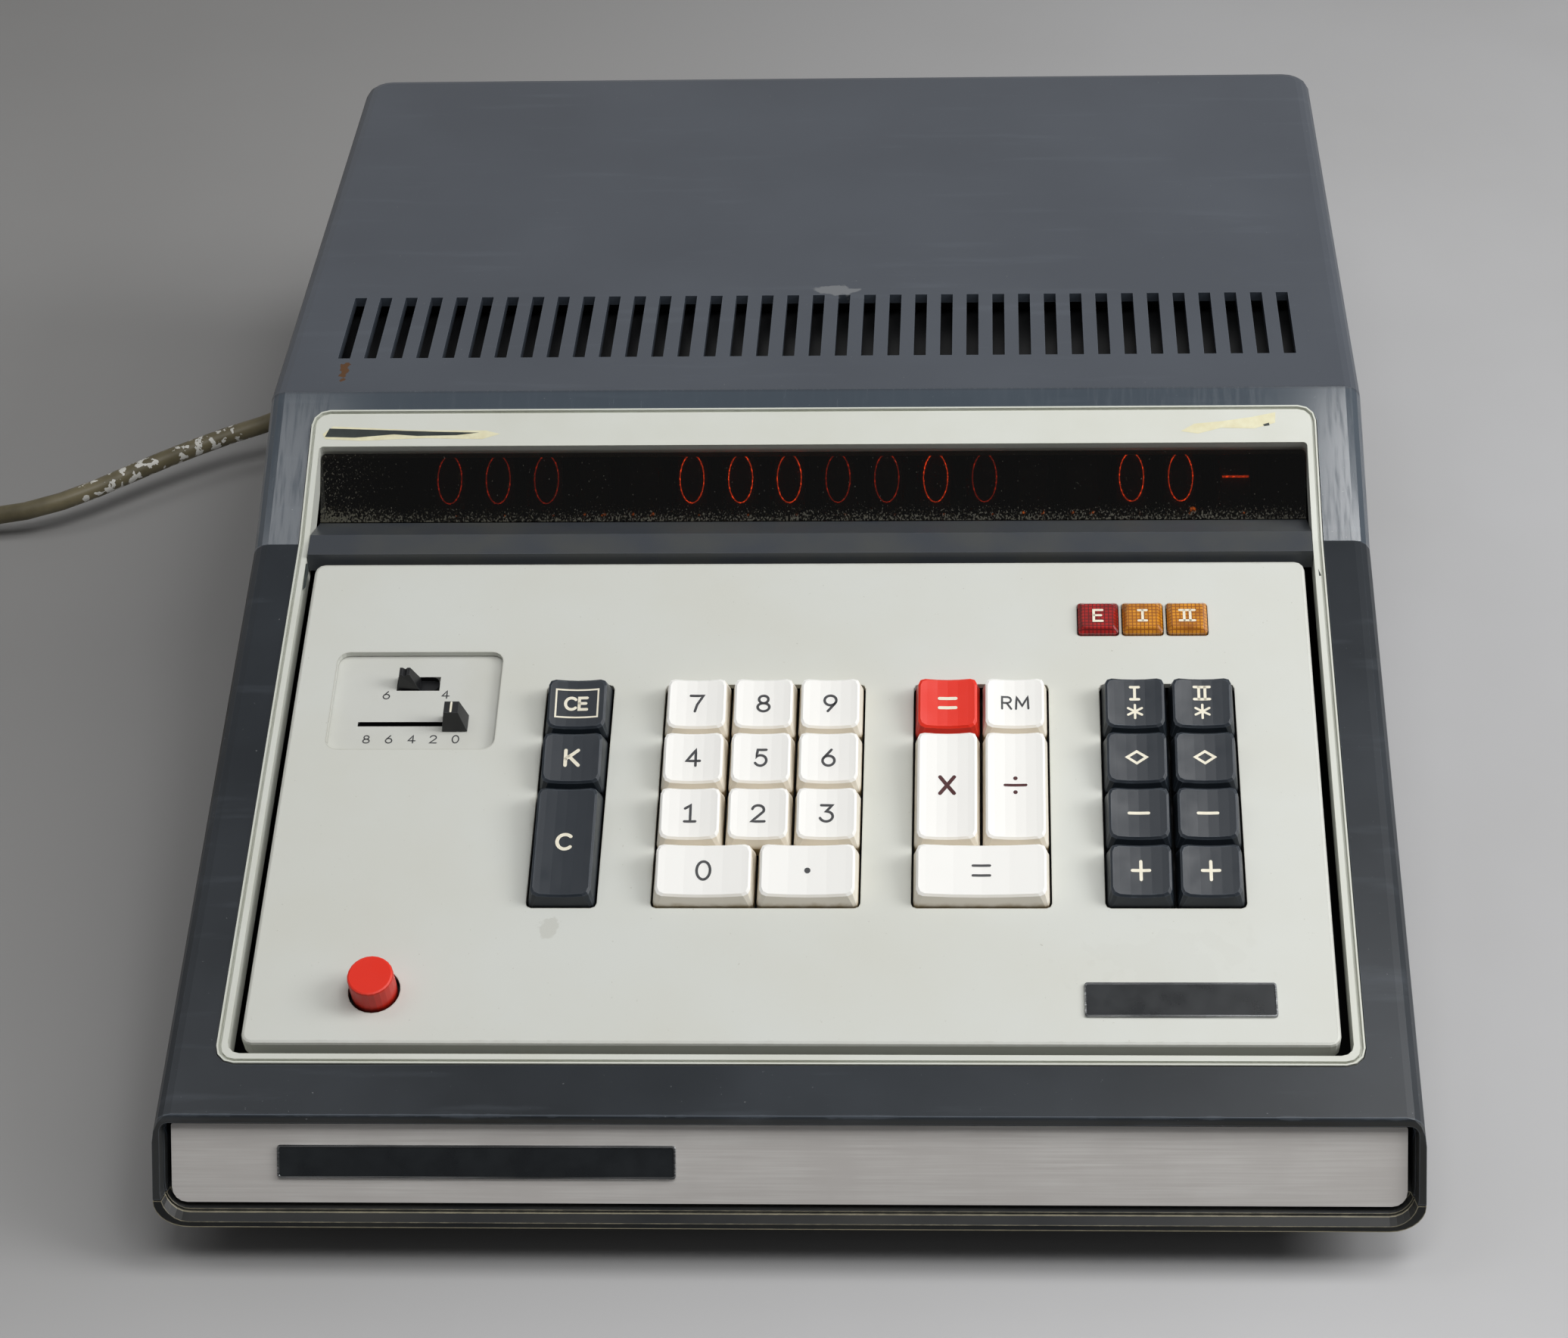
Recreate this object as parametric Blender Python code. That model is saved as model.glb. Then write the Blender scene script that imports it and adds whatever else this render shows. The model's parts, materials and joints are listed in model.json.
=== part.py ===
"""Electronic desk calculator with a numeric tube display, a sloping keyboard and a mains lead.

Sizes are in metres, +Z is up, +Y points to the rear, and the origin lies on the table
under the middle of the case. Run with: blender --background --python part.py
"""

import math

import bmesh
import bpy
from mathutils import Matrix, Vector

MM = 0.001

# Clearances and helpers shared by every piece
GAP = 0.3 * MM                  # between pieces that touch
RUNNING_GAP = 0.35 * MM         # round a piece that slides
OVERRUN = 6 * MM                # how far a cutter passes the surface that it cuts
SMOOTH_ANGLE = math.radians(35)     # between faces that are shaded as one

# Outline of the case, seen from the side
CHIN_LENGTH = 30 * MM
CHIN_SLOPE = math.radians(55.7)
KEYBOARD_SLOPE = math.radians(14.7)
FACET_LENGTH = 53.5 * MM
FACET_SLOPE = math.radians(25.3)
DECK_LENGTH = 205.6 * MM
FOOT_HEIGHT = 15 * MM
SEAM_RISE = 5.6 * MM            # from the underside up to the joint of cover and pan

# Moulded cover
COVER_WALL = 3.1 * MM
EDGE_FILLET = 5 * MM
REAR_CORNER = 9 * MM
FILLET_STEPS = 4
VENT_COUNT = 37
VENT_SIDE_MARGIN = 20.2 * MM    # from the case's side to the middle of the first slot
VENT_WIDTH = 3.8 * MM
VENT_LENGTH = 36 * MM
VENT_SETBACK = 19 * MM          # from the upper bend to the front ends of the slots
BEZEL_SIDE_MARGIN = 14.1 * MM   # from the case's side to the opening that takes the inner frame
BEZEL_FRONT = 15.1 * MM         # from the front crease, along the slope
BEZEL_TOP_MARGIN = 6.5 * MM     # from the upper bend, down the facet
BEZEL_RADIUS = 5.6 * MM
BEZEL_STEPS = 3
UPRIGHT_LIMIT = 0.01            # rise of a normal under which a face counts as upright
LEVEL_LIMIT = 0.6               # rise of a normal over which a face counts as a top

# Front recess, cut into the cover's brow and cheeks and into the pan's lip
CHIN_BROW = 2.3 * MM            # from the front crease down to the recess
CHIN_RECESS = 4.3 * MM
CHEEK_WIDTH = 1.9 * MM          # of the case's front face, beside the recess
RECESS_TAPER = 1.2 * MM         # how much each side closes in towards its floor
RECESS_RADIUS = 7.5 * MM
RECESS_BROW_RADIUS = 2.4 * MM
RECESS_STEPS = 6
RECESS_GROOVE = 0.6 * MM

# Lower pan
PAN_WALL = 4.5 * MM
PAN_FLOOR = 2.4 * MM
PAN_CORNER_ACROSS = 9.6 * MM
PAN_CORNER_STEPS = 7
PAN_LIP = 1.4 * MM              # height of the front face under the recess
PAN_SHELF_TOP_SHARE = 0.805     # where the shelf meets the strip, down the chin
PAN_FRONT_WALL = 1.8 * MM

# Front strip
STRIP_SIDE_MARGIN = 4.6 * MM    # from the case's side
STRIP_TOP = 2.9 * MM
STRIP_THICKNESS = 1.5 * MM
STRIP_RADIUS = 4 * MM
STRIP_SINK = 2.4 * MM

# Inner frame round the keyboard and the window
RIM_WIDTH = 0.5 * MM
RIM_PROUD = 0.5 * MM
GROOVE_WIDTH = 0.8 * MM
GROOVE_DEPTH = 0.9 * MM
FRAME_FACE = 1.7 * MM
FRAME_FACE_LIFT = 0.3 * MM
FRAME_TOP_BAND = 11.6 * MM
FRAME_DEPTH = 7 * MM
FRAME_FRONT_RADIUS = 3.4 * MM
FRAME_WINDOW_RADIUS = 1.2 * MM

# Keyboard panel, which the wells and switches below make as wide and as long as it is
PANEL_SIDE_MARGIN = 20.4 * MM   # from its sides to the case's
PANEL_FRONT = 21.6 * MM         # from the front crease
PANEL_REAR_MARGIN = 7.8 * MM    # up to the lower bend
PANEL_LIFT = 0.2 * MM
PANEL_THICKNESS = 1.8 * MM
PANEL_SKIRT = 6 * MM
PANEL_SKIRT_WALL = 1.6 * MM
PANEL_RADIUS = 3 * MM
PANEL_ROUNDING = 0.9 * MM
SHOULDER_SHARE = 0.3            # of a rounding, cut off at its middle

# Keys
KEY_PITCH = 19.05 * MM
KEY_GAP = 0.75 * MM
WELL_MARGIN = 0.5 * MM
WELL_RADIUS = 1.6 * MM
WELLS_FRONT_MARGIN = 43 * MM    # from the panel's front edge to the key wells
WELLS_REAR_MARGIN = 45.4 * MM   # from the key wells to the panel's rear edge
WELLS_RIGHT_MARGIN = 22.7 * MM  # from the memory keys' well to the panel's right edge
ENTRY_SPACE = 13.7 * MM         # from the slide switches to the entry keys' well
DIGIT_SPACE = 14.75 * MM
OPERATOR_SPACE = 13.8 * MM
MEMORY_SPACE = 14.45 * MM
KEY_ROWS = 4
ENTRY_COLUMNS = 1
DIGIT_COLUMNS = 3
OPERATOR_COLUMNS = 2
MEMORY_COLUMNS = 2
CORNER_STEPS = 2
CAP_EDGE_STOPS = 3
KEY_TRAVEL = 3.5 * MM
CAP_SKIRT = 3.4 * MM            # below the panel's face
CAP_FRONT_HEIGHT = 4.3 * MM
CAP_REAR_HEIGHT = 6.9 * MM
CAP_SIDE_INSET = 1 * MM
CAP_FRONT_INSET = 1.1 * MM
CAP_REAR_INSET = 2.2 * MM
CAP_ROUNDING = 0.45 * MM
CAP_SHOULDER_SHARE = 0.33       # of the rounding, by which the sides close in under it
CAP_DISH = 0.9 * MM
CAP_WALL = 1.3 * MM
CAP_CEILING = 1.7 * MM
CAP_BASE_RADIUS = 1.3 * MM
CAP_TOP_RADIUS = 1.9 * MM
STEM_SIDE = 5 * MM
STEM_LENGTH = 13.5 * MM         # below the panel's face

# Key mechanism under the panel
KEY_FRAME_DROP = 8.6 * MM
KEY_FRAME_THICKNESS = 1.2 * MM
KEY_FRAME_MARGIN = 6 * MM
SWITCH_SIDE = 13.4 * MM
STEM_SPARE = 1.5 * MM           # under the stem of a pressed key
SWITCH_FLOOR = 1.2 * MM
BOARD_THICKNESS = 1.6 * MM

# Slide switches on the keyboard panel
SWITCH_WELL_LEFT_MARGIN = 11 * MM       # from the panel's left edge
SWITCH_WELL_REAR_MARGIN = 33.3 * MM     # from the panel's rear edge
SWITCH_WELL_WIDTH = 48.4 * MM
SWITCH_WELL_LENGTH = 34.8 * MM
SWITCH_WELL_RADIUS = 3.4 * MM
SWITCH_PLATE_BORDER = 3 * MM
SWITCH_PLATE_THICKNESS = 1 * MM
LONG_SLOT_RISE = 10.3 * MM              # from the well's front edge
LONG_SLOT_WIDTH = 1.6 * MM
LONG_SLOT_SPARE = 1.2 * MM              # beyond the blade's travel on the left
LONG_KNOB_SHIFT = 36.3 * MM             # from the well's left edge
LONG_KNOB_WIDTH = 7.3 * MM
LONG_KNOB_LEFT_INSET = 1.1 * MM
LONG_KNOB_TOP = 4.2 * MM
LONG_KNOB_DEPTH = 5.8 * MM
LONG_KNOB_SETBACK = 1.8 * MM            # of its sloping front
LONG_KNOB_HEIGHT = 7 * MM
LONG_TRAVEL = 25.6 * MM
SHORT_SLOT_SHIFT = 17.9 * MM            # from the well's left edge
SHORT_SLOT_RISE = 24.8 * MM             # from the well's front edge
SHORT_SLOT_WIDTH = 5 * MM
SHORT_KNOB_WIDTH = 6.3 * MM
SHORT_KNOB_LEFT_INSET = 0.9 * MM
SHORT_KNOB_TOP = 3 * MM
SHORT_KNOB_SETBACK = 1.7 * MM
SHORT_KNOB_HEIGHT = 5 * MM
SHORT_KNOB_GROOVE = 0.7 * MM
SHORT_KNOB_SINK = 1.6 * MM              # below the plate's face
SHORT_TRAVEL = 5.5 * MM
BLADE_LENGTH = 3 * MM
BLADE_DEPTH = 7 * MM
SLIDER_BODY_HEIGHT = 8 * MM
SLIDER_BODY_WALL = 1.4 * MM

# Round push button
BUTTON_SHIFT = 34.4 * MM        # from the panel's left edge
BUTTON_RISE = 16.5 * MM         # from the panel's front edge
BUTTON_RADIUS = 6.25 * MM
BUTTON_HEIGHT = 8 * MM
BUTTON_ROUNDING = 0.6 * MM
BUTTON_HOLE_RADIUS = 7.1 * MM
BUTTON_TRAVEL = 3 * MM
BUTTON_STEM_RADIUS = 2.4 * MM
BUTTON_STEM_LENGTH = 10 * MM
BUTTON_SIDES = 24
PUSH_BODY_SIDE = 17 * MM
PUSH_BODY_FLOOR = 1.6 * MM

# Signal lamps
LAMP_WIDTH = 11.6 * MM
LAMP_LENGTH = 11.3 * MM
LAMP_PITCH = 12.92 * MM
LAMP_SHIFT = 0.2 * MM           # from the memory keys' well to the middle of the first lamp
LAMP_REAR_MARGIN = 22 * MM      # from the panel's rear edge to the lamps' middle
LAMP_HEIGHT = 2.3 * MM
LAMP_BEVEL = 1.3 * MM
LAMP_SKIRT = 4.6 * MM
LAMP_SHELL = 1.2 * MM
LAMP_RADIUS = 0.9 * MM
HOLDER_WALL = 1.6 * MM
HOLDER_HEIGHT = 15 * MM
BULB_RADIUS = 2.6 * MM
BULB_HEIGHT = 6 * MM
BULB_SHOULDER_SHARE = 0.7
BULB_TIP_SHARE = 0.2

# Display
WINDOW_THICKNESS = 1.6 * MM
WINDOW_TOP_SINK = 2.2 * MM
WINDOW_FOOT_S = 13.2 * MM       # up the facet from the lower bend
WINDOW_FOOT_SINK = 10 * MM
SILL_RIDGE_S = 2.9 * MM
SILL_RIDGE_LIFT = 0.5 * MM
SILL_NOSE_BACK = 5.2 * MM       # from the lower bend down to the nose, along the keyboard
SILL_NOSE_LIFT = 1.6 * MM
SILL_THICKNESS = 2 * MM
TUBE_COUNT = 16
TUBE_LEFT_MARGIN = 37.5 * MM    # from the window's left edge to the first tube
SIGN_TUBE_MARGIN = 20.2 * MM    # from the sign tube to the window's right edge
SIGN_TUBE_SPACE = 16.7 * MM     # from the last digit tube to the sign tube
TUBE_RADIUS = 6.3 * MM
TUBE_DOME = 5 * MM
TUBE_SHOULDER_SHARE = 0.72      # of the radius, at the dome's middle
TUBE_DOME_SHARE = 0.35          # of the dome, over its middle
TUBE_TIP_SHARE = 0.2
TUBE_SETBACK = 12.3 * MM        # from the glass to the tubes' axes
TUBE_FOOT = 9 * MM              # below the foot of the window
TUBE_RISE = 6.1 * MM            # above its top, behind the frame
TUBE_SIDES = 8
DISPLAY_BOARD_BORDER = 2 * MM
DISPLAY_BOARD_REACH = 12 * MM   # behind the tubes

# Chassis and the electronics behind the display
CHASSIS_INSET = 6.6 * MM        # from the panel's side to the plate's middle
CHASSIS_THICKNESS = 1.5 * MM
VENT_SCREEN_DEPTH = 6 * MM
VENT_SCREEN_RIM = 2.4 * MM
VENT_SCREEN_MARGIN = 8 * MM
VENT_GAUZE = 0.6 * MM
CARD_COUNT = 8
CARD_LEFT_MARGIN = 37 * MM      # from the case's side to the rails
CARD_SPACE = 20 * MM            # from the rails to the power supply
CARD_LENGTH = 118 * MM
CARD_HEIGHT = 62 * MM
CARD_REAR_MARGIN = 16 * MM
RAIL_HEIGHT = 20 * MM
RAIL_THICKNESS = 4 * MM
STANDOFF_HEIGHT = 5 * MM
STANDOFF_RADIUS = 3.4 * MM
STANDOFF_SIDES = 8
SUPPLY_SIDE_MARGIN = 19 * MM    # from the power supply to the case's side
SUPPLY_BOARD_WIDTH = 82 * MM
SUPPLY_BOARD_LENGTH = 72 * MM
CAPACITOR_RADIUS = 11 * MM
CAPACITOR_HEIGHT = 42 * MM
CAPACITOR_SIDES = 14
CAPACITOR_COUNT = 2
SUPPLY_SPACE = 6 * MM           # from the transformer to the board
TRANSFORMER_LENGTH = 58 * MM
TRANSFORMER_WIDTH = 64 * MM
TRANSFORMER_HEIGHT = 54 * MM
TRANSFORMER_STACK = 30 * MM
TRANSFORMER_LIMB = 11 * MM

# Feet
FOOT_RADIUS = 9 * MM
FOOT_TAPER = 1.5 * MM
FOOT_INSET_X = 34 * MM
FOOT_INSET_Y = 38 * MM
FOOT_SIDES = 16

# Mains lead
CORD_DIAMETER = 6.2 * MM
CORD_EXIT_Y = 150.3 * MM
CORD_EXIT_Z = 27.5 * MM
RELIEF_NECK_RADIUS = 4.6 * MM
RELIEF_FLANGE_RADIUS = 7.4 * MM
RELIEF_FLANGE = 1.6 * MM
RELIEF_TIP_RADIUS = 3.9 * MM
RELIEF_LENGTH = 21.7 * MM
RELIEF_DROOP = math.radians(17)
RELIEF_RIBS = 4
RELIEF_GROOVE = 0.5 * MM
RELIEF_SIDES = 14
# Points along the free stretch, between the strain relief and the coil
CORD_ROUTE = (
    (-0.1970, 0.1494, 0.0200),
    (-0.2025, 0.1481, 0.0182),
    (-0.2105, 0.1461, 0.0166),
    (-0.2183, 0.1428, 0.0156),
    (-0.2256, 0.1385, 0.0150),
    (-0.2325, 0.1340, 0.0146),
    (-0.2390, 0.1294, 0.0142),
    (-0.2453, 0.1247, 0.0138),
    (-0.2521, 0.1194, 0.0134),
    (-0.2589, 0.1144, 0.0129),
    (-0.2659, 0.1106, 0.0122),
    (-0.2731, 0.1073, 0.0114),
    (-0.2815, 0.1054, 0.0104),
    (-0.2895, 0.1048, 0.0093),
    (-0.2978, 0.1049, 0.0081),
    (-0.3090, 0.1043, 0.0065),
    (-0.3210, 0.1029, 0.0050),
    (-0.3330, 0.1006, 0.0039),
)
CORD_STEP_SHARE = 2.0           # cord diameters between the points of the free stretch
CORD_END_SHARE = 0.6            # cord diameters that its ends run straight
CORD_SPAN_PARTS = 16
COIL_CENTRE_X = -344 * MM
COIL_CENTRE_Y = 47 * MM
COIL_INNER = 24.3 * MM
COIL_PITCH = 6.9 * MM
COIL_LAYER = 6.7 * MM
COIL_BED = 3.2 * MM             # height of the lower layer's centre line
COIL_TURNS_PER_LAYER = 3.34
COIL_START_ANGLE = math.radians(100)
COIL_POINTS_PER_TURN = 24
PLUG_NECK = 20 * MM
PLUG_NECK_RADIUS = 3.7 * MM
PLUG_SHOULDER_RADIUS = 5.3 * MM
PLUG_WIDTH = 37 * MM
PLUG_HEIGHT = 19.4 * MM
PLUG_LENGTH = 38 * MM
PLUG_SIDES = 20
PLUG_CORNER_POWER = 0.7         # 1 would make its sections ellipses
PLUG_SECTION_SHARES = (         # of its width, height and length
    (0.34, 0.42, 0.16),
    (0.4, 0.5, 0.4),
    (0.5, 0.5, 0.85),
    (0.5, 0.46, 1.0),
)
PIN_RADIUS = 2.4 * MM
PIN_LENGTH = 19 * MM
PIN_SPACING = 19 * MM
PIN_TIP_SHARE = 0.6
PIN_SIDES = 10

# Keyboard layout, which sets the panel and the panel the case
WELL_COLUMNS = {
    "entry": ENTRY_COLUMNS, "digit": DIGIT_COLUMNS, "operator": OPERATOR_COLUMNS, "memory": MEMORY_COLUMNS,
}
WELL_SPACES = {
    "entry": ENTRY_SPACE, "digit": DIGIT_SPACE, "operator": OPERATOR_SPACE, "memory": MEMORY_SPACE,
}
WELL_WIDTHS = {well: columns * KEY_PITCH + WELL_MARGIN for well, columns in WELL_COLUMNS.items()}
WELLS_LENGTH = KEY_ROWS * KEY_PITCH + WELL_MARGIN
PANEL_WIDTH = (SWITCH_WELL_LEFT_MARGIN + SWITCH_WELL_WIDTH + sum(WELL_SPACES.values())
               + sum(WELL_WIDTHS.values()) + WELLS_RIGHT_MARGIN)
PANEL_LENGTH = WELLS_FRONT_MARGIN + WELLS_LENGTH + WELLS_REAR_MARGIN
PANEL_HALF_WIDTH = PANEL_WIDTH / 2
PANEL_REAR = PANEL_FRONT + PANEL_LENGTH
WELLS_FRONT = PANEL_FRONT + WELLS_FRONT_MARGIN
SWITCH_WELL_LEFT = -PANEL_HALF_WIDTH + SWITCH_WELL_LEFT_MARGIN
SWITCH_WELL_RIGHT = SWITCH_WELL_LEFT + SWITCH_WELL_WIDTH
SWITCH_WELL_REAR = PANEL_REAR - SWITCH_WELL_REAR_MARGIN
SWITCH_WELL_FRONT = SWITCH_WELL_REAR - SWITCH_WELL_LENGTH
WELL_LEFT = {}
well_side = SWITCH_WELL_RIGHT
for well_name, space in WELL_SPACES.items():
    WELL_LEFT[well_name] = well_side + space
    well_side += space + WELL_WIDTHS[well_name]
LONG_SLOT_CENTRE = SWITCH_WELL_FRONT + LONG_SLOT_RISE
LONG_KNOB_CENTRE = SWITCH_WELL_LEFT + LONG_KNOB_SHIFT
LONG_SLOT_LEFT = LONG_KNOB_CENTRE - LONG_TRAVEL - BLADE_LENGTH / 2 - LONG_SLOT_SPARE
SHORT_SLOT_CENTRE = SWITCH_WELL_FRONT + SHORT_SLOT_RISE
SHORT_SLOT_LEFT = SWITCH_WELL_LEFT + SHORT_SLOT_SHIFT
SHORT_SLOT_LENGTH = SHORT_KNOB_WIDTH + SHORT_TRAVEL + RUNNING_GAP * 2
BUTTON_X = -PANEL_HALF_WIDTH + BUTTON_SHIFT
BUTTON_S = PANEL_FRONT + BUTTON_RISE
LAMP_FIRST_X = WELL_LEFT["memory"] + LAMP_SHIFT
LAMP_CENTRE_S = PANEL_REAR - LAMP_REAR_MARGIN

# Other sizes that follow from the ones above
CASE_WIDTH = PANEL_WIDTH + PANEL_SIDE_MARGIN * 2
KEYBOARD_LENGTH = PANEL_REAR + PANEL_REAR_MARGIN
CHIN_RUN = CHIN_LENGTH * math.cos(CHIN_SLOPE)
CHIN_RISE = CHIN_LENGTH * math.sin(CHIN_SLOPE)
KEYBOARD_RUN = KEYBOARD_LENGTH * math.cos(KEYBOARD_SLOPE)
KEYBOARD_RISE = KEYBOARD_LENGTH * math.sin(KEYBOARD_SLOPE)
FACET_RUN = FACET_LENGTH * math.cos(FACET_SLOPE)
FACET_RISE = FACET_LENGTH * math.sin(FACET_SLOPE)
CASE_DEPTH = CHIN_RUN + KEYBOARD_RUN + FACET_RUN + DECK_LENGTH
HALF_WIDTH = CASE_WIDTH / 2
FRONT_Y = -CASE_DEPTH / 2
REAR_Y = CASE_DEPTH / 2
CREASE_Y = FRONT_Y + CHIN_RUN
CREASE_Z = FOOT_HEIGHT + CHIN_RISE
LOWER_BEND_Y = CREASE_Y + KEYBOARD_RUN
LOWER_BEND_Z = CREASE_Z + KEYBOARD_RISE
UPPER_BEND_Y = LOWER_BEND_Y + FACET_RUN
DECK_Z = LOWER_BEND_Z + FACET_RISE
SEAM_Z = FOOT_HEIGHT + SEAM_RISE
FLOOR_Z = FOOT_HEIGHT + PAN_FLOOR
BEZEL_HALF_WIDTH = HALF_WIDTH - BEZEL_SIDE_MARGIN
STRIP_HALF_WIDTH = HALF_WIDTH - STRIP_SIDE_MARGIN
STRIP_FOOT = CHIN_LENGTH * PAN_SHELF_TOP_SHARE
CHASSIS_X = PANEL_HALF_WIDTH - CHASSIS_INSET
VENT_FIRST_X = -HALF_WIDTH + VENT_SIDE_MARGIN
VENT_PITCH = -VENT_FIRST_X * 2 / (VENT_COUNT - 1)
SWITCH_HEIGHT = (STEM_LENGTH - KEY_FRAME_DROP - KEY_FRAME_THICKNESS - GAP
                 + KEY_TRAVEL + STEM_SPARE + SWITCH_FLOOR)
FRAME_FACE_INSET = GAP + RIM_WIDTH + GROOVE_WIDTH
FRAME_INNER_INSET = FRAME_FACE_INSET + FRAME_FACE
FRAME_TOP_INSET = BEZEL_TOP_MARGIN + FRAME_FACE_INSET + FRAME_TOP_BAND
WINDOW_HALF_WIDTH = BEZEL_HALF_WIDTH - FRAME_INNER_INSET - GAP
WINDOW_TOP_S = FACET_LENGTH - FRAME_TOP_INSET - GAP - WINDOW_THICKNESS / 2
TUBE_FIRST_X = -WINDOW_HALF_WIDTH + TUBE_LEFT_MARGIN
SIGN_TUBE_X = WINDOW_HALF_WIDTH - SIGN_TUBE_MARGIN
TUBE_PITCH = (SIGN_TUBE_X - SIGN_TUBE_SPACE - TUBE_FIRST_X) / (TUBE_COUNT - 1)
SUPPLY_X = HALF_WIDTH - SUPPLY_SIDE_MARGIN - SUPPLY_BOARD_WIDTH
CARD_LEFT = -HALF_WIDTH + CARD_LEFT_MARGIN
CARD_PITCH = (SUPPLY_X - CARD_SPACE - CARD_LEFT) / CARD_COUNT

# Shared frames: local X to the right, local Y up the slope, local Z out of the face
KEYBOARD = Matrix.Translation((0, CREASE_Y, CREASE_Z)) @ Matrix.Rotation(KEYBOARD_SLOPE, 4, "X")
FACET = Matrix.Translation((0, LOWER_BEND_Y, LOWER_BEND_Z)) @ Matrix.Rotation(FACET_SLOPE, 4, "X")
CHIN = Matrix.Translation((0, CREASE_Y, CREASE_Z)) @ Matrix.Rotation(CHIN_SLOPE, 4, "X")

# Finishes: colour, roughness, metallic, alpha
FINISHES = {
    "slate_paint": ((0.075, 0.085, 0.105), 0.42, 0.0, 1.0),
    "satin_strip": ((0.46, 0.45, 0.43), 0.38, 0.6, 1.0),
    "ivory_paint": ((0.70, 0.71, 0.67), 0.45, 0.0, 1.0),
    "grey_panel": ((0.60, 0.61, 0.58), 0.5, 0.0, 1.0),
    "charcoal_plastic": ((0.045, 0.05, 0.06), 0.4, 0.0, 1.0),
    "smoked_window": ((0.02, 0.02, 0.02), 0.1, 0.0, 0.4),
    "white_key": ((0.92, 0.91, 0.88), 0.35, 0.0, 1.0),
    "navy_key": ((0.03, 0.045, 0.065), 0.35, 0.0, 1.0),
    "red_key": ((0.75, 0.03, 0.015), 0.35, 0.0, 1.0),
    "black_plastic": ((0.02, 0.02, 0.022), 0.45, 0.0, 1.0),
    "red_lens": ((0.55, 0.01, 0.01), 0.15, 0.0, 1.0),
    "amber_lens": ((0.65, 0.28, 0.02), 0.15, 0.0, 1.0),
    "tube_glass": ((0.30, 0.22, 0.18), 0.1, 0.0, 0.6),
    "circuit_board": ((0.05, 0.16, 0.07), 0.5, 0.0, 1.0),
    "zinc_steel": ((0.50, 0.50, 0.48), 0.4, 0.9, 1.0),
    "black_rubber": ((0.02, 0.02, 0.02), 0.8, 0.0, 1.0),
    "olive_cord": ((0.26, 0.22, 0.15), 0.6, 0.0, 1.0),
    "copper_winding": ((0.45, 0.22, 0.08), 0.4, 0.3, 1.0),
}

# Lamp lenses from the left: name and finish
LAMPS = (
    ("lamp_lens_red", "red_lens"),
    ("lamp_lens_amber_1", "amber_lens"),
    ("lamp_lens_amber_2", "amber_lens"),
)

# Keys: name, well, column, row counted from the front, width and depth in pitches, finish
KEYS = (
    ("key_clear_entry", "entry", 0, 3, 1, 1, "navy_key"),
    ("key_constant", "entry", 0, 2, 1, 1, "navy_key"),
    ("key_clear", "entry", 0, 0, 1, 2, "navy_key"),
    ("key_7", "digit", 0, 3, 1, 1, "white_key"),
    ("key_8", "digit", 1, 3, 1, 1, "white_key"),
    ("key_9", "digit", 2, 3, 1, 1, "white_key"),
    ("key_4", "digit", 0, 2, 1, 1, "white_key"),
    ("key_5", "digit", 1, 2, 1, 1, "white_key"),
    ("key_6", "digit", 2, 2, 1, 1, "white_key"),
    ("key_1", "digit", 0, 1, 1, 1, "white_key"),
    ("key_2", "digit", 1, 1, 1, 1, "white_key"),
    ("key_3", "digit", 2, 1, 1, 1, "white_key"),
    ("key_0", "digit", 0, 0, 1.5, 1, "white_key"),
    ("key_point", "digit", 1.5, 0, 1.5, 1, "white_key"),
    ("key_minus_equals", "operator", 0, 3, 1, 1, "red_key"),
    ("key_recall", "operator", 1, 3, 1, 1, "white_key"),
    ("key_multiply", "operator", 0, 1, 1, 2, "white_key"),
    ("key_divide", "operator", 1, 1, 1, 2, "white_key"),
    ("key_equals", "operator", 0, 0, 2, 1, "white_key"),
    ("key_total_1", "memory", 0, 3, 1, 1, "navy_key"),
    ("key_total_2", "memory", 1, 3, 1, 1, "navy_key"),
    ("key_subtotal_1", "memory", 0, 2, 1, 1, "navy_key"),
    ("key_subtotal_2", "memory", 1, 2, 1, 1, "navy_key"),
    ("key_minus_1", "memory", 0, 1, 1, 1, "navy_key"),
    ("key_minus_2", "memory", 1, 1, 1, 1, "navy_key"),
    ("key_plus_1", "memory", 0, 0, 1, 1, "navy_key"),
    ("key_plus_2", "memory", 1, 0, 1, 1, "navy_key"),
)


def clear_scene():
    """Remove every object that the file holds."""
    for item in list(bpy.data.objects):
        bpy.data.objects.remove(item, do_unlink=True)


def finish(name):
    """Return the material of that name, made once."""
    material = bpy.data.materials.get(name)
    if material:
        return material
    colour, roughness, metallic, alpha = FINISHES[name]
    material = bpy.data.materials.new(name)
    material.use_nodes = True
    shader = material.node_tree.nodes["Principled BSDF"]
    shader.inputs["Base Color"].default_value = (*colour, 1.0)
    shader.inputs["Roughness"].default_value = roughness
    shader.inputs["Metallic"].default_value = metallic
    shader.inputs["Alpha"].default_value = alpha
    return material


def solid(name, mesh, finish_name, place=None):
    """Make an object of a bmesh, with outward faces, at the place that a matrix gives."""
    bmesh.ops.recalc_face_normals(mesh, faces=mesh.faces)
    data = bpy.data.meshes.new(name)
    mesh.to_mesh(data)
    mesh.free()
    data.shade_smooth()
    data.set_sharp_from_angle(angle=SMOOTH_ANGLE)
    return instance(name, data, finish_name, place)


def instance(name, data, finish_name, place=None):
    """Make an object of a mesh that other objects may share, with its own finish."""
    item = bpy.data.objects.new(name, data)
    bpy.context.scene.collection.objects.link(item)
    if not data.materials:
        data.materials.append(None)
    item.material_slots[0].link = "OBJECT"
    item.material_slots[0].material = finish(finish_name)
    if place is not None:
        item.matrix_world = place
    return item


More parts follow.
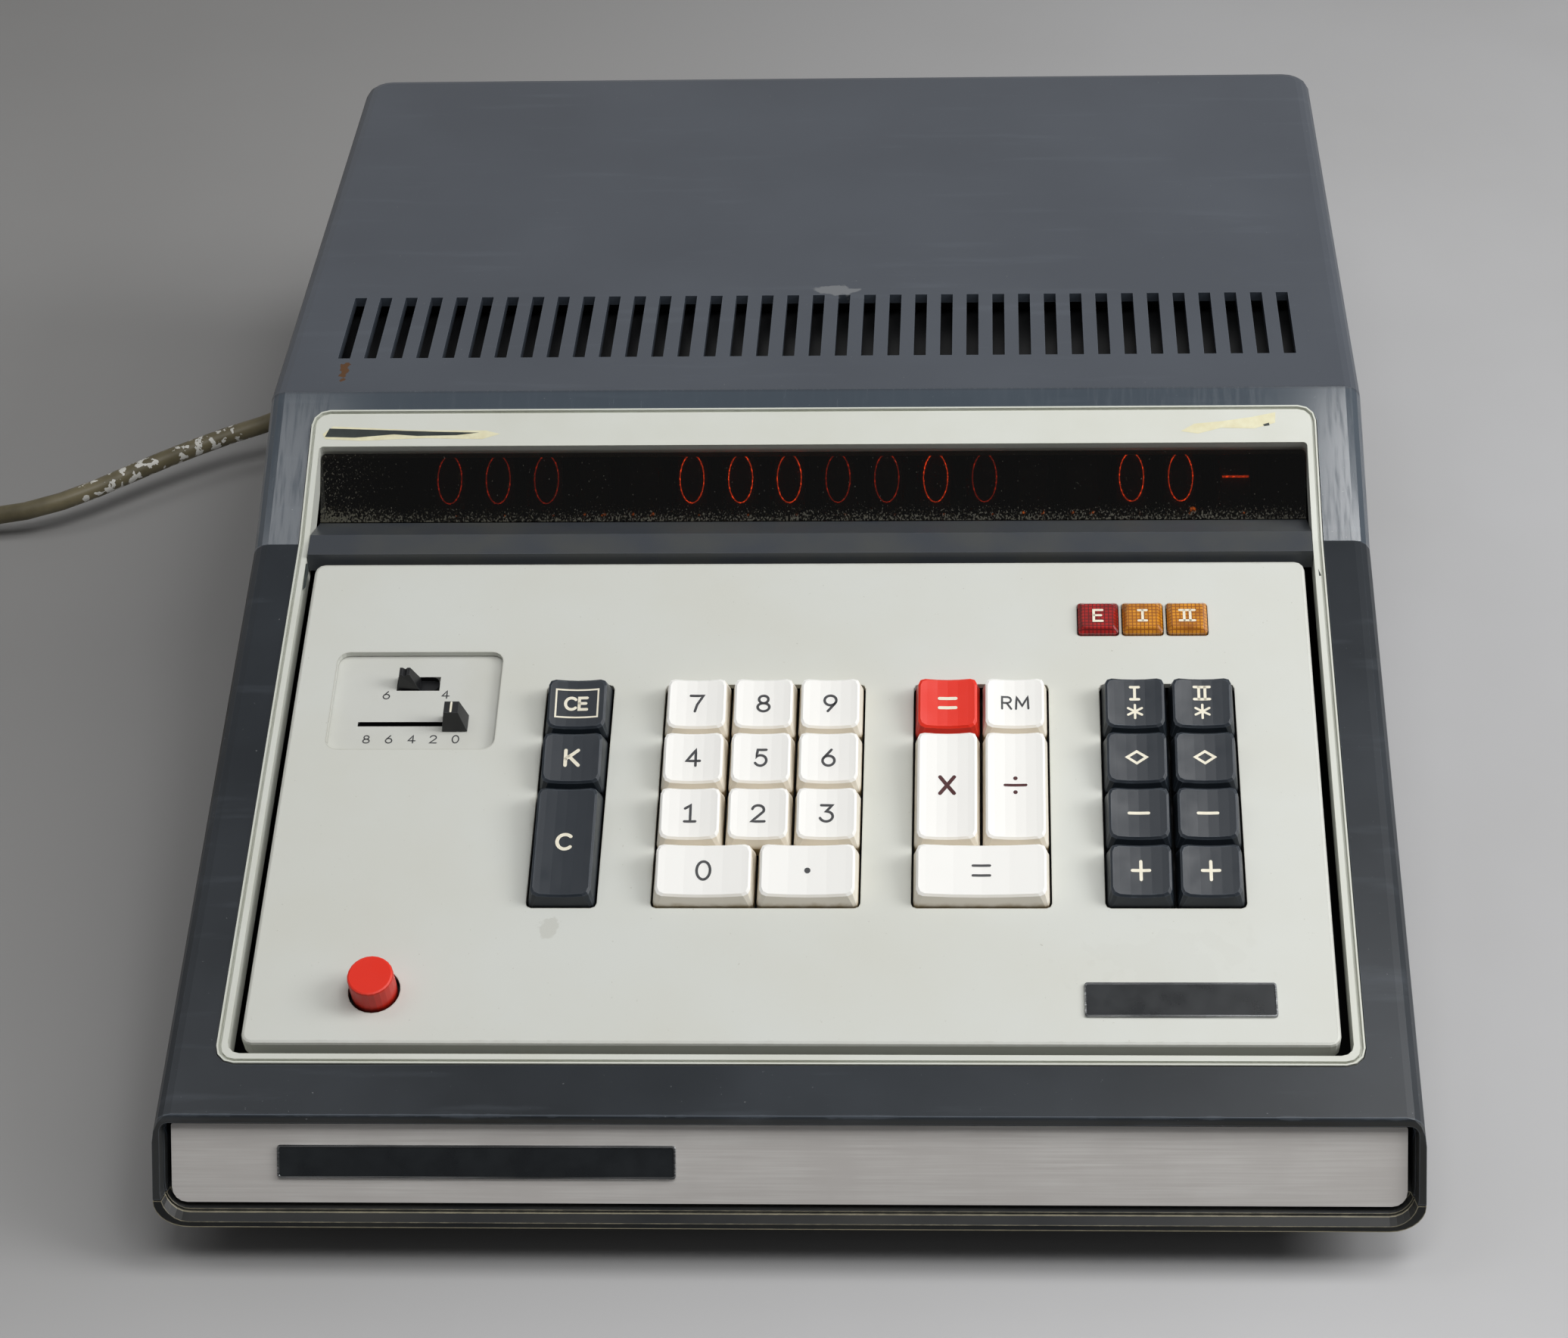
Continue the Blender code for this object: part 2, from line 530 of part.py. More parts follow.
def combine(item, others, operation):
    """Apply Booleans of the other objects to the item, and remove those objects."""
    for other in others:
        modifier = item.modifiers.new(other.name, "BOOLEAN")
        modifier.operation = operation
        modifier.solver = "EXACT"
        modifier.object = other
    bpy.context.view_layer.update()
    graph = bpy.context.evaluated_depsgraph_get()
    result = bpy.data.meshes.new_from_object(item.evaluated_get(graph))
    item.modifiers.clear()
    material = item.material_slots[0].material
    item.data = result
    result.materials.clear()
    result.materials.append(None)
    item.material_slots[0].link = "OBJECT"
    item.material_slots[0].material = material
    result.shade_smooth()
    result.set_sharp_from_angle(angle=SMOOTH_ANGLE)
    for other in others:
        bpy.data.objects.remove(other, do_unlink=True)
    return item


def loft(mesh, rings, closed=False):
    """Join rings of as many points each with faces, and cap the ends unless closed."""
    loops = [[mesh.verts.new(point) for point in ring] for ring in rings]
    pairs = list(zip(loops, loops[1:]))
    if closed:
        pairs.append((loops[-1], loops[0]))
    for low, high in pairs:
        for index in range(len(low)):
            after = (index + 1) % len(low)
            mesh.faces.new((low[index], low[after], high[after], high[index]))
    if not closed:
        mesh.faces.new(loops[0][::-1])
        mesh.faces.new(loops[-1])
    return loops


def box(mesh, low, high):
    """Add a box between two corners."""
    base = [(low[0], low[1]), (high[0], low[1]), (high[0], high[1]), (low[0], high[1])]
    loft(mesh, [[(x, y, z) for x, y in base] for z in (low[2], high[2])])


def prism_x(mesh, outline, x_low, x_high):
    """Extrude an outline of (y, z) points along X."""
    loft(mesh, [[(x, y, z) for y, z in outline] for x in (x_low, x_high)])


def prism_z(mesh, outline, z_low, z_high):
    """Extrude an outline of (x, y) points along Z."""
    loft(mesh, [[(x, y, z) for x, y in outline] for z in (z_low, z_high)])


def turned(mesh, profile, sides, centre=(0, 0)):
    """Turn a profile of (radius, z) points, listed upwards, about a line along Z."""
    rings = []
    for radius, z in profile:
        ring = []
        for index in range(sides):
            angle = math.tau * index / sides
            ring.append((centre[0] + radius * math.cos(angle), centre[1] + radius * math.sin(angle), z))
        rings.append(ring)
    loft(mesh, rings)


def rounded_outline(x_low, x_high, y_low, y_high, low_radius, high_radius, steps,
                    side_stops=(), edge_stops=()):
    """Return a rectangle's (x, y) points, counter-clockwise, with round corners.

    side_stops are extra points up both sides, edge_stops extra ones along both edges.
    """
    corners = (
        (x_high - low_radius, y_low + low_radius, low_radius, -math.pi / 2),
        (x_high - high_radius, y_high - high_radius, high_radius, 0.0),
        (x_low + high_radius, y_high - high_radius, high_radius, math.pi / 2),
        (x_low + low_radius, y_low + low_radius, low_radius, math.pi),
    )
    between = (
        [(x_high, stop) for stop in side_stops],
        [(stop, y_high) for stop in reversed(edge_stops)],
        [(x_low, stop) for stop in reversed(side_stops)],
        [(stop, y_low) for stop in edge_stops],
    )
    points = []
    for (x, y, radius, start), extra in zip(corners, between):
        stops = steps if radius else 0
        for step in range(stops + 1):
            angle = start + math.pi / 2 * step / steps
            points.append((x + radius * math.cos(angle), y + radius * math.sin(angle)))
        points.extend(extra)
    return points


def on_slope(x, t, lift):
    """Return the point at distance t up the keyboard and facet, raised by lift."""
    bend = KEYBOARD_LENGTH
    if abs(t - bend) < GAP:
        half = (FACET_SLOPE - KEYBOARD_SLOPE) / 2
        slope = KEYBOARD_SLOPE + half
        lift = lift / math.cos(half)
        return Vector((x, LOWER_BEND_Y - lift * math.sin(slope), LOWER_BEND_Z + lift * math.cos(slope)))
    if t < bend:
        return KEYBOARD @ Vector((x, t, lift))
    return FACET @ Vector((x, t - bend, lift))


def slope_ring(half_width, front, top_margin, low_radius, high_radius, lift):
    """Return a rounded ring of points that follows the keyboard and the facet."""
    outline = rounded_outline(-half_width, half_width, front, KEYBOARD_LENGTH + FACET_LENGTH - top_margin,
                              low_radius, high_radius, BEZEL_STEPS, side_stops=(KEYBOARD_LENGTH,))
    return [on_slope(x, t, lift) for x, t in outline]


def shell_outline(inset, drop, reach):
    """Return the case's side outline, moved in by inset, down to drop, its front out by reach."""
    def line_z(slope, y, base_y, base_z):
        return base_z + (y - base_y) * math.tan(slope) - inset / math.cos(slope)

    def meet(slope_a, base_a, slope_b, base_b):
        a = base_a[1] - base_a[0] * math.tan(slope_a) - inset / math.cos(slope_a)
        b = base_b[1] - base_b[0] * math.tan(slope_b) - inset / math.cos(slope_b)
        y = (b - a) / (math.tan(slope_a) - math.tan(slope_b))
        return y, a + y * math.tan(slope_a)

    crease = (CREASE_Y, CREASE_Z)
    upper = (UPPER_BEND_Y, DECK_Z)
    bend = (LOWER_BEND_Y, LOWER_BEND_Z)
    rear = REAR_Y - inset
    if reach:
        front_top = (FRONT_Y - reach, line_z(KEYBOARD_SLOPE, FRONT_Y - reach, *crease))
        front_foot = (FRONT_Y - reach, drop)
    else:
        front_top = crease
        front_foot = (FRONT_Y + (drop - FOOT_HEIGHT) / math.tan(CHIN_SLOPE), drop)
    return [
        (rear, drop), (rear, DECK_Z - inset), meet(FACET_SLOPE, bend, 0.0, upper),
        meet(KEYBOARD_SLOPE, bend, FACET_SLOPE, bend), front_top, front_foot,
    ]


def round_shell(mesh, drop, corner, fillet):
    """Round the rear corners of a case outline, then its edge round the top."""
    tiny = GAP
    rear = max(vert.co.y for vert in mesh.verts)
    upright = [
        edge for edge in mesh.edges
        if all(abs(vert.co.y - rear) < tiny for vert in edge.verts)
        and abs(edge.verts[0].co.x - edge.verts[1].co.x) < tiny
    ]
    bmesh.ops.bevel(mesh, geom=upright, offset=corner, segments=FILLET_STEPS, profile=0.5,
                    affect="EDGES", clamp_overlap=False)
    bmesh.ops.recalc_face_normals(mesh, faces=mesh.faces)
    mesh.normal_update()
    brow = []
    for edge in mesh.edges:
        if len(edge.link_faces) != 2 or min(vert.co.z for vert in edge.verts) < drop + tiny:
            continue
        steep, flat = sorted(face.normal.z for face in edge.link_faces)
        if abs(steep) < UPRIGHT_LIMIT and flat > LEVEL_LIMIT:
            brow.append(edge)
    bmesh.ops.bevel(mesh, geom=brow, offset=fillet, segments=FILLET_STEPS, profile=0.5,
                    affect="EDGES", clamp_overlap=False)


def recess_cutter(name):
    """Make the cutter of the front recess: its sides and foot close in, past a groove."""
    foot = CHIN_LENGTH - PAN_LIP
    rise = foot - STRIP_FOOT
    middle = -CHIN_RECESS / 2
    beyond = middle - RECESS_GROOVE
    levels = (
        (OVERRUN, 0.0), (0.0, 0.0), (middle, 0.0), (middle, RECESS_GROOVE),
        (beyond, RECESS_GROOVE), (beyond, 0.0), (-CHIN_RECESS, 0.0),
    )
    rings = []
    for z, groove in levels:
        share = max(-z, 0.0) / CHIN_RECESS
        half = HALF_WIDTH - CHEEK_WIDTH - RECESS_TAPER * share + groove
        low = -foot + rise * share - groove
        radius = RECESS_RADIUS - RECESS_TAPER * share + groove
        outline = rounded_outline(-half, half, low, -CHIN_BROW, radius, RECESS_BROW_RADIUS, RECESS_STEPS)
        rings.append([(x, y, z) for x, y in outline])
    mesh = bmesh.new()
    loft(mesh, rings)
    return solid(name, mesh, "slate_paint", CHIN)


def make_cover():
    """Moulded cover: slotted deck, display facet, keyboard surround and front brow."""
    outer = bmesh.new()
    prism_x(outer, shell_outline(0.0, SEAM_Z + GAP, 0.0), -HALF_WIDTH, HALF_WIDTH)
    round_shell(outer, SEAM_Z + GAP, REAR_CORNER, EDGE_FILLET)
    cover = solid("upper_cover", outer, "slate_paint")

    inner = bmesh.new()
    side = HALF_WIDTH - COVER_WALL
    low = SEAM_Z - OVERRUN
    prism_x(inner, shell_outline(COVER_WALL, low, OVERRUN), -side, side)
    round_shell(inner, low, REAR_CORNER - COVER_WALL, EDGE_FILLET - COVER_WALL)
    hollow = solid("cut_hollow", inner, "slate_paint")
    combine(cover, [hollow], "DIFFERENCE")

    bezel = bmesh.new()
    loops = loft(bezel, [
        slope_ring(BEZEL_HALF_WIDTH, BEZEL_FRONT, BEZEL_TOP_MARGIN, BEZEL_RADIUS, BEZEL_RADIUS, lift)
        for lift in (-COVER_WALL - OVERRUN, OVERRUN)
    ])
    right_bend = BEZEL_STEPS + 1
    left_bend = right_bend * 3 + 1
    for loop in loops:
        bmesh.ops.connect_verts(bezel, verts=(loop[right_bend], loop[left_bend]))
    opening = solid("cut_bezel", bezel, "slate_paint")

    chin = recess_cutter("cut_chin")

    vents = bmesh.new()
    front = UPPER_BEND_Y + VENT_SETBACK
    for index in range(VENT_COUNT):
        x = VENT_FIRST_X + index * VENT_PITCH
        box(vents, (x - VENT_WIDTH / 2, front, DECK_Z - COVER_WALL - OVERRUN),
            (x + VENT_WIDTH / 2, front + VENT_LENGTH, DECK_Z + OVERRUN))
    slots = solid("cut_vents", vents, "slate_paint")

    hole = bmesh.new()
    turned(hole, ((RELIEF_NECK_RADIUS + GAP, HALF_WIDTH - COVER_WALL - OVERRUN),
                  (RELIEF_NECK_RADIUS + GAP, HALF_WIDTH + OVERRUN)), RELIEF_SIDES)
    place = Matrix.Translation((0, CORD_EXIT_Y, CORD_EXIT_Z)) @ Matrix.Rotation(-math.pi / 2, 4, "Y")
    exit_hole = solid("cut_exit", hole, "slate_paint", place)
    return combine(cover, [opening, chin, slots, exit_hole], "DIFFERENCE")


def make_pan():
    """Lower pan: floor, low walls with swept corners, front shelf and upstand behind the strip."""
    across = PAN_CORNER_ACROSS
    section = []
    for sign in (1, -1):
        arc = []
        for step in range(PAN_CORNER_STEPS + 1):
            angle = math.pi / 2 * step / PAN_CORNER_STEPS
            arc.append((sign * (HALF_WIDTH - across + across * math.sin(angle)),
                        FOOT_HEIGHT + SEAM_RISE * (1 - math.cos(angle))))
        section.extend(arc if sign > 0 else arc[::-1])
    mesh = bmesh.new()
    loft(mesh, [[(x, y, z) for x, z in section] for y in (FRONT_Y, REAR_Y)])
    pan = solid("lower_pan", mesh, "slate_paint")

    plan = bmesh.new()
    wide = HALF_WIDTH + OVERRUN
    start = REAR_Y - REAR_CORNER
    outline = [(-wide, start), (-wide, FRONT_Y - OVERRUN), (wide, FRONT_Y - OVERRUN), (wide, start)]
    outline += rounded_outline(-HALF_WIDTH, HALF_WIDTH, start, REAR_Y, 0.0, REAR_CORNER, FILLET_STEPS)[
        1:FILLET_STEPS * 2 + 3]
    prism_z(plan, outline, FOOT_HEIGHT - OVERRUN, SEAM_Z + OVERRUN)
    trim = solid("cut_plan", plan, "slate_paint")
    combine(pan, [trim], "INTERSECT")

    well = bmesh.new()
    side = HALF_WIDTH - PAN_WALL
    shelf_back = CHIN @ Vector((0, -STRIP_FOOT, -CHIN_RECESS))
    outline = rounded_outline(-side, side, shelf_back.y + PAN_FRONT_WALL * 2, REAR_Y - PAN_WALL,
                              REAR_CORNER - PAN_WALL, REAR_CORNER - PAN_WALL, FILLET_STEPS)
    prism_z(well, outline, FLOOR_Z, SEAM_Z + OVERRUN)
    hollow = solid("cut_well", well, "slate_paint")

    shelf = recess_cutter("cut_shelf")
    chin_side = bmesh.new()
    box(chin_side, (-CASE_WIDTH, -CHIN_LENGTH * 2, 0), (CASE_WIDTH, 0, OVERRUN * 4))
    slice_off = solid("cut_chin_face", chin_side, "slate_paint", CHIN)
    combine(pan, [hollow, shelf, slice_off], "DIFFERENCE")

    wall = bmesh.new()
    back = -STRIP_SINK - STRIP_THICKNESS - GAP
    wall_side = side - GAP * 2
    wall_foot = CHIN.inverted() @ Vector((0, shelf_back.y + PAN_FRONT_WALL, FOOT_HEIGHT + PAN_FLOOR / 2))
    box(wall, (-wall_side, wall_foot.y, back - PAN_FRONT_WALL), (wall_side, -CHIN_BROW * 2, back))
    upstand = solid("add_upstand", wall, "slate_paint", CHIN)
    return combine(pan, [upstand], "UNION")


def make_strip():
    """Satin strip in the front recess."""
    mesh = bmesh.new()
    foot = -STRIP_FOOT + GAP
    outline = rounded_outline(-STRIP_HALF_WIDTH, STRIP_HALF_WIDTH, foot, -STRIP_TOP,
                              STRIP_RADIUS, RIM_WIDTH, FILLET_STEPS)
    prism_z(mesh, outline, -STRIP_SINK - STRIP_THICKNESS, -STRIP_SINK)
    return solid("front_strip", mesh, "satin_strip", CHIN)


def make_frame():
    """Inner frame: rim, groove, face and deep inner wall, bent along the two slopes."""
    rings = []
    outer = (
        (GAP, -FRAME_DEPTH), (GAP, RIM_PROUD), (GAP + RIM_WIDTH, RIM_PROUD),
        (GAP + RIM_WIDTH, -GROOVE_DEPTH), (FRAME_FACE_INSET, -GROOVE_DEPTH),
        (FRAME_FACE_INSET, FRAME_FACE_LIFT),
    )
    for inset, lift in outer:
        rings.append(slope_ring(BEZEL_HALF_WIDTH - inset, BEZEL_FRONT + inset, BEZEL_TOP_MARGIN + inset,
                                BEZEL_RADIUS - inset, BEZEL_RADIUS - inset, lift))
    for lift in (FRAME_FACE_LIFT, -FRAME_DEPTH):
        rings.append(slope_ring(BEZEL_HALF_WIDTH - FRAME_INNER_INSET, BEZEL_FRONT + FRAME_INNER_INSET,
                                FRAME_TOP_INSET, FRAME_FRONT_RADIUS, FRAME_WINDOW_RADIUS, lift))
    mesh = bmesh.new()
    loft(mesh, rings, closed=True)
    return solid("inner_frame", mesh, "ivory_paint")


def well_box(well):
    """Return a key well's left, right, front and rear edges on the keyboard."""
    left = WELL_LEFT[well]
    return left, left + WELL_WIDTHS[well], WELLS_FRONT, WELLS_FRONT + WELLS_LENGTH


def make_panel():
    """Keyboard panel: rounded tray, face down, with wells and holes through it."""
    mesh = bmesh.new()
    rings = []
    top = PANEL_LIFT
    for inset, z in ((0.0, top - PANEL_SKIRT), (0.0, top - PANEL_ROUNDING),
                     (PANEL_ROUNDING * SHOULDER_SHARE, top - PANEL_ROUNDING * SHOULDER_SHARE),
                     (PANEL_ROUNDING, top)):
        outline = rounded_outline(-PANEL_HALF_WIDTH + inset, PANEL_HALF_WIDTH - inset,
                                  PANEL_FRONT + inset, PANEL_REAR - inset,
                                  PANEL_RADIUS - inset, PANEL_RADIUS - inset, BEZEL_STEPS)
        rings.append([(x, y, z) for x, y in outline])
    loft(mesh, rings)
    panel = solid("keyboard_panel", mesh, "grey_panel", KEYBOARD)

    cuts = bmesh.new()
    wall = PANEL_SKIRT_WALL
    box(cuts, (-PANEL_HALF_WIDTH + wall, PANEL_FRONT + wall, top - PANEL_SKIRT - OVERRUN),
        (PANEL_HALF_WIDTH - wall, PANEL_REAR - wall, top - PANEL_THICKNESS))
    tray = solid("cut_tray", cuts, "grey_panel", KEYBOARD)

    holes = bmesh.new()
    span = (top - PANEL_THICKNESS - OVERRUN, top + OVERRUN)
    for well in WELL_LEFT:
        left, right, front, rear = well_box(well)
        outline = rounded_outline(left, right, front, rear, WELL_RADIUS, WELL_RADIUS, CORNER_STEPS)
        prism_z(holes, outline, *span)
    for index in range(len(LAMPS)):
        x = LAMP_FIRST_X + index * LAMP_PITCH
        half_x = LAMP_WIDTH / 2 + GAP
        half_y = LAMP_LENGTH / 2 + GAP
        prism_z(holes, rounded_outline(x - half_x, x + half_x, LAMP_CENTRE_S - half_y, LAMP_CENTRE_S + half_y,
                                       LAMP_RADIUS, LAMP_RADIUS, CORNER_STEPS), *span)
    prism_z(holes, rounded_outline(SWITCH_WELL_LEFT, SWITCH_WELL_RIGHT, SWITCH_WELL_FRONT, SWITCH_WELL_REAR,
                                   SWITCH_WELL_RADIUS, SWITCH_WELL_RADIUS, FILLET_STEPS), *span)
    turned(holes, ((BUTTON_HOLE_RADIUS, span[0]), (BUTTON_HOLE_RADIUS, span[1])), BUTTON_SIDES,
           (BUTTON_X, BUTTON_S))
    openings = solid("cut_holes", holes, "grey_panel", KEYBOARD)
    return combine(panel, [tray, openings], "DIFFERENCE")


def panel_back():
    """Return the height of the panel's rear face over the keyboard slope."""
    return PANEL_LIFT - PANEL_THICKNESS


def make_switch_plate():
    """Sunken plate of the two slide switches, with their bodies under it and their slots."""
    top = panel_back() - GAP
    bottom = top - SWITCH_PLATE_THICKNESS
    border = SWITCH_PLATE_BORDER
    mesh = bmesh.new()
    prism_z(mesh, rounded_outline(SWITCH_WELL_LEFT - border, SWITCH_WELL_RIGHT + border,
                                  SWITCH_WELL_FRONT - border, SWITCH_WELL_REAR + border,
                                  border, border, CORNER_STEPS), bottom, top)
    plate = solid("switch_plate", mesh, "grey_panel", KEYBOARD)
    wall = SLIDER_BODY_WALL
    bodies = bmesh.new()
    cuts = bmesh.new()
    channels = (
        (LONG_SLOT_LEFT, LONG_KNOB_CENTRE + BLADE_LENGTH / 2 + RUNNING_GAP * 2, LONG_SLOT_CENTRE,
         LONG_SLOT_WIDTH / 2, BLADE_DEPTH),
        (SHORT_SLOT_LEFT, SHORT_SLOT_LEFT + SHORT_SLOT_LENGTH, SHORT_SLOT_CENTRE,
         SHORT_SLOT_WIDTH / 2, SHORT_KNOB_SINK),
    )
    for left, right, centre, half, depth in channels:
        box(bodies, (left - wall, centre - half - wall, bottom - SLIDER_BODY_HEIGHT),
            (right + wall, centre + half + wall, top - SWITCH_PLATE_THICKNESS / 2))
        box(cuts, (left, centre - half, top - depth - RUNNING_GAP), (right, centre + half, top + OVERRUN))
    combine(plate, [solid("add_bodies", bodies, "grey_panel", KEYBOARD)], "UNION")
    return combine(plate, [solid("cut_slots", cuts, "grey_panel", KEYBOARD)], "DIFFERENCE")


def knob_rings(outline, depth, setback, height):
    """Return the front and rear rings of a slider knob, whose front leans back by setback at its top."""
    front = [(x, -depth / 2 + setback * max(z, 0.0) / height, z) for x, z in outline]
    rear = [(x, depth / 2, z) for x, z in outline]
    return [front, rear]


def make_long_knob():
    """Knob of the long slide switch, with a steep flank on its index side and a ramp on the right."""
    plate_top = panel_back() - GAP
    mesh = bmesh.new()
    left = -LONG_KNOB_WIDTH / 2
    top_left = left + LONG_KNOB_LEFT_INSET
    top = LONG_KNOB_HEIGHT
    outline = [(left, GAP), (left + LONG_KNOB_WIDTH, GAP), (top_left + LONG_KNOB_TOP, top), (top_left, top)]
    loft(mesh, knob_rings(outline, LONG_KNOB_DEPTH, LONG_KNOB_SETBACK, top))
    place = KEYBOARD @ Matrix.Translation((LONG_KNOB_CENTRE, LONG_SLOT_CENTRE, plate_top))
    knob = solid("long_slider_knob", mesh, "black_plastic", place)
    blade = bmesh.new()
    thin = LONG_SLOT_WIDTH / 2 - RUNNING_GAP
    box(blade, (-BLADE_LENGTH / 2, -thin, -BLADE_DEPTH), (BLADE_LENGTH / 2, thin, LONG_KNOB_HEIGHT / 2))
    return combine(knob, [solid("add_blade", blade, "black_plastic", place)], "UNION")


def make_short_knob():
    """Knob of the short slide switch: it fills its slot and has a grooved top."""
    left = -SHORT_KNOB_WIDTH / 2
    right = left + SHORT_KNOB_WIDTH
    top_left = left + SHORT_KNOB_LEFT_INSET
    middle = top_left + SHORT_KNOB_TOP / 2
    notch = SHORT_KNOB_GROOVE
    top = SHORT_KNOB_HEIGHT
    outline = [
        (left, -SHORT_KNOB_SINK), (right, -SHORT_KNOB_SINK), (right, 0.0), (top_left + SHORT_KNOB_TOP, top),
        (middle + notch, top), (middle, top - notch), (middle - notch, top), (top_left, top), (left, 0.0),
    ]
    mesh = bmesh.new()
    loft(mesh, knob_rings(outline, SHORT_SLOT_WIDTH - RUNNING_GAP * 2, SHORT_KNOB_SETBACK, top))
    centre = SHORT_SLOT_LEFT + RUNNING_GAP + SHORT_KNOB_WIDTH / 2
    place = KEYBOARD @ Matrix.Translation((centre, SHORT_SLOT_CENTRE, panel_back() - GAP))
    return solid("short_slider_knob", mesh, "black_plastic", place)


def make_push_switch():
    """Body of the push switch under the panel, with a well for the button and its stem."""
    side = PUSH_BODY_SIDE / 2
    deck = panel_back() - GAP
    seat = deck - BUTTON_TRAVEL
    foot = panel_back() - BUTTON_STEM_LENGTH - BUTTON_TRAVEL
    mesh = bmesh.new()
    box(mesh, (BUTTON_X - side, BUTTON_S - side, foot - PUSH_BODY_FLOOR),
        (BUTTON_X + side, BUTTON_S + side, deck))
    body = solid("push_switch_body", mesh, "black_plastic", KEYBOARD)
    cuts = bmesh.new()
    turned(cuts, (
        (BUTTON_STEM_RADIUS + RUNNING_GAP, foot - GAP), (BUTTON_STEM_RADIUS + RUNNING_GAP, seat - GAP),
        (BUTTON_HOLE_RADIUS, seat - GAP), (BUTTON_HOLE_RADIUS, deck + OVERRUN),
    ), BUTTON_SIDES, (BUTTON_X, BUTTON_S))
    return combine(body, [solid("cut_well", cuts, "black_plastic", KEYBOARD)], "DIFFERENCE")


def make_button():
    """Red push button: round head with a softened rim, and a stem."""
    foot = panel_back() - GAP
    mesh = bmesh.new()
    rim = BUTTON_ROUNDING
    turned(mesh, (
        (BUTTON_STEM_RADIUS, foot - BUTTON_STEM_LENGTH), (BUTTON_STEM_RADIUS, foot), (BUTTON_RADIUS, foot),
        (BUTTON_RADIUS, BUTTON_HEIGHT - rim),
        (BUTTON_RADIUS - rim * SHOULDER_SHARE, BUTTON_HEIGHT - rim * SHOULDER_SHARE),
        (BUTTON_RADIUS - rim, BUTTON_HEIGHT),
    ), BUTTON_SIDES)
    return solid("red_button", mesh, "red_key", KEYBOARD @ Matrix.Translation((BUTTON_X, BUTTON_S, 0)))


def cap_outline(width, depth, side, front, rear, radius):
    """Return a key cap's outline at one height, centred on the key."""
    half_x = (width - KEY_GAP) / 2 - side
    y_low = -(depth - KEY_GAP) / 2 + front
    y_high = (depth - KEY_GAP) / 2 - rear
    flat = half_x - radius
    return rounded_outline(-half_x, half_x, y_low, y_high, radius, radius, CORNER_STEPS,
                           edge_stops=(-flat / 2, 0.0, flat / 2))


def cap_height(x, y, half_x, y_low, y_high):
    """Return the height of a cap's dished top over the panel's face."""
    share = (y - y_low) / (y_high - y_low)
    height = CAP_FRONT_HEIGHT + (CAP_REAR_HEIGHT - CAP_FRONT_HEIGHT) * share
    return height - CAP_DISH * (1 - (x / half_x) ** 2)


def make_cap_mesh(width, depth):
    """Return the mesh of a hollow key cap with a dished top and a square stem."""
    low_y = -(depth - KEY_GAP) / 2 + CAP_FRONT_INSET
    high_y = (depth - KEY_GAP) / 2 - CAP_REAR_INSET
    half_x = (width - KEY_GAP) / 2 - CAP_SIDE_INSET
    base = cap_outline(width, depth, 0.0, 0.0, 0.0, CAP_BASE_RADIUS)
    shoulder = CAP_ROUNDING * CAP_SHOULDER_SHARE
    edge_line = cap_outline(width, depth, CAP_SIDE_INSET - shoulder, CAP_FRONT_INSET - shoulder,
                            CAP_REAR_INSET - shoulder, CAP_TOP_RADIUS)
    rim = cap_outline(width, depth, CAP_SIDE_INSET + CAP_ROUNDING, CAP_FRONT_INSET + CAP_ROUNDING,
                      CAP_REAR_INSET + CAP_ROUNDING, CAP_TOP_RADIUS)
    rings = [
        [(x, y, -CAP_SKIRT) for x, y in base],
        [(x, y, 0.0) for x, y in base],
        [(x, y, cap_height(x, y, half_x, low_y, high_y) - CAP_ROUNDING) for x, y in edge_line],
        [(x, y, cap_height(x, y, half_x, low_y, high_y)) for x, y in rim],
    ]
    mesh = bmesh.new()
    loops = loft(mesh, rings)
    dish = max(mesh.faces, key=lambda face: (len(face.verts), face.calc_center_median().z))
    bmesh.ops.delete(mesh, geom=[dish], context="FACES_ONLY")
    top = loops[-1]
    count = len(top)
    arc = CORNER_STEPS + 1
    chain = range(arc * 2 + CAP_EDGE_STOPS)
    front_chain = [top[(count - arc - CAP_EDGE_STOPS + index) % count] for index in chain]
    rear_chain = [top[arc + index] for index in reversed(chain)]
    for index in chain[1:]:
        mesh.faces.new((front_chain[index - 1], front_chain[index], rear_chain[index], rear_chain[index - 1]))
    cap = solid("cap", mesh, "white_key")

    cavity = bmesh.new()
    levels = []
    ceiling = CAP_FRONT_HEIGHT - CAP_DISH - CAP_CEILING
    wall = CAP_WALL
    half_mouth = (width - KEY_GAP) / 2 - wall
    deep_mouth = (depth - KEY_GAP) / 2 - wall
    for z, side in ((-CAP_SKIRT - OVERRUN, 0.0), (0.0, 0.0), (ceiling, CAP_FRONT_INSET)):
        across, along = half_mouth - side, deep_mouth - side
        levels.append([(-across, -along, z), (across, -along, z), (across, along, z), (-across, along, z)])
    loft(cavity, levels)
    combine(cap, [solid("cut_cavity", cavity, "white_key")], "DIFFERENCE")
    post = bmesh.new()
    half = STEM_SIDE / 2
    box(post, (-half, -half, -STEM_LENGTH), (half, half, ceiling + CAP_CEILING / 2))
    combine(cap, [solid("add_stem", post, "white_key")], "UNION")
    data = cap.data
    bpy.data.objects.remove(cap, do_unlink=True)
    return data


def key_centre(well, column, row, width, depth):
    """Return a key's centre on the keyboard slope."""
    left, _, front, _ = well_box(well)
    margin = WELL_MARGIN / 2
    return (left + margin + (column + width / 2) * KEY_PITCH, front + margin + (row + depth / 2) * KEY_PITCH)


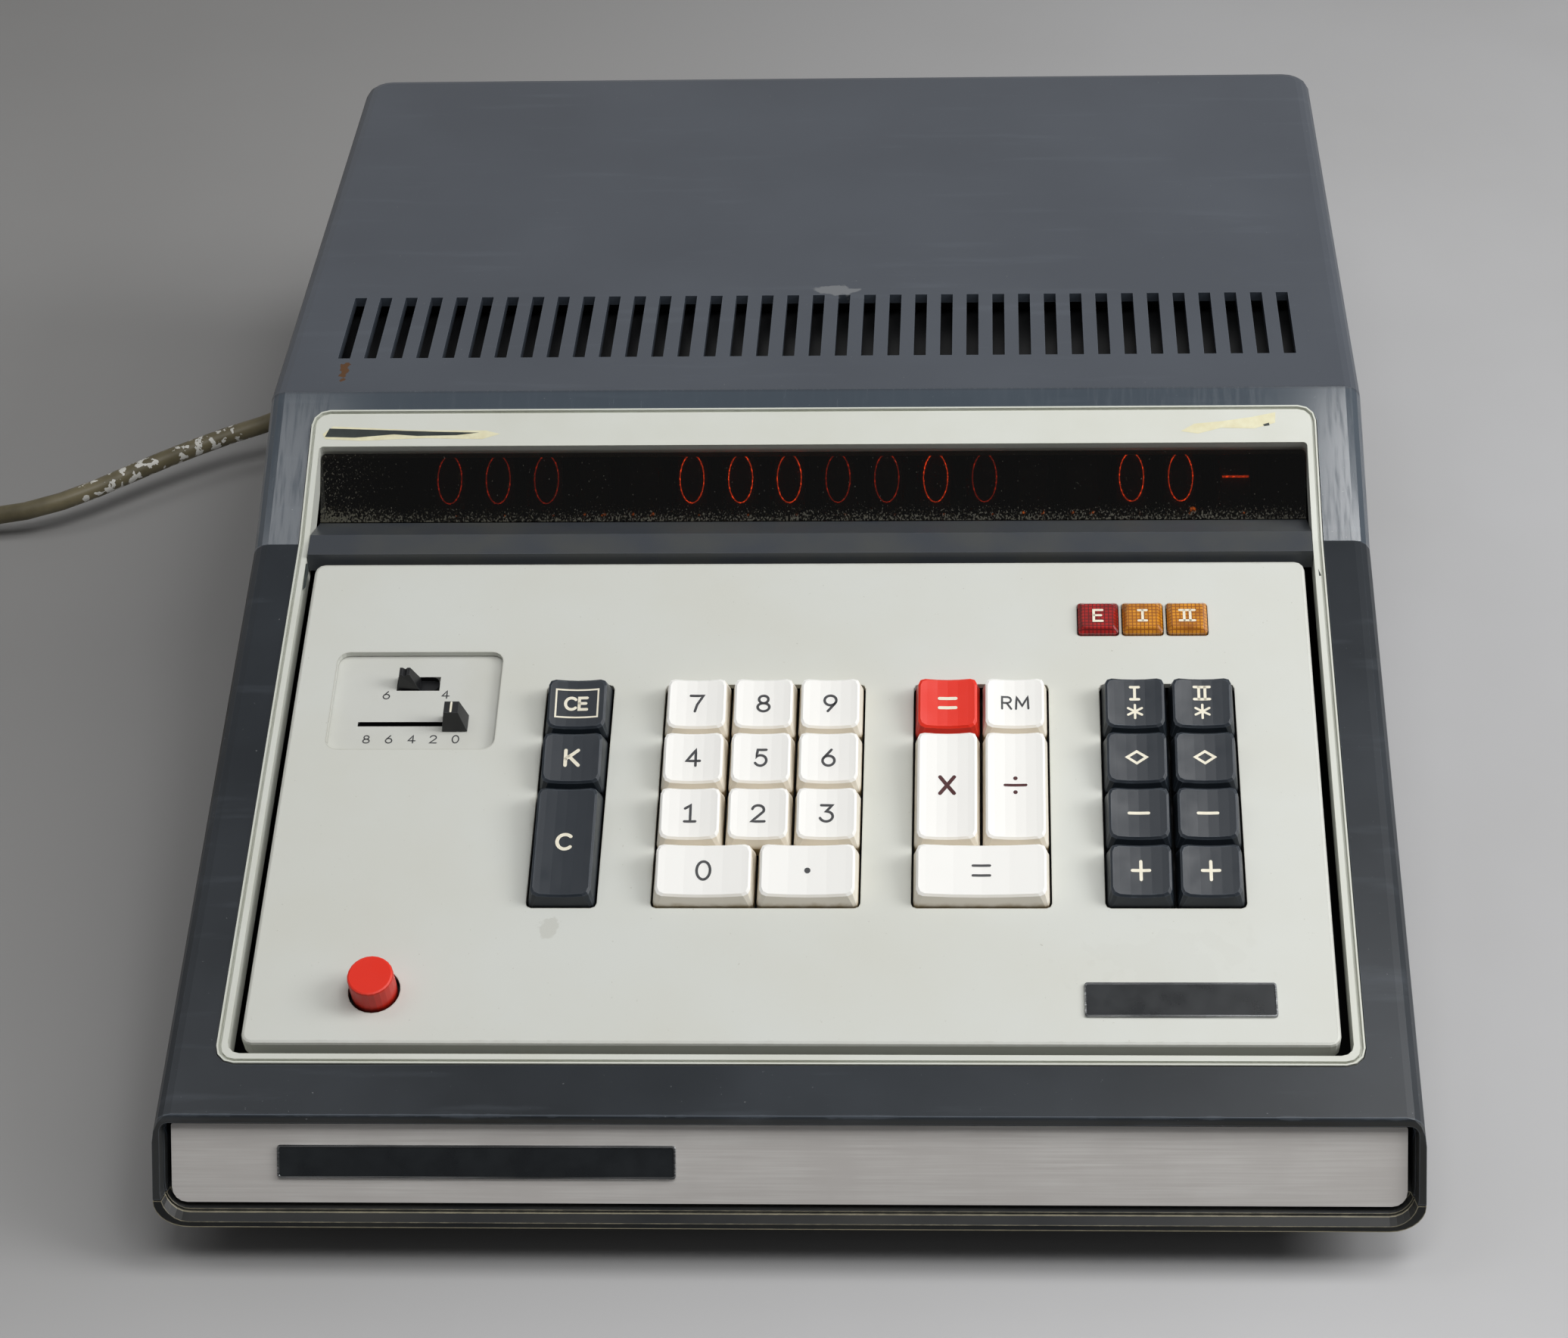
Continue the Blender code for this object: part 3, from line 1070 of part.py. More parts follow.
def make_keys():
    """All key caps, each at its place on the keyboard, sharing one mesh for each size."""
    meshes = {}
    for name, well, column, row, width, depth, finish_name in KEYS:
        size = (width, depth)
        if size not in meshes:
            meshes[size] = make_cap_mesh(width * KEY_PITCH, depth * KEY_PITCH)
        x, s = key_centre(well, column, row, width, depth)
        instance(name, meshes[size], finish_name, KEYBOARD @ Matrix.Translation((x, s, PANEL_LIFT)))


def make_key_frame():
    """Steel plate under the panel, with a hole for each key's stem."""
    top = PANEL_LIFT - KEY_FRAME_DROP
    bottom = top - KEY_FRAME_THICKNESS
    side = CHASSIS_X - CHASSIS_THICKNESS / 2 - GAP
    _, _, front, rear = well_box("digit")
    mesh = bmesh.new()
    box(mesh, (-side, front - KEY_FRAME_MARGIN, bottom), (side, rear + KEY_FRAME_MARGIN, top))
    plate = solid("key_frame", mesh, "zinc_steel", KEYBOARD)
    holes = bmesh.new()
    half = STEM_SIDE / 2 + RUNNING_GAP
    for _, well, column, row, width, depth, _ in KEYS:
        x, s = key_centre(well, column, row, width, depth)
        box(holes, (x - half, s - half, bottom - OVERRUN), (x + half, s + half, top + OVERRUN))
    knob_room = SHORT_SLOT_CENTRE + SHORT_SLOT_WIDTH
    box(holes, (SWITCH_WELL_LEFT, SWITCH_WELL_FRONT, bottom - OVERRUN),
        (SWITCH_WELL_RIGHT, knob_room + OVERRUN, top + OVERRUN))
    return combine(plate, [solid("cut_stems", holes, "zinc_steel", KEYBOARD)], "DIFFERENCE")


def make_key_switches():
    """Circuit board under the keys, with a switch module and its bore for each stem."""
    top = PANEL_LIFT - KEY_FRAME_DROP - KEY_FRAME_THICKNESS - GAP
    floor = top - SWITCH_HEIGHT
    outer = SWITCH_SIDE / 2
    bore = STEM_SIDE / 2 + RUNNING_GAP
    left = well_box("entry")[0]
    right = well_box("memory")[1]
    _, _, front, rear = well_box("digit")
    mesh = bmesh.new()
    box(mesh, (left, front, floor - BOARD_THICKNESS), (right, rear, floor))
    board = solid("key_switch_board", mesh, "circuit_board", KEYBOARD)
    modules = bmesh.new()
    bores = bmesh.new()
    for _, well, column, row, width, depth, _ in KEYS:
        x, s = key_centre(well, column, row, width, depth)
        box(modules, (x - outer, s - outer, floor - BOARD_THICKNESS / 2), (x + outer, s + outer, top))
        box(bores, (x - bore, s - bore, floor + SWITCH_FLOOR), (x + bore, s + bore, top + OVERRUN))
    combine(board, [solid("add_modules", modules, "circuit_board", KEYBOARD)], "UNION")
    return combine(board, [solid("cut_bores", bores, "circuit_board", KEYBOARD)], "DIFFERENCE")


def make_lens(name, x, finish_name):
    """Make one lamp lens: bevelled on top, hollow and open below."""
    half_x = LAMP_WIDTH / 2
    half_y = LAMP_LENGTH / 2
    bottom = panel_back() - LAMP_SKIRT
    roof = LAMP_HEIGHT - LAMP_BEVEL - LAMP_SHELL
    rings = []
    for inset, z in ((LAMP_SHELL, roof), (LAMP_SHELL, bottom), (0.0, bottom),
                     (0.0, LAMP_HEIGHT - LAMP_BEVEL), (LAMP_BEVEL, LAMP_HEIGHT)):
        outline = rounded_outline(x - half_x + inset, x + half_x - inset, LAMP_CENTRE_S - half_y + inset,
                                  LAMP_CENTRE_S + half_y - inset, LAMP_RADIUS, LAMP_RADIUS, CORNER_STEPS)
        rings.append([(px, py, z) for px, py in outline])
    mesh = bmesh.new()
    loft(mesh, rings)
    return solid(name, mesh, finish_name, KEYBOARD)


def make_lamps():
    """Red and amber lenses, and the holder under them with its bulbs."""
    xs = [LAMP_FIRST_X + index * LAMP_PITCH for index in range(len(LAMPS))]
    for x, (name, finish_name) in zip(xs, LAMPS):
        make_lens(name, x, finish_name)

    top = panel_back() - GAP
    wall = HOLDER_WALL
    floor = top - HOLDER_HEIGHT + wall
    half_x = LAMP_WIDTH / 2 + GAP
    half_y = LAMP_LENGTH / 2 + GAP
    mesh = bmesh.new()
    box(mesh, (xs[0] - half_x - wall, LAMP_CENTRE_S - half_y - wall, top - HOLDER_HEIGHT),
        (xs[-1] + half_x + wall, LAMP_CENTRE_S + half_y + wall, top))
    holder = solid("lamp_holder", mesh, "black_plastic", KEYBOARD)
    seat = bmesh.new()
    box(seat, (xs[0] - half_x, LAMP_CENTRE_S - half_y, top - LAMP_SKIRT),
        (xs[-1] + half_x, LAMP_CENTRE_S + half_y, top + OVERRUN))
    pockets = bmesh.new()
    bulbs = bmesh.new()
    neck = floor + BULB_HEIGHT
    for x in xs:
        box(pockets, (x - half_x + wall, LAMP_CENTRE_S - half_y + wall, floor),
            (x + half_x - wall, LAMP_CENTRE_S + half_y - wall, top))
        turned(bulbs, ((BULB_RADIUS, floor - wall / 2), (BULB_RADIUS, neck),
                       (BULB_RADIUS * BULB_SHOULDER_SHARE, neck + BULB_RADIUS * BULB_SHOULDER_SHARE),
                       (BULB_RADIUS * BULB_TIP_SHARE, neck + BULB_RADIUS)),
               TUBE_SIDES, (x, LAMP_CENTRE_S))
    cuts = [solid("cut_seat", seat, "black_plastic", KEYBOARD),
            solid("cut_pockets", pockets, "black_plastic", KEYBOARD)]
    combine(holder, cuts, "DIFFERENCE")
    return combine(holder, [solid("add_bulbs", bulbs, "tube_glass", KEYBOARD)], "UNION")


def window_points():
    """Return the window's upper and lower front edges in the Y-Z plane, as vectors."""
    top = FACET @ Vector((0, WINDOW_TOP_S, -WINDOW_TOP_SINK))
    foot = FACET @ Vector((0, WINDOW_FOOT_S, -WINDOW_FOOT_SINK))
    return top, foot


def window_frame():
    """Return a matrix on the window's lower edge: local Y up the glass, local Z out of it."""
    top, foot = window_points()
    slope = math.atan2(top.z - foot.z, top.y - foot.y)
    return Matrix.Translation(foot) @ Matrix.Rotation(slope, 4, "X"), (top - foot).length


def make_window():
    """Smoked window, steeper than the facet round it."""
    place, height = window_frame()
    mesh = bmesh.new()
    outline = rounded_outline(-WINDOW_HALF_WIDTH, WINDOW_HALF_WIDTH, 0, height, 0, FRAME_WINDOW_RADIUS,
                              CORNER_STEPS)
    prism_z(mesh, outline, -WINDOW_THICKNESS, 0)
    return solid("display_window", mesh, "smoked_window", place)


def make_sill():
    """Two-faced sill between the window and the keyboard panel, with an undercut nose."""
    place, _ = window_frame()
    nose_s = KEYBOARD_LENGTH - SILL_NOSE_BACK
    lip = place @ Vector((0, -GAP, 0))
    behind = place @ Vector((0, -GAP, -SILL_THICKNESS))
    below = place @ Vector((0, -SILL_THICKNESS * 2, -SILL_THICKNESS))
    drop = FACET @ Vector((0, SILL_RIDGE_S, -SILL_THICKNESS * 4))
    under = KEYBOARD @ Vector((0, nose_s - SILL_NOSE_LIFT, -SILL_THICKNESS * 2))
    nose = KEYBOARD @ Vector((0, nose_s, SILL_NOSE_LIFT))
    ridge = FACET @ Vector((0, SILL_RIDGE_S, SILL_RIDGE_LIFT))
    outline = [(point.y, point.z) for point in (lip, behind, below, drop, under, nose, ridge)]
    mesh = bmesh.new()
    prism_x(mesh, outline, -WINDOW_HALF_WIDTH, WINDOW_HALF_WIDTH)
    return solid("display_sill", mesh, "charcoal_plastic")


def tube_row():
    """Return the matrix of the tube row: local Z up the tubes, local Y away from the window."""
    place, _ = window_frame()
    return place @ Matrix.Translation((0, -TUBE_FOOT, -TUBE_SETBACK)) @ Matrix.Rotation(-math.pi / 2, 4, "X")


def make_tubes():
    """Numeric tubes behind the window, in a row parallel with it, on their circuit board."""
    row = tube_row()
    half = CHASSIS_X - CHASSIS_THICKNESS / 2 - GAP
    board = bmesh.new()
    box(board, (-half, -TUBE_RADIUS - DISPLAY_BOARD_BORDER, -BOARD_THICKNESS),
        (half, TUBE_RADIUS + DISPLAY_BOARD_REACH, 0))
    tubes = solid("display_tubes", board, "tube_glass", row)

    xs = [TUBE_FIRST_X + index * TUBE_PITCH for index in range(TUBE_COUNT)] + [SIGN_TUBE_X]
    radius = TUBE_RADIUS
    _, glass_height = window_frame()
    top = TUBE_FOOT + glass_height + TUBE_RISE
    mesh = bmesh.new()
    for x in xs:
        turned(mesh, ((radius, -BOARD_THICKNESS / 2), (radius, top - TUBE_DOME),
                      (radius * TUBE_SHOULDER_SHARE, top - TUBE_DOME * TUBE_DOME_SHARE),
                      (radius * TUBE_TIP_SHARE, top)), TUBE_SIDES, (x, 0))
    return combine(tubes, [solid("add_tubes", mesh, "tube_glass", row)], "UNION")


def make_chassis():
    """Two steel side plates that carry the keyboard and the display between them."""
    foot = FLOOR_Z + GAP
    top = panel_back() - GAP
    inset = PANEL_SKIRT_WALL * 2
    front = KEYBOARD @ Vector((0, PANEL_FRONT + inset, top))
    rear = KEYBOARD @ Vector((0, PANEL_REAR - inset, top))
    notch = KEYBOARD @ Vector((0, PANEL_REAR - inset, -PANEL_SKIRT - CHASSIS_THICKNESS))
    row = tube_row()
    near = row @ Vector((0, -TUBE_RADIUS, DISPLAY_BOARD_BORDER))
    far = row @ Vector((0, TUBE_RADIUS + DISPLAY_BOARD_REACH, DISPLAY_BOARD_BORDER))
    points = [(front.y, foot), (far.y, foot)]
    points += [(point.y, point.z) for point in (far, near, notch, rear, front)]
    half = CHASSIS_THICKNESS / 2
    for name, sign in (("chassis_left", -1), ("chassis_right", 1)):
        mesh = bmesh.new()
        prism_x(mesh, points, sign * CHASSIS_X - half, sign * CHASSIS_X + half)
        solid(name, mesh, "zinc_steel")


def make_vent_screen():
    """Dust screen under the vent slots: a shallow frame with fine gauze across its foot."""
    top = DECK_Z - COVER_WALL - GAP
    bottom = top - VENT_SCREEN_DEPTH
    half_x = VENT_SCREEN_MARGIN - VENT_FIRST_X
    front = UPPER_BEND_Y + VENT_SETBACK - VENT_SCREEN_MARGIN
    rear = front + VENT_LENGTH + VENT_SCREEN_MARGIN * 2
    mesh = bmesh.new()
    box(mesh, (-half_x, front, bottom), (half_x, rear, top))
    screen = solid("vent_screen", mesh, "black_plastic")
    inside = bmesh.new()
    rim = VENT_SCREEN_RIM
    box(inside, (-half_x + rim, front + rim, bottom + VENT_GAUZE), (half_x - rim, rear - rim, top + OVERRUN))
    return combine(screen, [solid("cut_inside", inside, "black_plastic")], "DIFFERENCE")


def make_cards():
    """Logic boards on edge, held by a notched rail in front and one behind."""
    rail_z = FLOOR_Z + GAP
    rear = REAR_Y - COVER_WALL - CARD_REAR_MARGIN
    front = rear - CARD_LENGTH
    half = BOARD_THICKNESS / 2
    foot = rail_z + STANDOFF_HEIGHT
    first = CARD_LEFT + CARD_PITCH / 2
    rails = bmesh.new()
    for y in (front, rear - RAIL_THICKNESS):
        box(rails, (CARD_LEFT, y, rail_z),
            (CARD_LEFT + CARD_PITCH * CARD_COUNT, y + RAIL_THICKNESS, foot + RAIL_HEIGHT))
    cage = solid("logic_cards", rails, "circuit_board")
    cards = bmesh.new()
    for index in range(CARD_COUNT):
        x = first + index * CARD_PITCH
        box(cards, (x - half, front + RAIL_THICKNESS / 2, foot),
            (x + half, rear - RAIL_THICKNESS / 2, foot + CARD_HEIGHT))
    return combine(cage, [solid("add_cards", cards, "circuit_board")], "UNION")


def make_supply():
    """Power transformer, and the supply board with its capacitors."""
    rear = REAR_Y - COVER_WALL - CARD_REAR_MARGIN
    floor = FLOOR_Z + GAP
    stack = TRANSFORMER_STACK / 2
    centre_x = SUPPLY_X + TRANSFORMER_WIDTH / 2
    centre_y = rear - TRANSFORMER_LENGTH / 2
    mesh = bmesh.new()
    box(mesh, (centre_x - TRANSFORMER_WIDTH / 2, centre_y - stack, floor),
        (centre_x + TRANSFORMER_WIDTH / 2, centre_y + stack, floor + TRANSFORMER_HEIGHT))
    core = solid("power_transformer", mesh, "copper_winding")
    winding = bmesh.new()
    across = TRANSFORMER_WIDTH / 2 - TRANSFORMER_LIMB
    outline = rounded_outline(centre_x - across, centre_x + across,
                              centre_y - TRANSFORMER_LENGTH / 2, centre_y + TRANSFORMER_LENGTH / 2,
                              TRANSFORMER_LIMB / 2, TRANSFORMER_LIMB / 2, CORNER_STEPS)
    prism_z(winding, outline, floor + TRANSFORMER_LIMB, floor + TRANSFORMER_HEIGHT - TRANSFORMER_LIMB)
    combine(core, [solid("add_winding", winding, "copper_winding")], "UNION")

    front = rear - TRANSFORMER_LENGTH - SUPPLY_SPACE - SUPPLY_BOARD_LENGTH
    board_z = floor + STANDOFF_HEIGHT
    board = bmesh.new()
    box(board, (SUPPLY_X, front, board_z),
        (SUPPLY_X + SUPPLY_BOARD_WIDTH, front + SUPPLY_BOARD_LENGTH, board_z + BOARD_THICKNESS))
    supply = solid("power_supply", board, "circuit_board")
    parts = bmesh.new()
    inset = CAPACITOR_RADIUS + STANDOFF_RADIUS * 2
    for column in range(CAPACITOR_COUNT):
        x = SUPPLY_X + inset + column * (CAPACITOR_RADIUS * 2 + STANDOFF_RADIUS)
        turned(parts, ((CAPACITOR_RADIUS, board_z + BOARD_THICKNESS / 2),
                       (CAPACITOR_RADIUS, board_z + BOARD_THICKNESS + CAPACITOR_HEIGHT)),
               CAPACITOR_SIDES, (x, front + inset))
    post = STANDOFF_RADIUS
    for x in (SUPPLY_X + post, SUPPLY_X + SUPPLY_BOARD_WIDTH - post):
        for y in (front + post, front + SUPPLY_BOARD_LENGTH - post):
            turned(parts, ((post / 2, floor), (post / 2, board_z + BOARD_THICKNESS / 2)),
                   STANDOFF_SIDES, (x, y))
    return combine(supply, [solid("add_parts", parts, "circuit_board")], "UNION")


def make_feet():
    """Rubber feet under the pan."""
    x = HALF_WIDTH - FOOT_INSET_X
    places = (
        ("foot_front_left", -x, FRONT_Y + FOOT_INSET_Y), ("foot_front_right", x, FRONT_Y + FOOT_INSET_Y),
        ("foot_rear_left", -x, REAR_Y - FOOT_INSET_Y), ("foot_rear_right", x, REAR_Y - FOOT_INSET_Y),
    )
    for name, px, py in places:
        mesh = bmesh.new()
        turned(mesh, ((FOOT_RADIUS - FOOT_TAPER, 0), (FOOT_RADIUS, FOOT_HEIGHT - GAP)), FOOT_SIDES)
        solid(name, mesh, "black_rubber", Matrix.Translation((px, py, 0)))


def relief_frame():
    """Return the matrix of the lead's exit: local Z runs out of the left wall and droops."""
    place = Matrix.Translation((-HALF_WIDTH, CORD_EXIT_Y, CORD_EXIT_Z))
    return place @ Matrix.Rotation(-math.pi / 2, 4, "Y")


def relief_path():
    """Return the centres and tilts along the relief's tail, from its flange to its tip."""
    start = GAP + RELIEF_FLANGE
    pieces = RELIEF_RIBS * 2 + 1
    step = (RELIEF_LENGTH - start) / pieces
    centre = Vector((0, 0, start))
    path = [(centre, 0.0)]
    for index in range(1, pieces + 1):
        tilt = -RELIEF_DROOP * min(1, index * 2 / pieces)
        centre = centre + Matrix.Rotation(tilt, 3, "Y") @ Vector((0, 0, step))
        path.append((centre, tilt))
    return path


def make_relief():
    """Rubber strain relief: inner flange, neck in the wall, outer flange and drooping ribbed tail."""
    inside = -COVER_WALL - GAP
    root = GAP + RELIEF_FLANGE
    inner_flange = RELIEF_FLANGE_RADIUS - RELIEF_FLANGE
    sections = [
        (inner_flange, Vector((0, 0, inside - RELIEF_FLANGE)), 0.0),
        (inner_flange, Vector((0, 0, inside)), 0.0),
        (RELIEF_NECK_RADIUS, Vector((0, 0, inside)), 0.0), (RELIEF_NECK_RADIUS, Vector((0, 0, GAP)), 0.0),
        (RELIEF_FLANGE_RADIUS, Vector((0, 0, GAP)), 0.0), (RELIEF_FLANGE_RADIUS, Vector((0, 0, root)), 0.0),
    ]
    path = relief_path()
    for index, (centre, tilt) in enumerate(path):
        share = index / (len(path) - 1)
        radius = RELIEF_NECK_RADIUS + (RELIEF_TIP_RADIUS - RELIEF_NECK_RADIUS) * share
        if index % 2:
            radius -= RELIEF_GROOVE
        sections.append((radius, centre, tilt))
    rings = []
    for radius, centre, tilt in sections:
        turn = Matrix.Rotation(tilt, 3, "Y")
        ring = []
        for index in range(RELIEF_SIDES):
            angle = math.tau * index / RELIEF_SIDES
            ring.append(centre + turn @ Vector((radius * math.cos(angle), radius * math.sin(angle), 0)))
        rings.append(ring)
    mesh = bmesh.new()
    loft(mesh, rings)
    return solid("strain_relief", mesh, "black_rubber", relief_frame())


def smooth_route(points, step):
    """Return evenly spaced points on a Catmull-Rom curve through the given ones."""
    points = [Vector(point) for point in points]
    padded = [points[0] * 2 - points[1]] + points + [points[-1] * 2 - points[-2]]
    fine = []
    for index in range(1, len(padded) - 2):
        a, b, c, d = padded[index - 1:index + 3]
        for part in range(CORD_SPAN_PARTS):
            t = part / CORD_SPAN_PARTS
            fine.append(0.5 * ((2 * b) + (c - a) * t + (2 * a - 5 * b + 4 * c - d) * t ** 2
                               + (3 * b - a - 3 * c + d) * t ** 3))
    fine.append(points[-1])
    lengths = [0.0]
    for before, after in zip(fine, fine[1:]):
        lengths.append(lengths[-1] + (after - before).length)
    count = max(2, round(lengths[-1] / step))
    route = []
    cursor = 0
    for index in range(count + 1):
        target = lengths[-1] * index / count
        while cursor < len(lengths) - 2 and lengths[cursor + 1] < target:
            cursor += 1
        span = lengths[cursor + 1] - lengths[cursor]
        share = (target - lengths[cursor]) / span if span else 0.0
        route.append(fine[cursor].lerp(fine[cursor + 1], share))
    return route, lengths[-1]


def tube_curve(name, points, bevel_resolution):
    """Make a round cord along the points."""
    data = bpy.data.curves.new(name, "CURVE")
    data.dimensions = "3D"
    data.bevel_depth = CORD_DIAMETER / 2
    data.bevel_resolution = bevel_resolution
    data.use_fill_caps = True
    spline = data.splines.new("POLY")
    spline.points.add(len(points[1:]))
    for point, place in zip(spline.points, points):
        point.co = (*place, 1.0)
    item = bpy.data.objects.new(name, data)
    data.materials.append(finish("olive_cord"))
    bpy.context.scene.collection.objects.link(item)
    return item


def coil_point(angle):
    """Return the coil's centre line at an angle counted from the middle of its climb."""
    climb = math.pi / 2
    spread = abs(angle)
    if spread < climb:
        radius = COIL_INNER + COIL_PITCH / math.tau * (angle ** 2 / math.pi + math.pi / 4)
        share = (angle + climb) / (climb * 2)
        layer = share * share * (3 - 2 * share)
    else:
        radius = COIL_INNER + COIL_PITCH / math.tau * spread
        layer = 0.0 if angle < 0 else 1.0
    turn = COIL_START_ANGLE + climb + COIL_TURNS_PER_LAYER * math.tau + angle
    return Vector((COIL_CENTRE_X + radius * math.cos(turn), COIL_CENTRE_Y + radius * math.sin(turn),
                   COIL_BED + COIL_LAYER * layer))


def coil_points():
    """Return the coil's points: in along the lower layer, up, and out along the upper one."""
    reach = math.pi / 2 + COIL_TURNS_PER_LAYER * math.tau
    count = round(reach * 2 / math.tau * COIL_POINTS_PER_TURN)
    winding = [coil_point(-reach + reach * 2 * index / count) for index in range(count + 1)]
    lead_in = winding[0] + (winding[0] - winding[1]).normalized() * CORD_DIAMETER
    lead_out = winding[-1] + (winding[-1] - winding[-2]).normalized() * CORD_DIAMETER
    return [lead_in] + winding + [lead_out]


def least_gap(points):
    """Return the least space between parts of a cord that lie more than half a turn apart."""
    skip = COIL_POINTS_PER_TURN // 2
    least = CASE_WIDTH
    for index, point in enumerate(points):
        for other in points[index + skip:]:
            least = min(least, (point - other).length)
    return least - CORD_DIAMETER


def cord_points(coil):
    """Return the free stretch's points, from the relief's tip to the coil's first point."""
    centre, tilt = relief_path()[-1]
    tip = relief_frame() @ centre
    outward = relief_frame().to_3x3() @ Matrix.Rotation(tilt, 3, "Y") @ Vector((0, 0, 1))
    inward = (coil[1] - coil[0]).normalized()
    first = tip + outward * GAP
    last = coil[0] - inward * GAP
    near = first + outward * CORD_DIAMETER * CORD_END_SHARE
    far = last - inward * CORD_DIAMETER * CORD_END_SHARE
    middle, length = smooth_route((near, *CORD_ROUTE, far), CORD_DIAMETER * CORD_STEP_SHARE)
    return [first, *middle, last], length + (near - first).length + (last - far).length


def make_cord():
    """Mains lead: free stretch, coil and plug."""
    coil = coil_points()
    route, length = cord_points(coil)
    tube_curve("cord_run", route, 2)
    tube_curve("cord_coil", coil, 1)
    coil_length = sum((after - before).length for before, after in zip(coil, coil[1:]))
    print("cord: free stretch %.1f mm, coil %.1f mm, least gap in the coil %.2f mm"
          % (length / MM, coil_length / MM, least_gap(coil) / MM))
    make_plug(coil)


def make_plug(points):
    """Moulded two-pin plug on the end of the coil, lying on the table."""
    tip = points[-1]
    along = (points[-1] - points[-2])
    along.z = 0
    along.normalize()
    across = Vector((0, 0, 1)).cross(along)
    place = Matrix((
        (across.x, 0, along.x, tip.x), (across.y, 0, along.y, tip.y), (0, 1, 0, tip.z), (0, 0, 0, 1),
    ))
    start = GAP
    shoulder = start + PLUG_NECK
    end = shoulder + PLUG_LENGTH
    sections = [
        (PLUG_NECK_RADIUS, PLUG_NECK_RADIUS, start), (PLUG_SHOULDER_RADIUS, PLUG_SHOULDER_RADIUS, shoulder),
    ]
    for wide, tall, along_share in PLUG_SECTION_SHARES:
        sections.append((PLUG_WIDTH * wide, PLUG_HEIGHT * tall, shoulder + PLUG_LENGTH * along_share))
    power = PLUG_CORNER_POWER
    rings = []
    for half_x, half_y, z in sections:
        ring = []
        for index in range(PLUG_SIDES):
            angle = math.tau * index / PLUG_SIDES
            c, s = math.cos(angle), math.sin(angle)
            x = half_x * math.copysign(abs(c) ** power, c)
            ring.append((x, half_y * math.copysign(abs(s) ** power, s), z))
        rings.append(ring)
    mesh = bmesh.new()
    loft(mesh, rings)
    plug = solid("mains_plug", mesh, "black_rubber", place)
    pins = bmesh.new()
    for x in (-PIN_SPACING / 2, PIN_SPACING / 2):
        turned(pins, ((PIN_RADIUS, end - OVERRUN), (PIN_RADIUS, end + PIN_LENGTH - PIN_RADIUS),
                      (PIN_RADIUS * PIN_TIP_SHARE, end + PIN_LENGTH)), PIN_SIDES, (x, 0))
    return combine(plug, [solid("add_pins", pins, "black_rubber", place)], "UNION")


def main():
    """Build the calculator from the outside in."""
    clear_scene()
    make_cover()
    make_pan()
    make_strip()
    make_frame()
    make_panel()
    make_switch_plate()
    make_long_knob()
    make_short_knob()
    make_push_switch()
    make_button()
    make_keys()
    make_key_frame()
    make_key_switches()
    make_lamps()
    make_window()
    make_sill()
    make_tubes()
    make_chassis()
    make_vent_screen()
    make_cards()
    make_supply()
    make_feet()
    make_relief()
    make_cord()


main()
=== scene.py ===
"""Looks of the desk calculator: finishes, legends, number tubes, mains lead, paper, lamps and camera.

Sizes in the classes are millimetres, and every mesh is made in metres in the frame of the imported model:
+Z up, +Y to the rear, with the origin on the table under the middle of the case.
"""

from __future__ import annotations

import json
import logging
import math
from dataclasses import dataclass, field
from enum import Enum
from functools import partial
from typing import Callable, Sequence

import bmesh
import bpy
from bmesh.types import BMesh
from bpy.types import ID, Material, Node, NodeSocket, NodeTree, Object
from mathutils import Matrix, Vector
from mathutils.bvhtree import BVHTree

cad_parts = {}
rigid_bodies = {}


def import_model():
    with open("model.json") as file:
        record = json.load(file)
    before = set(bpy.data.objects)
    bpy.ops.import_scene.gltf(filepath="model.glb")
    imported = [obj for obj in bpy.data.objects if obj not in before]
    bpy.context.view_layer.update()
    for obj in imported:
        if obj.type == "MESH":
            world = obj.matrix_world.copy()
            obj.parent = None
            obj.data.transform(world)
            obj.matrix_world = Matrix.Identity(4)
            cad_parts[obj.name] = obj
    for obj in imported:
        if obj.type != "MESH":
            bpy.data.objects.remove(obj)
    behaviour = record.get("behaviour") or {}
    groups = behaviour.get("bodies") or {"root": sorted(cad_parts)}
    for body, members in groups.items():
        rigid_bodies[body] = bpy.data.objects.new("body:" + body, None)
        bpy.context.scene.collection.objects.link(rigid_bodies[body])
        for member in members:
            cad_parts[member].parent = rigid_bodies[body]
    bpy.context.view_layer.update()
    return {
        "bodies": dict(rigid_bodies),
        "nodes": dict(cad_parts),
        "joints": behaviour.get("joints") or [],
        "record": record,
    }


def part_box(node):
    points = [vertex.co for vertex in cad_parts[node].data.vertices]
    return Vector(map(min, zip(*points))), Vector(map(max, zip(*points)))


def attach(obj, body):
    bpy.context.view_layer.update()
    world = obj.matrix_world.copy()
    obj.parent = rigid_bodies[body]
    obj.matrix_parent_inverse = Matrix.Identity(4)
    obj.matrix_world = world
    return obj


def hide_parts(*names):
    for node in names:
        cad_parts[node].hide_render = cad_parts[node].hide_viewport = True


LOG = logging.getLogger("calculator")
MM = 0.001
Line = Sequence[tuple[float, float]]
Triple = tuple[float, float, float]
Adder = Callable[..., NodeSocket]
Drop = Callable[[float, float], Vector]


# Colour and node helpers


def linear(code: str) -> tuple[float, float, float, float]:
    """Turn an sRGB hex colour into linear values.

    Args:
        code: The colour as "#rrggbb".

    Returns:
        Red, green, blue and an alpha of one, as a shader socket takes them.
    """
    values = [int(code[index:index + 2], 16) / 255 for index in (1, 3, 5)]
    red, green, blue = [v / 12.92 if v <= 0.04045 else ((v + 0.055) / 1.055) ** 2.4 for v in values]
    return red, green, blue, 1.0


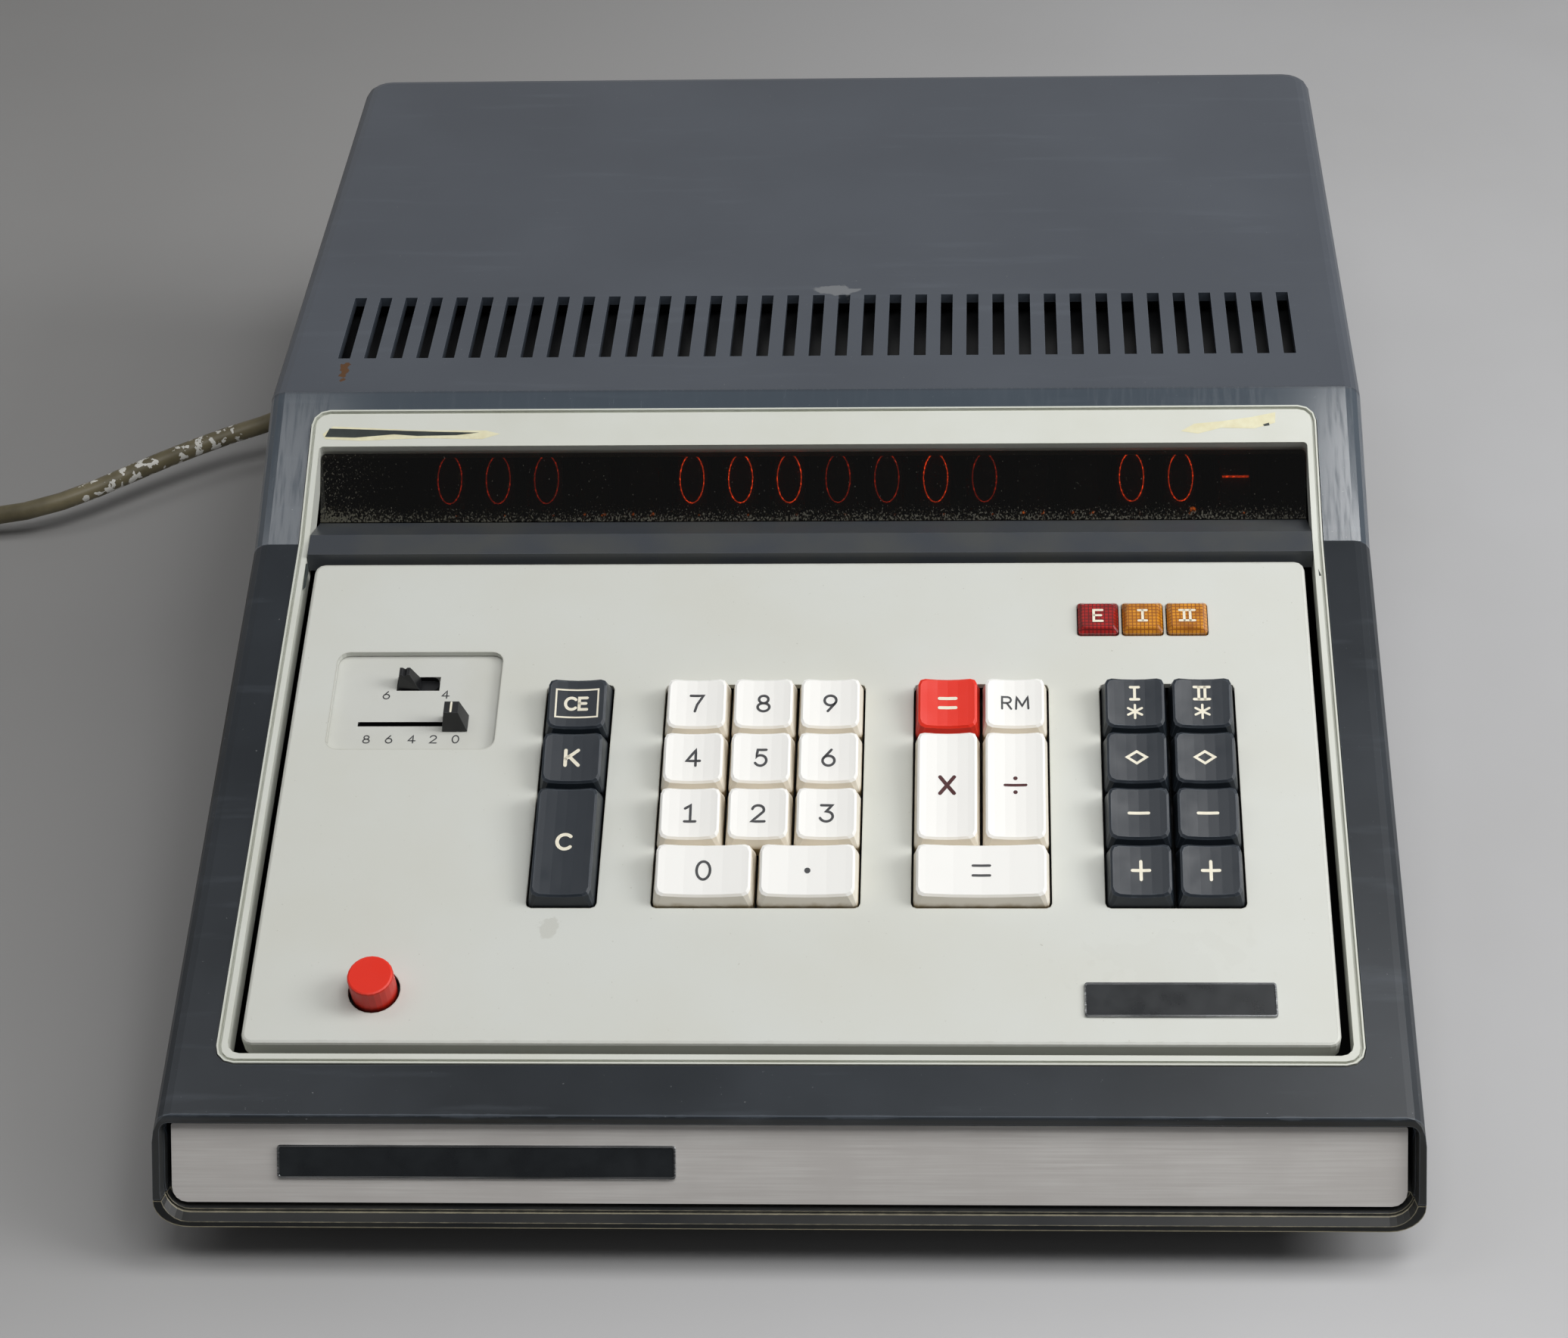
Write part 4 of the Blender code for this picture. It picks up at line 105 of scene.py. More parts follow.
def feed(tree: NodeTree, node: Node, sockets: dict) -> None:
    """Give a node's inputs their values and links.

    Args:
        tree: The node tree that holds the node.
        node: The node.
        sockets: Its inputs by name or number, each with a value or the socket that feeds it.
    """
    for key, value in sockets.items():
        if isinstance(value, NodeSocket):
            tree.links.new(value, node.inputs[key])
        else:
            node.inputs[key].default_value = value


def add_node(tree: NodeTree, kind: str, sockets: dict | None = None, out: int = 0, **settings: object) -> NodeSocket:
    """Add a node with its settings and links.

    Args:
        tree: The node tree that takes the node.
        kind: The node's type, without Blender's leading "ShaderNode".
        sockets: Input sockets by name or number, each with a value or the socket that feeds it.
        out: Number of the output to return.
        settings: The node's own properties.

    Returns:
        The node's output of that number.
    """
    made = tree.nodes.new("ShaderNode" + kind)
    for name, value in settings.items():
        setattr(made, name, value)
    feed(tree, made, sockets or {})
    return made.outputs[out]


def per(size: float) -> float:
    """Return the scale that makes a pattern as large as that many millimetres."""
    return 1 / (size * MM)


# Finishes


@dataclass(frozen=True)
class Finish:
    """A finish with one material, made the first time that it is asked for."""

    name: str

    def material(self) -> Material:
        """Return the finish's material."""
        made = bpy.data.materials.get(self.name)
        if made is None:
            made = bpy.data.materials.new(self.name)
            made.use_nodes = True
            add = partial(add_node, made.node_tree)
            sockets = self.paint(add, add("TexCoord", out=3))
            feed(made.node_tree, made.node_tree.nodes["Principled BSDF"], sockets)
        return made

    def paint(self, add: Adder, place: NodeSocket) -> dict:
        """Build the finish's nodes.

        Args:
            add: Adds a node to the material.
            place: The surface's coordinates in metres.

        Returns:
            The Principled shader's inputs, each with a value or the socket that feeds it.
        """
        raise NotImplementedError


def layered(add: Adder, base: str, *layers: tuple[NodeSocket, str]) -> NodeSocket:
    """Lay colours over one another.

    Args:
        add: Adds a node to the material.
        base: The lowest colour's sRGB code.
        layers: Each further colour as the share of it that shows and its code, the lowest first.

    Returns:
        The colour of them all.
    """
    colour = linear(base)
    for share, code in layers:
        colour = add("Mix", {0: share, 6: colour, 7: linear(code)}, out=2, data_type="RGBA")
    return colour


def relief(add: Adder, place: NodeSocket, size: float, strength: float, height: float) -> NodeSocket:
    """Roughen a surface with a fine grain.

    Args:
        add: Adds a node to the material.
        place: The surface's coordinates.
        size: The grain's size in millimetres.
        strength: How much of the relief shows.
        height: The grain's height in millimetres.

    Returns:
        The roughened surface's normal.
    """
    grain = add("TexNoise", {"Vector": place, "Scale": per(size), "Detail": 2.0})
    return add("Bump", {"Height": grain, "Strength": strength, "Distance": height * MM})


def patchy_edge_mask(add: Adder, place: NodeSocket, width: float, share: float) -> NodeSocket:
    """Find the outer edges of a surface, broken up in patches; finishes tint them for wear, painted highlights and
    darker edges.

    Args:
        add: Adds a node to the material.
        place: The surface's coordinates.
        width: How far from the edge the mask reaches, in millimetres.
        share: How much the edge tint shows.

    Returns:
        A value from 0 on the faces to the share on the edges.
    """
    soft = add("Bevel", {"Radius": width * MM}, samples=4)
    true = add("NewGeometry", out=1)
    turn = add("VectorMath", {0: soft, 1: true}, out=1, operation="DOT_PRODUCT")
    patchy = add("TexNoise", {"Vector": place, "Scale": per(3.5), "Detail": 3.0})
    limit = add("MapRange", {0: patchy, 1: 0.35, 2: 0.65, 3: 0.80, 4: 0.97})
    edges = add("MapRange", {0: turn, 1: 0.995, 2: limit})
    return add("Math", {0: edges, 1: share}, operation="MULTIPLY")


def near_point(add: Adder, place: NodeSocket, point: Triple, reach: Triple, ragged: float, size: float) -> NodeSocket:
    """Mask a ragged spot on a surface.

    Args:
        add: Adds a node to the material.
        place: The surface's coordinates.
        point: The spot's centre, in millimetres.
        reach: Its half sizes along the three axes, in millimetres.
        ragged: How much noise eats into its edge.
        size: Size of the noise, in millimetres.

    Returns:
        A value that is 1 inside the spot and 0 outside.
    """
    away = add("VectorMath", {0: place, 1: tuple(c * MM for c in point)}, operation="SUBTRACT")
    scaled = add("VectorMath", {0: away, 1: tuple(per(r) for r in reach)}, operation="MULTIPLY")
    length = add("VectorMath", {0: scaled}, out=1, operation="LENGTH")
    noise = add("TexNoise", {"Vector": place, "Scale": per(size), "Detail": 5.0})
    push = add("MapRange", {0: noise, 1: 0.3, 2: 0.7, 3: -ragged, 4: ragged})
    total = add("Math", {0: length, 1: push})
    return add("MapRange", {0: total, 1: 1.05, 2: 0.85})


@dataclass(frozen=True)
class MouldedPlastic(Finish):
    """Injection-moulded plastic: a fine grain breaks up the gloss, and handling leaves faint blotches."""

    colour: str
    blotch: str
    roughness: float = 0.4
    grain: float = 0.5
    grain_height: float = 0.01
    blotch_size: float = 22.0
    blotch_share: float = 0.5
    edge: str = ""
    edge_width: float = 0.35
    edge_share: float = 0.6

    def paint(self, add: Adder, place: NodeSocket) -> dict:
        """Mix two tones in soft blotches, tint the edges for wear and for painted highlight and shade, and add the
        mould's grain.
        """
        cloud = add("TexNoise", {"Vector": place, "Scale": per(self.blotch_size), "Detail": 4.0})
        share = add("MapRange", {0: cloud, 1: 0.38, 2: 0.68, 4: self.blotch_share})
        layers = [(share, self.blotch)]
        if self.edge:
            layers.append((patchy_edge_mask(add, place, self.edge_width, self.edge_share), self.edge))
        gloss = add("MapRange", {0: cloud, 1: 0.3, 2: 0.7, 3: self.roughness - 0.05, 4: self.roughness + 0.06})
        return {"Base Color": layered(add, self.colour, *layers), "Roughness": gloss,
                "Normal": relief(add, place, self.grain, 0.5, self.grain_height)}


@dataclass(frozen=True)
class SlateCover(Finish):
    """Slate paint on the moulded cover: satin on the deck, polished by hands on the display's surround, with painted
    reflection making the display's slope, the deck and the walls lighter than the keyboard's surround.
    """

    colour: str = "#161c22"
    # Tones of the one slate paint, lighter on the display's slope, the deck and the side walls: painted reflection
    facet: str = "#414a53"
    deck: str = "#464b53"
    wall: str = "#373d45"
    # Darker tone in front of the front crease, on the chin and the strip's recess walls: painted shade
    brow: str = "#272725"
    # Pale tone for the cloud, smears, the crease line and edges: wear, with painted highlight on the crease and edges
    pale_wear_and_highlight: str = "#78808a"
    dust: str = "#8d8f90"
    rust: str = "#5a3d24"
    scuff_place: tuple[float, float] = (5.4, 82.0)
    rust_place: tuple[float, float] = (-145.6, 35.5)
    satin: float = 0.34
    polished: float = 0.16
    coat_roughness: float = 0.09

    def paint(self, add: Adder, place: NodeSocket) -> dict:
        """Split the cover into zones of painted reflection and painted shade, and add crease and edge wear with
        painted highlights, smears, dust, a scuff and rust.
        """
        outline = CaseOutline()
        along = add("SeparateXYZ", {0: place}, out=1)
        lower, upper, crease = (y * MM for y in (outline.facet.y, outline.upper_bend[0], outline.keyboard.y))
        # The display's slope and the deck take lighter tones of the same paint: painted reflection
        past_lower = add("MapRange", {0: along, 1: lower - 0.2 * MM, 2: lower + 0.2 * MM})
        past_upper = add("MapRange", {0: along, 1: upper - 0.8 * MM, 2: upper + 0.8 * MM})
        facet = add("Math", {0: past_lower, 1: past_upper}, operation="SUBTRACT")
        # In front of the crease the brow tone paints shade
        under = add("MapRange", {0: along, 1: crease - 0.2 * MM, 2: crease - 0.7 * MM})
        facing = add("SeparateXYZ", {0: add("NewGeometry", out=1)}, out=2)
        # The side walls take one lighter tone in place of the zones: painted reflection
        wall = add("MapRange", {0: facing, 1: 0.45, 2: 0.1})
        level = add("MapRange", {0: wall, 3: 1.0, 4: 0.0})
        facet = add("Math", {0: facet, 1: level}, operation="MULTIPLY")
        cloud = add("TexNoise", {"Vector": place, "Scale": per(60), "Detail": 6.0})
        tone = add("MapRange", {0: cloud, 1: 0.35, 2: 0.7, 4: 0.08})
        # Long faint smears along the front, left by sleeves and wiping
        wiped = add("Mapping", {"Vector": place, "Scale": (per(50), per(6), per(6))})
        smears = add("TexNoise", {"Vector": wiped, "Scale": 1.0, "Detail": 5.0})
        smeared = add("MapRange", {0: smears, 1: 0.6, 2: 0.76, 4: 0.1})
        # Thin pale line along the front crease, with chips a few millimetres long: partly wear, partly a painted
        # highlight on the crease's edge
        off = add("Math", {0: along, 1: -crease})
        off = add("Math", {0: off}, operation="ABSOLUTE")
        chips = add("TexNoise", {"Vector": place, "Scale": per(7), "Detail": 5.0})
        reach = add("MapRange", {0: chips, 1: 0.5, 2: 0.78, 3: 0.2 * MM, 4: 0.8 * MM})
        line = add("MapRange", {0: off, 1: reach, 2: 0.12 * MM, 4: 0.26})
        # Pale edges: partly wear, partly painted highlight
        worn_and_highlit_edges = patchy_edge_mask(add, place, 0.3, 0.3)
        # Specks of dust about a millimetre across
        specks = add("TexNoise", {"Vector": place, "Scale": per(1.1), "Detail": 2.0})
        dusty = add("MapRange", {0: specks, 1: 0.75, 2: 0.8, 4: 0.45})
        scuffed = near_point(add, place, (*self.scuff_place, outline.deck_z), (6.0, 3.2, 6.0), 0.5, 4.0)
        scuffed = add("Math", {0: scuffed, 1: 0.5}, operation="MULTIPLY")
        rusty = near_point(add, place, (*self.rust_place, outline.deck_z), (1.2, 5.5, 5.0), 0.8, 2.5)
        # Facet, deck and wall tones are painted reflection and the brow tone painted shade; the crease line and edges
        # are wear with painted highlight
        colour = layered(
            add, self.colour, (facet, self.facet), (past_upper, self.deck), (wall, self.wall), (under, self.brow),
            (tone, self.pale_wear_and_highlight), (smeared, self.pale_wear_and_highlight), (line, self.pale_wear_and_highlight), (worn_and_highlit_edges, self.pale_wear_and_highlight), (dusty, self.dust),
            (scuffed, self.dust), (rusty, self.rust))
        # The display's surround shines, with fine scratches that show in its highlights
        worn = add("MapRange", {0: facet, 3: self.satin, 4: self.polished})
        strokes = add("Mapping", {"Vector": place, "Scale": (per(1.2), per(12), per(12))})
        strokes = add("TexNoise", {"Vector": strokes, "Scale": 1.0, "Detail": 4.0})
        smear = add("MapRange", {0: strokes, 1: 0.45, 2: 0.75, 3: -0.03, 4: 0.14})
        smear = add("Math", {0: smear, 1: facet}, operation="MULTIPLY")
        rough = add("Math", {0: worn, 1: smear})
        rough = add("Math", {0: rough, 1: rusty})
        polish = add("MapRange", {0: strokes, 1: 0.75, 2: 0.5, 3: 0.3, 4: 1.0})
        polish = add("Math", {0: polish, 1: facet}, operation="MULTIPLY")
        return {"Base Color": colour, "Roughness": rough, "Coat Weight": polish,
                "Coat Roughness": self.coat_roughness, "Normal": relief(add, place, 0.7, 0.35, 0.012)}


@dataclass(frozen=True)
class KeyCapPlastic(Finish):
    """Double-shot moulded key cap: top and edges painted lighter as lit, foot darker as painted shade and grime,
    white sides yellowed.
    """

    top: str
    side: str
    foot: str
    edge: str
    roughness: float = 0.42
    edge_width: float = 0.5
    edge_share: float = 0.3
    # Heights under and over the panel between which the foot's painted shade and grime fade out
    foot_shade_low: float = -0.8
    foot_shade_high: float = 1.6

    def paint(self, add: Adder, place: NodeSocket) -> dict:
        """Grade the colour by height over the keyboard, paint light on the upward faces and edges and shade at the
        foot, and polish the fingers' marks.
        """
        plane = CaseOutline().keyboard
        base = plane.point(0, 0).dot(plane.normal)
        height = add("VectorMath", {0: place, 1: tuple(plane.normal)}, out=1, operation="DOT_PRODUCT")
        noise = add("TexNoise", {"Vector": place, "Scale": per(4), "Detail": 4.0})
        wave = add("MapRange", {0: noise, 1: 0.3, 2: 0.7, 3: -0.5 * MM, 4: 0.5 * MM})
        height = add("Math", {0: height, 1: wave})
        # Foot tone low on the key: painted shade, with grime on the white keys
        clear_of_foot_shade = add("MapRange", {0: height, 1: base + self.foot_shade_low * MM, 2: base + self.foot_shade_high * MM},
                    interpolation_type="SMOOTHSTEP")
        facing = add("VectorMath", {0: add("NewGeometry", out=1), 1: tuple(plane.normal)}, out=1,
                     operation="DOT_PRODUCT")
        # Faces turned up take the top tone: painted light
        lit_top_share = add("MapRange", {0: facing, 1: 0.55, 2: 0.9}, interpolation_type="SMOOTHSTEP")
        worn_and_highlit_edges = patchy_edge_mask(add, place, self.edge_width, self.edge_share)
        colour = layered(add, self.foot, (clear_of_foot_shade, self.side), (lit_top_share, self.top), (worn_and_highlit_edges, self.edge))
        smudge = add("TexNoise", {"Vector": place, "Scale": per(7), "Detail": 3.0})
        rough = add("MapRange", {0: smudge, 1: 0.3, 2: 0.7, 3: self.roughness - 0.06, 4: self.roughness + 0.1})
        return {"Base Color": colour, "Roughness": rough, "Normal": relief(add, place, 0.6, 0.3, 0.006)}


@dataclass(frozen=True)
class PanelPaint(Finish):
    """Pale grey stoved paint on the keyboard panel: even and satin, darker round the keys and at its edges, with
    stains.
    """

    colour: str = "#d3d5cf"
    warm: str = "#cac9bd"
    stain_and_edge_tone: str = "#8c8674"
    # Each stain's place on the keyboard's slope, its half sizes, and how much it shows
    stains: tuple = ((-65.7, 59.3, (3.2, 3.6, 9.0), 0.2), (-72.5, 96.0, (2.0, 5.0, 9.0), 0.14),
                     (100.0, 48.0, (20.0, 9.0, 9.0), 0.03))

    def paint(self, add: Adder, place: NodeSocket) -> dict:
        """Cloud the paint, darken its edges and set the stains and specks."""
        outline = CaseOutline()
        cloud = add("TexNoise", {"Vector": place, "Scale": per(45), "Detail": 6.0})
        share = add("MapRange", {0: cloud, 1: 0.35, 2: 0.75, 4: 0.5})
        layers = []
        for x, s, reach, strength in self.stains:
            spot = near_point(add, place, tuple(outline.keyboard.point(x, s) / MM), reach, 0.9, 6.0)
            layers.append(add("Math", {0: spot, 1: strength}, operation="MULTIPLY"))
        # Darker round the key holes and the panel's edges
        layers.append(patchy_edge_mask(add, place, 0.7, 0.4))
        specks = add("TexNoise", {"Vector": place, "Scale": per(0.9), "Detail": 1.0})
        layers.append(add("MapRange", {0: specks, 1: 0.77, 2: 0.82, 4: 0.35}))
        colour = layered(add, self.colour, (share, self.warm), *((layer, self.stain_and_edge_tone) for layer in layers))
        rough = add("MapRange", {0: cloud, 1: 0.3, 2: 0.7, 3: 0.36, 4: 0.48})
        return {"Base Color": colour, "Roughness": rough, "Normal": relief(add, place, 0.8, 0.3, 0.01)}


@dataclass(frozen=True)
class BrushedMetal(Finish):
    """Metal drawn or brushed along X: fine streaks stretch its highlights sideways."""

    colour: str
    dark: str
    metallic: float = 1.0
    roughness: float = 0.35
    streak: float = 0.5
    streak_ratio: float = 60.0

    def paint(self, add: Adder, place: NodeSocket) -> dict:
        """Stretch a noise along the brushing and use it for tone, gloss and relief."""
        fine = per(self.streak)
        drawn = add("Mapping", {"Vector": place, "Scale": (fine / self.streak_ratio, fine, fine)})
        streaks = add("TexNoise", {"Vector": drawn, "Scale": 1.0, "Detail": 3.0})
        cloud = add("TexNoise", {"Vector": place, "Scale": per(30), "Detail": 4.0})
        mixed = add("Math", {0: streaks, 1: cloud}, operation="MULTIPLY")
        share = add("MapRange", {0: mixed, 1: 0.18, 2: 0.36})
        colour = layered(add, self.dark, (share, self.colour))
        rough = add("MapRange", {0: streaks, 1: 0.3, 2: 0.7, 3: self.roughness - 0.06, 4: self.roughness + 0.08})
        bump = add("Bump", {"Height": streaks, "Strength": 0.15, "Distance": 0.01 * MM})
        return {"Base Color": colour, "Metallic": self.metallic, "Roughness": rough, "Normal": bump}


@dataclass(frozen=True)
class SmokedAcrylic(Finish):
    """Smoked acrylic sheet: dark and clear, with settled dust along its foot and in its left corner."""

    tint: str = "#5a564a"
    dust: str = "#3b3a2a"
    foot_dust: float = 4.0
    corner_dust: tuple[float, float] = (-122.0, -150.0)
    ior: float = 1.49

    def paint(self, add: Adder, place: NodeSocket) -> dict:
        """Let light through where the sheet is clean, and scatter it where dust lies."""
        rise = add("SeparateXYZ", {0: place}, out=2)
        across = add("SeparateXYZ", {0: place}, out=0)
        foot = CaseOutline().window.z
        inner, outer = self.corner_dust
        low = add("MapRange", {0: rise, 1: (foot + self.foot_dust) * MM, 2: foot * MM, 4: 0.2})
        left = add("MapRange", {0: across, 1: inner * MM, 2: outer * MM, 4: 0.12})
        # Streaks half a millimetre wide, wiped slantwise
        wiped = add("Mapping", {"Vector": place, "Rotation": (0.0, 0.9, 0.0),
                                "Scale": (per(0.5), per(0.5), per(3.5))})
        fine = add("TexNoise", {"Vector": wiped, "Scale": 1.0, "Detail": 4.0})
        amount = add("Math", {0: low, 1: left})
        total = add("Math", {0: fine, 1: amount})
        dusty = add("MapRange", {0: total, 1: 0.7, 2: 0.78, 4: 0.8})
        return {"Base Color": layered(add, self.tint, (dusty, self.dust)),
                "Transmission Weight": add("MapRange", {0: dusty, 3: 1.0, 4: 0.0}),
                "Roughness": add("MapRange", {0: dusty, 3: 0.03, 4: 0.8}), "IOR": self.ior}


@dataclass(frozen=True)
class LensPlastic(Finish):
    """Transparent coloured plastic with a moulded diffuser grid behind a smooth face."""

    light: str
    dark: str
    pitch: float = 1.15
    roughness: float = 0.3
    coat_roughness: float = 0.06

    def paint(self, add: Adder, place: NodeSocket) -> dict:
        """Draw the diffuser's small squares in two tones under a clear coat."""
        turned_place = add("Mapping", {"Vector": place, "Rotation": (-CaseOutline().keyboard.angle, 0.0, 0.0)})
        cell = add("VectorMath", {0: turned_place, "Scale": per(self.pitch)}, operation="SCALE")
        cell = add("VectorMath", {0: cell}, operation="FRACTION")
        cell = add("VectorMath", {0: cell, 1: (0.5, 0.5, 0.5)}, operation="SUBTRACT")
        cell = add("VectorMath", {0: cell}, operation="ABSOLUTE")
        wide = add("SeparateXYZ", {0: cell}, out=0)
        deep = add("SeparateXYZ", {0: cell}, out=1)
        far = add("Math", {0: wide, 1: deep}, operation="MAXIMUM")
        square = add("MapRange", {0: far, 1: 0.46, 2: 0.32}, interpolation_type="SMOOTHSTEP")
        glow = add("TexNoise", {"Vector": place, "Scale": per(4), "Detail": 2.0})
        share = add("Math", {0: square, 1: glow}, operation="MULTIPLY")
        share = add("MapRange", {0: share, 1: 0.1, 2: 0.62})
        return {"Base Color": layered(add, self.dark, (share, self.light)), "Roughness": self.roughness,
                "Coat Weight": 1.0, "Coat Roughness": self.coat_roughness}


@dataclass(frozen=True)
class TubeGlass(Finish):
    """Blown glass of the number tubes: seen by its reflections, and smoky with sputtered metal."""

    dark: str = "#3a2a22"
    light: str = "#5b4638"
    roughness: float = 0.05
    alpha: float = 0.16

    def paint(self, add: Adder, place: NodeSocket) -> dict:
        """Keep the glass nearly invisible but glossy."""
        cloud = add("TexNoise", {"Vector": place, "Scale": per(9), "Detail": 2.0})
        return {"Base Color": layered(add, self.dark, (cloud, self.light)), "Roughness": self.roughness,
                "Alpha": self.alpha}


@dataclass(frozen=True)
class NeonGlow(Finish):
    """Glow discharge on a wire cathode, broken into dots by the mesh anode in front of it."""

    colour: str = "#ff4a1c"
    strength: float = 10.0
    pitch: float = 1.0
    dim_share: float = 0.25
    wire: str = "#2a0f08"

    def paint(self, add: Adder, place: NodeSocket) -> dict:
        """Modulate the light along the wire with the anode's mesh."""
        mesh = add("TexVoronoi", {"Vector": place, "Scale": per(self.pitch)})
        dots = add("MapRange", {0: mesh, 1: 0.55, 2: 0.15, 3: self.dim_share * self.strength, 4: self.strength})
        return {"Base Color": linear(self.wire), "Emission Color": linear(self.colour), "Emission Strength": dots,
                "Roughness": 0.5}


@dataclass(frozen=True)
class PvcCord(Finish):
    """Extruded PVC sheath, sun-browned olive, dulled by dirt and dotted with white paint near the case."""

    colour: str = "#7d7459"
    dirt: str = "#57503a"
    paint_spots: str = "#e8e6df"
    spots_far: tuple[float, float] = (-272.0, -262.0)
    spots_near: tuple[float, float] = (-200.0, -212.0)

    def paint(self, add: Adder, place: NodeSocket) -> dict:
        """Cloud the sheath with dirt and throw paint spots on the stretch near the case."""
        across = add("SeparateXYZ", {0: place}, out=0)
        cloud = add("TexNoise", {"Vector": place, "Scale": per(14), "Detail": 6.0})
        share = add("MapRange", {0: cloud, 1: 0.35, 2: 0.7})
        spots = add("TexNoise", {"Vector": place, "Scale": per(2.6), "Detail": 3.0})
        far, near = (add("MapRange", {0: across, 1: begin * MM, 2: end * MM})
                     for begin, end in (self.spots_far, self.spots_near))
        zone = add("Math", {0: near, 1: far}, operation="MULTIPLY")
        limit = add("MapRange", {0: zone, 3: 1.0, 4: 0.57})
        spotted = add("Math", {0: spots, 1: limit}, operation="GREATER_THAN")
        return {"Base Color": layered(add, self.colour, (share, self.dirt), (spotted, self.paint_spots)),
                "Roughness": add("MapRange", {0: cloud, 1: 0.3, 2: 0.7, 3: 0.42, 4: 0.6})}


@dataclass(frozen=True)
class StudioPaper(Finish):
    """Seamless grey background paper: matt, with faint stains, greyer to the left as painted shade and paler in front
    as painted light.
    """

    # Darker at the left and paler at the front: painted shade and painted light on the paper
    right: str = "#b8b8b9"
    left: str = "#9a9998"
    front: str = "#c4c4c5"
    stain: str = "#a6a5a4"
    side_shade_fade: tuple[float, float] = (-320.0, 260.0)
    front_light_fade: tuple[float, float] = (-180.0, -340.0)
    stain_size: float = 1000 / 6
    roughness: float = 0.85

    def paint(self, add: Adder, place: NodeSocket) -> dict:
        """Fade the paper from painted shade at the left to the right, and to painted light at the front, and cloud it
        lightly.
        """
        across = add("SeparateXYZ", {0: place}, out=0)
        along = add("SeparateXYZ", {0: place}, out=1)
        side, near = (add("MapRange", {0: axis, 1: begin * MM, 2: end * MM}, interpolation_type="SMOOTHSTEP")
                      for axis, (begin, end) in ((across, self.side_shade_fade), (along, self.front_light_fade)))
        cloud = add("TexNoise", {"Vector": place, "Scale": per(self.stain_size), "Detail": 5.0})
        share = add("MapRange", {0: cloud, 1: 0.4, 2: 0.7, 4: 0.3})
        colour = layered(add, self.left, (side, self.right), (near, self.front), (share, self.stain))
        return {"Base Color": colour, "Roughness": self.roughness}


# Slate paint sprayed on the ABS cover: a dark satin coat that hands have polished round the display
COVER = SlateCover("slate_painted_cover")
# The same paint on the ABS pan: darker, with a pale line along its edges that is partly worn through and partly
# painted highlight
PAN = MouldedPlastic("slate_painted_pan", "#17191b", "#26251f", edge="#aaa288", roughness=0.36, edge_share=0.75)
# Moulded ABS left unpainted: ivory with a soft gloss, greenish and darker at the edges as painted shade
FRAME = MouldedPlastic("ivory_moulded_frame", "#d5d7cf", "#cacbbf", blotch_size=30.0, edge="#aeb49c",
                       edge_share=0.45)
# Stoved paint on sheet metal: flat, even and pale, darker round the keys
PANEL = PanelPaint("grey_stoved_panel")
# Moulded ABS: nearly the panel's grey, a little glossier
SWITCH_PANEL = MouldedPlastic("grey_switch_plate", "#cecfc9", "#c4c4ba", roughness=0.42)
# Moulded ABS: charcoal that shows dust, with paler edges that are partly wear and partly painted highlight
SILL = MouldedPlastic("charcoal_moulded_sill", "#3a3e44", "#4b4b44", roughness=0.36, edge="#5d6167")
# Double-shot moulded ABS caps: tops and edges painted lighter as light, red flanks darker as shade, white ones
# yellowed
WHITE_KEY = KeyCapPlastic("white_key_caps", "#f4f3ef", "#efe8da", "#a8946e", "#ffffff")
NAVY_KEY = KeyCapPlastic("navy_key_caps", "#1e252d", "#1c232a", "#14171a", "#5b646e", edge_share=0.5)
RED_KEY = KeyCapPlastic("red_key_caps", "#e42506", "#ca1f05", "#7a1509", "#ff6a55")
# Moulded black ABS: satin, with greyed edges that are partly wear and partly painted highlight
BLACK = MouldedPlastic("black_moulded_plastic", "#17181a", "#232425", edge="#4c4e50")
# Moulded rubber: matt, coarse in grain, dusty
RUBBER = MouldedPlastic("black_rubber_mouldings", "#1b1b1a", "#2c2a27", roughness=0.7, grain=0.9, grain_height=0.03)
# Brushed aluminium under clear lacquer: silvery and soft, hardly a mirror
STRIP = BrushedMetal("satin_silver_strip", "#d2cfcb", "#c8c4c0", metallic=0.25, roughness=0.42)
# Zinc-plated steel: dull grey with streaks
ZINC = BrushedMetal("zinc_plated_steel", "#a9a79c", "#7d7b70", roughness=0.38)
# Chrome plate on brass: bright thin rims, worn to grey
CHROME = BrushedMetal("worn_chrome_trim", "#c9cbcc", "#7f8183", roughness=0.22)
# Black stoved enamel: dark and glossy
PLATE = MouldedPlastic("black_enamel_plate", "#1a1d20", "#23272a", roughness=0.3, blotch_size=6.0)
# Etched glass-fibre board under green lacquer: uneven green, satin
BOARD = MouldedPlastic("green_circuit_board", "#2f5a3a", "#3c6a45", roughness=0.45, blotch_size=12.0)
# Stamped iron dipped in varnish: brown and half glossy
IRON = MouldedPlastic("varnished_transformer_iron", "#5a4a3a", "#3d3128", blotch_size=8.0)
# Moulded clear polystyrene in two colours: small bright squares deep under a smooth face
RED_LENS = LensPlastic("red_lens_plastic", "#ae1512", "#5c0605")
AMBER_LENS = LensPlastic("amber_lens_plastic", "#d98f1c", "#8f4f08")
# Cast acrylic sheet, smoked: a dark clear pane with wiped dust
WINDOW = SmokedAcrylic("smoked_acrylic_window")
# Blown soda glass: hardly seen but for its gleams
GLASS = TubeGlass("blown_tube_glass")
# Neon gas glowing round a wire: orange dots, strong, faint, or a mere ember at the tube's foot
GLOW = NeonGlow("neon_glow")
FAINT_GLOW = NeonGlow("faint_neon_glow", "#ff3d18", 3.5)
EMBER = NeonGlow("neon_idle_glow", "#ff7a2a", 4.5, 0.6)
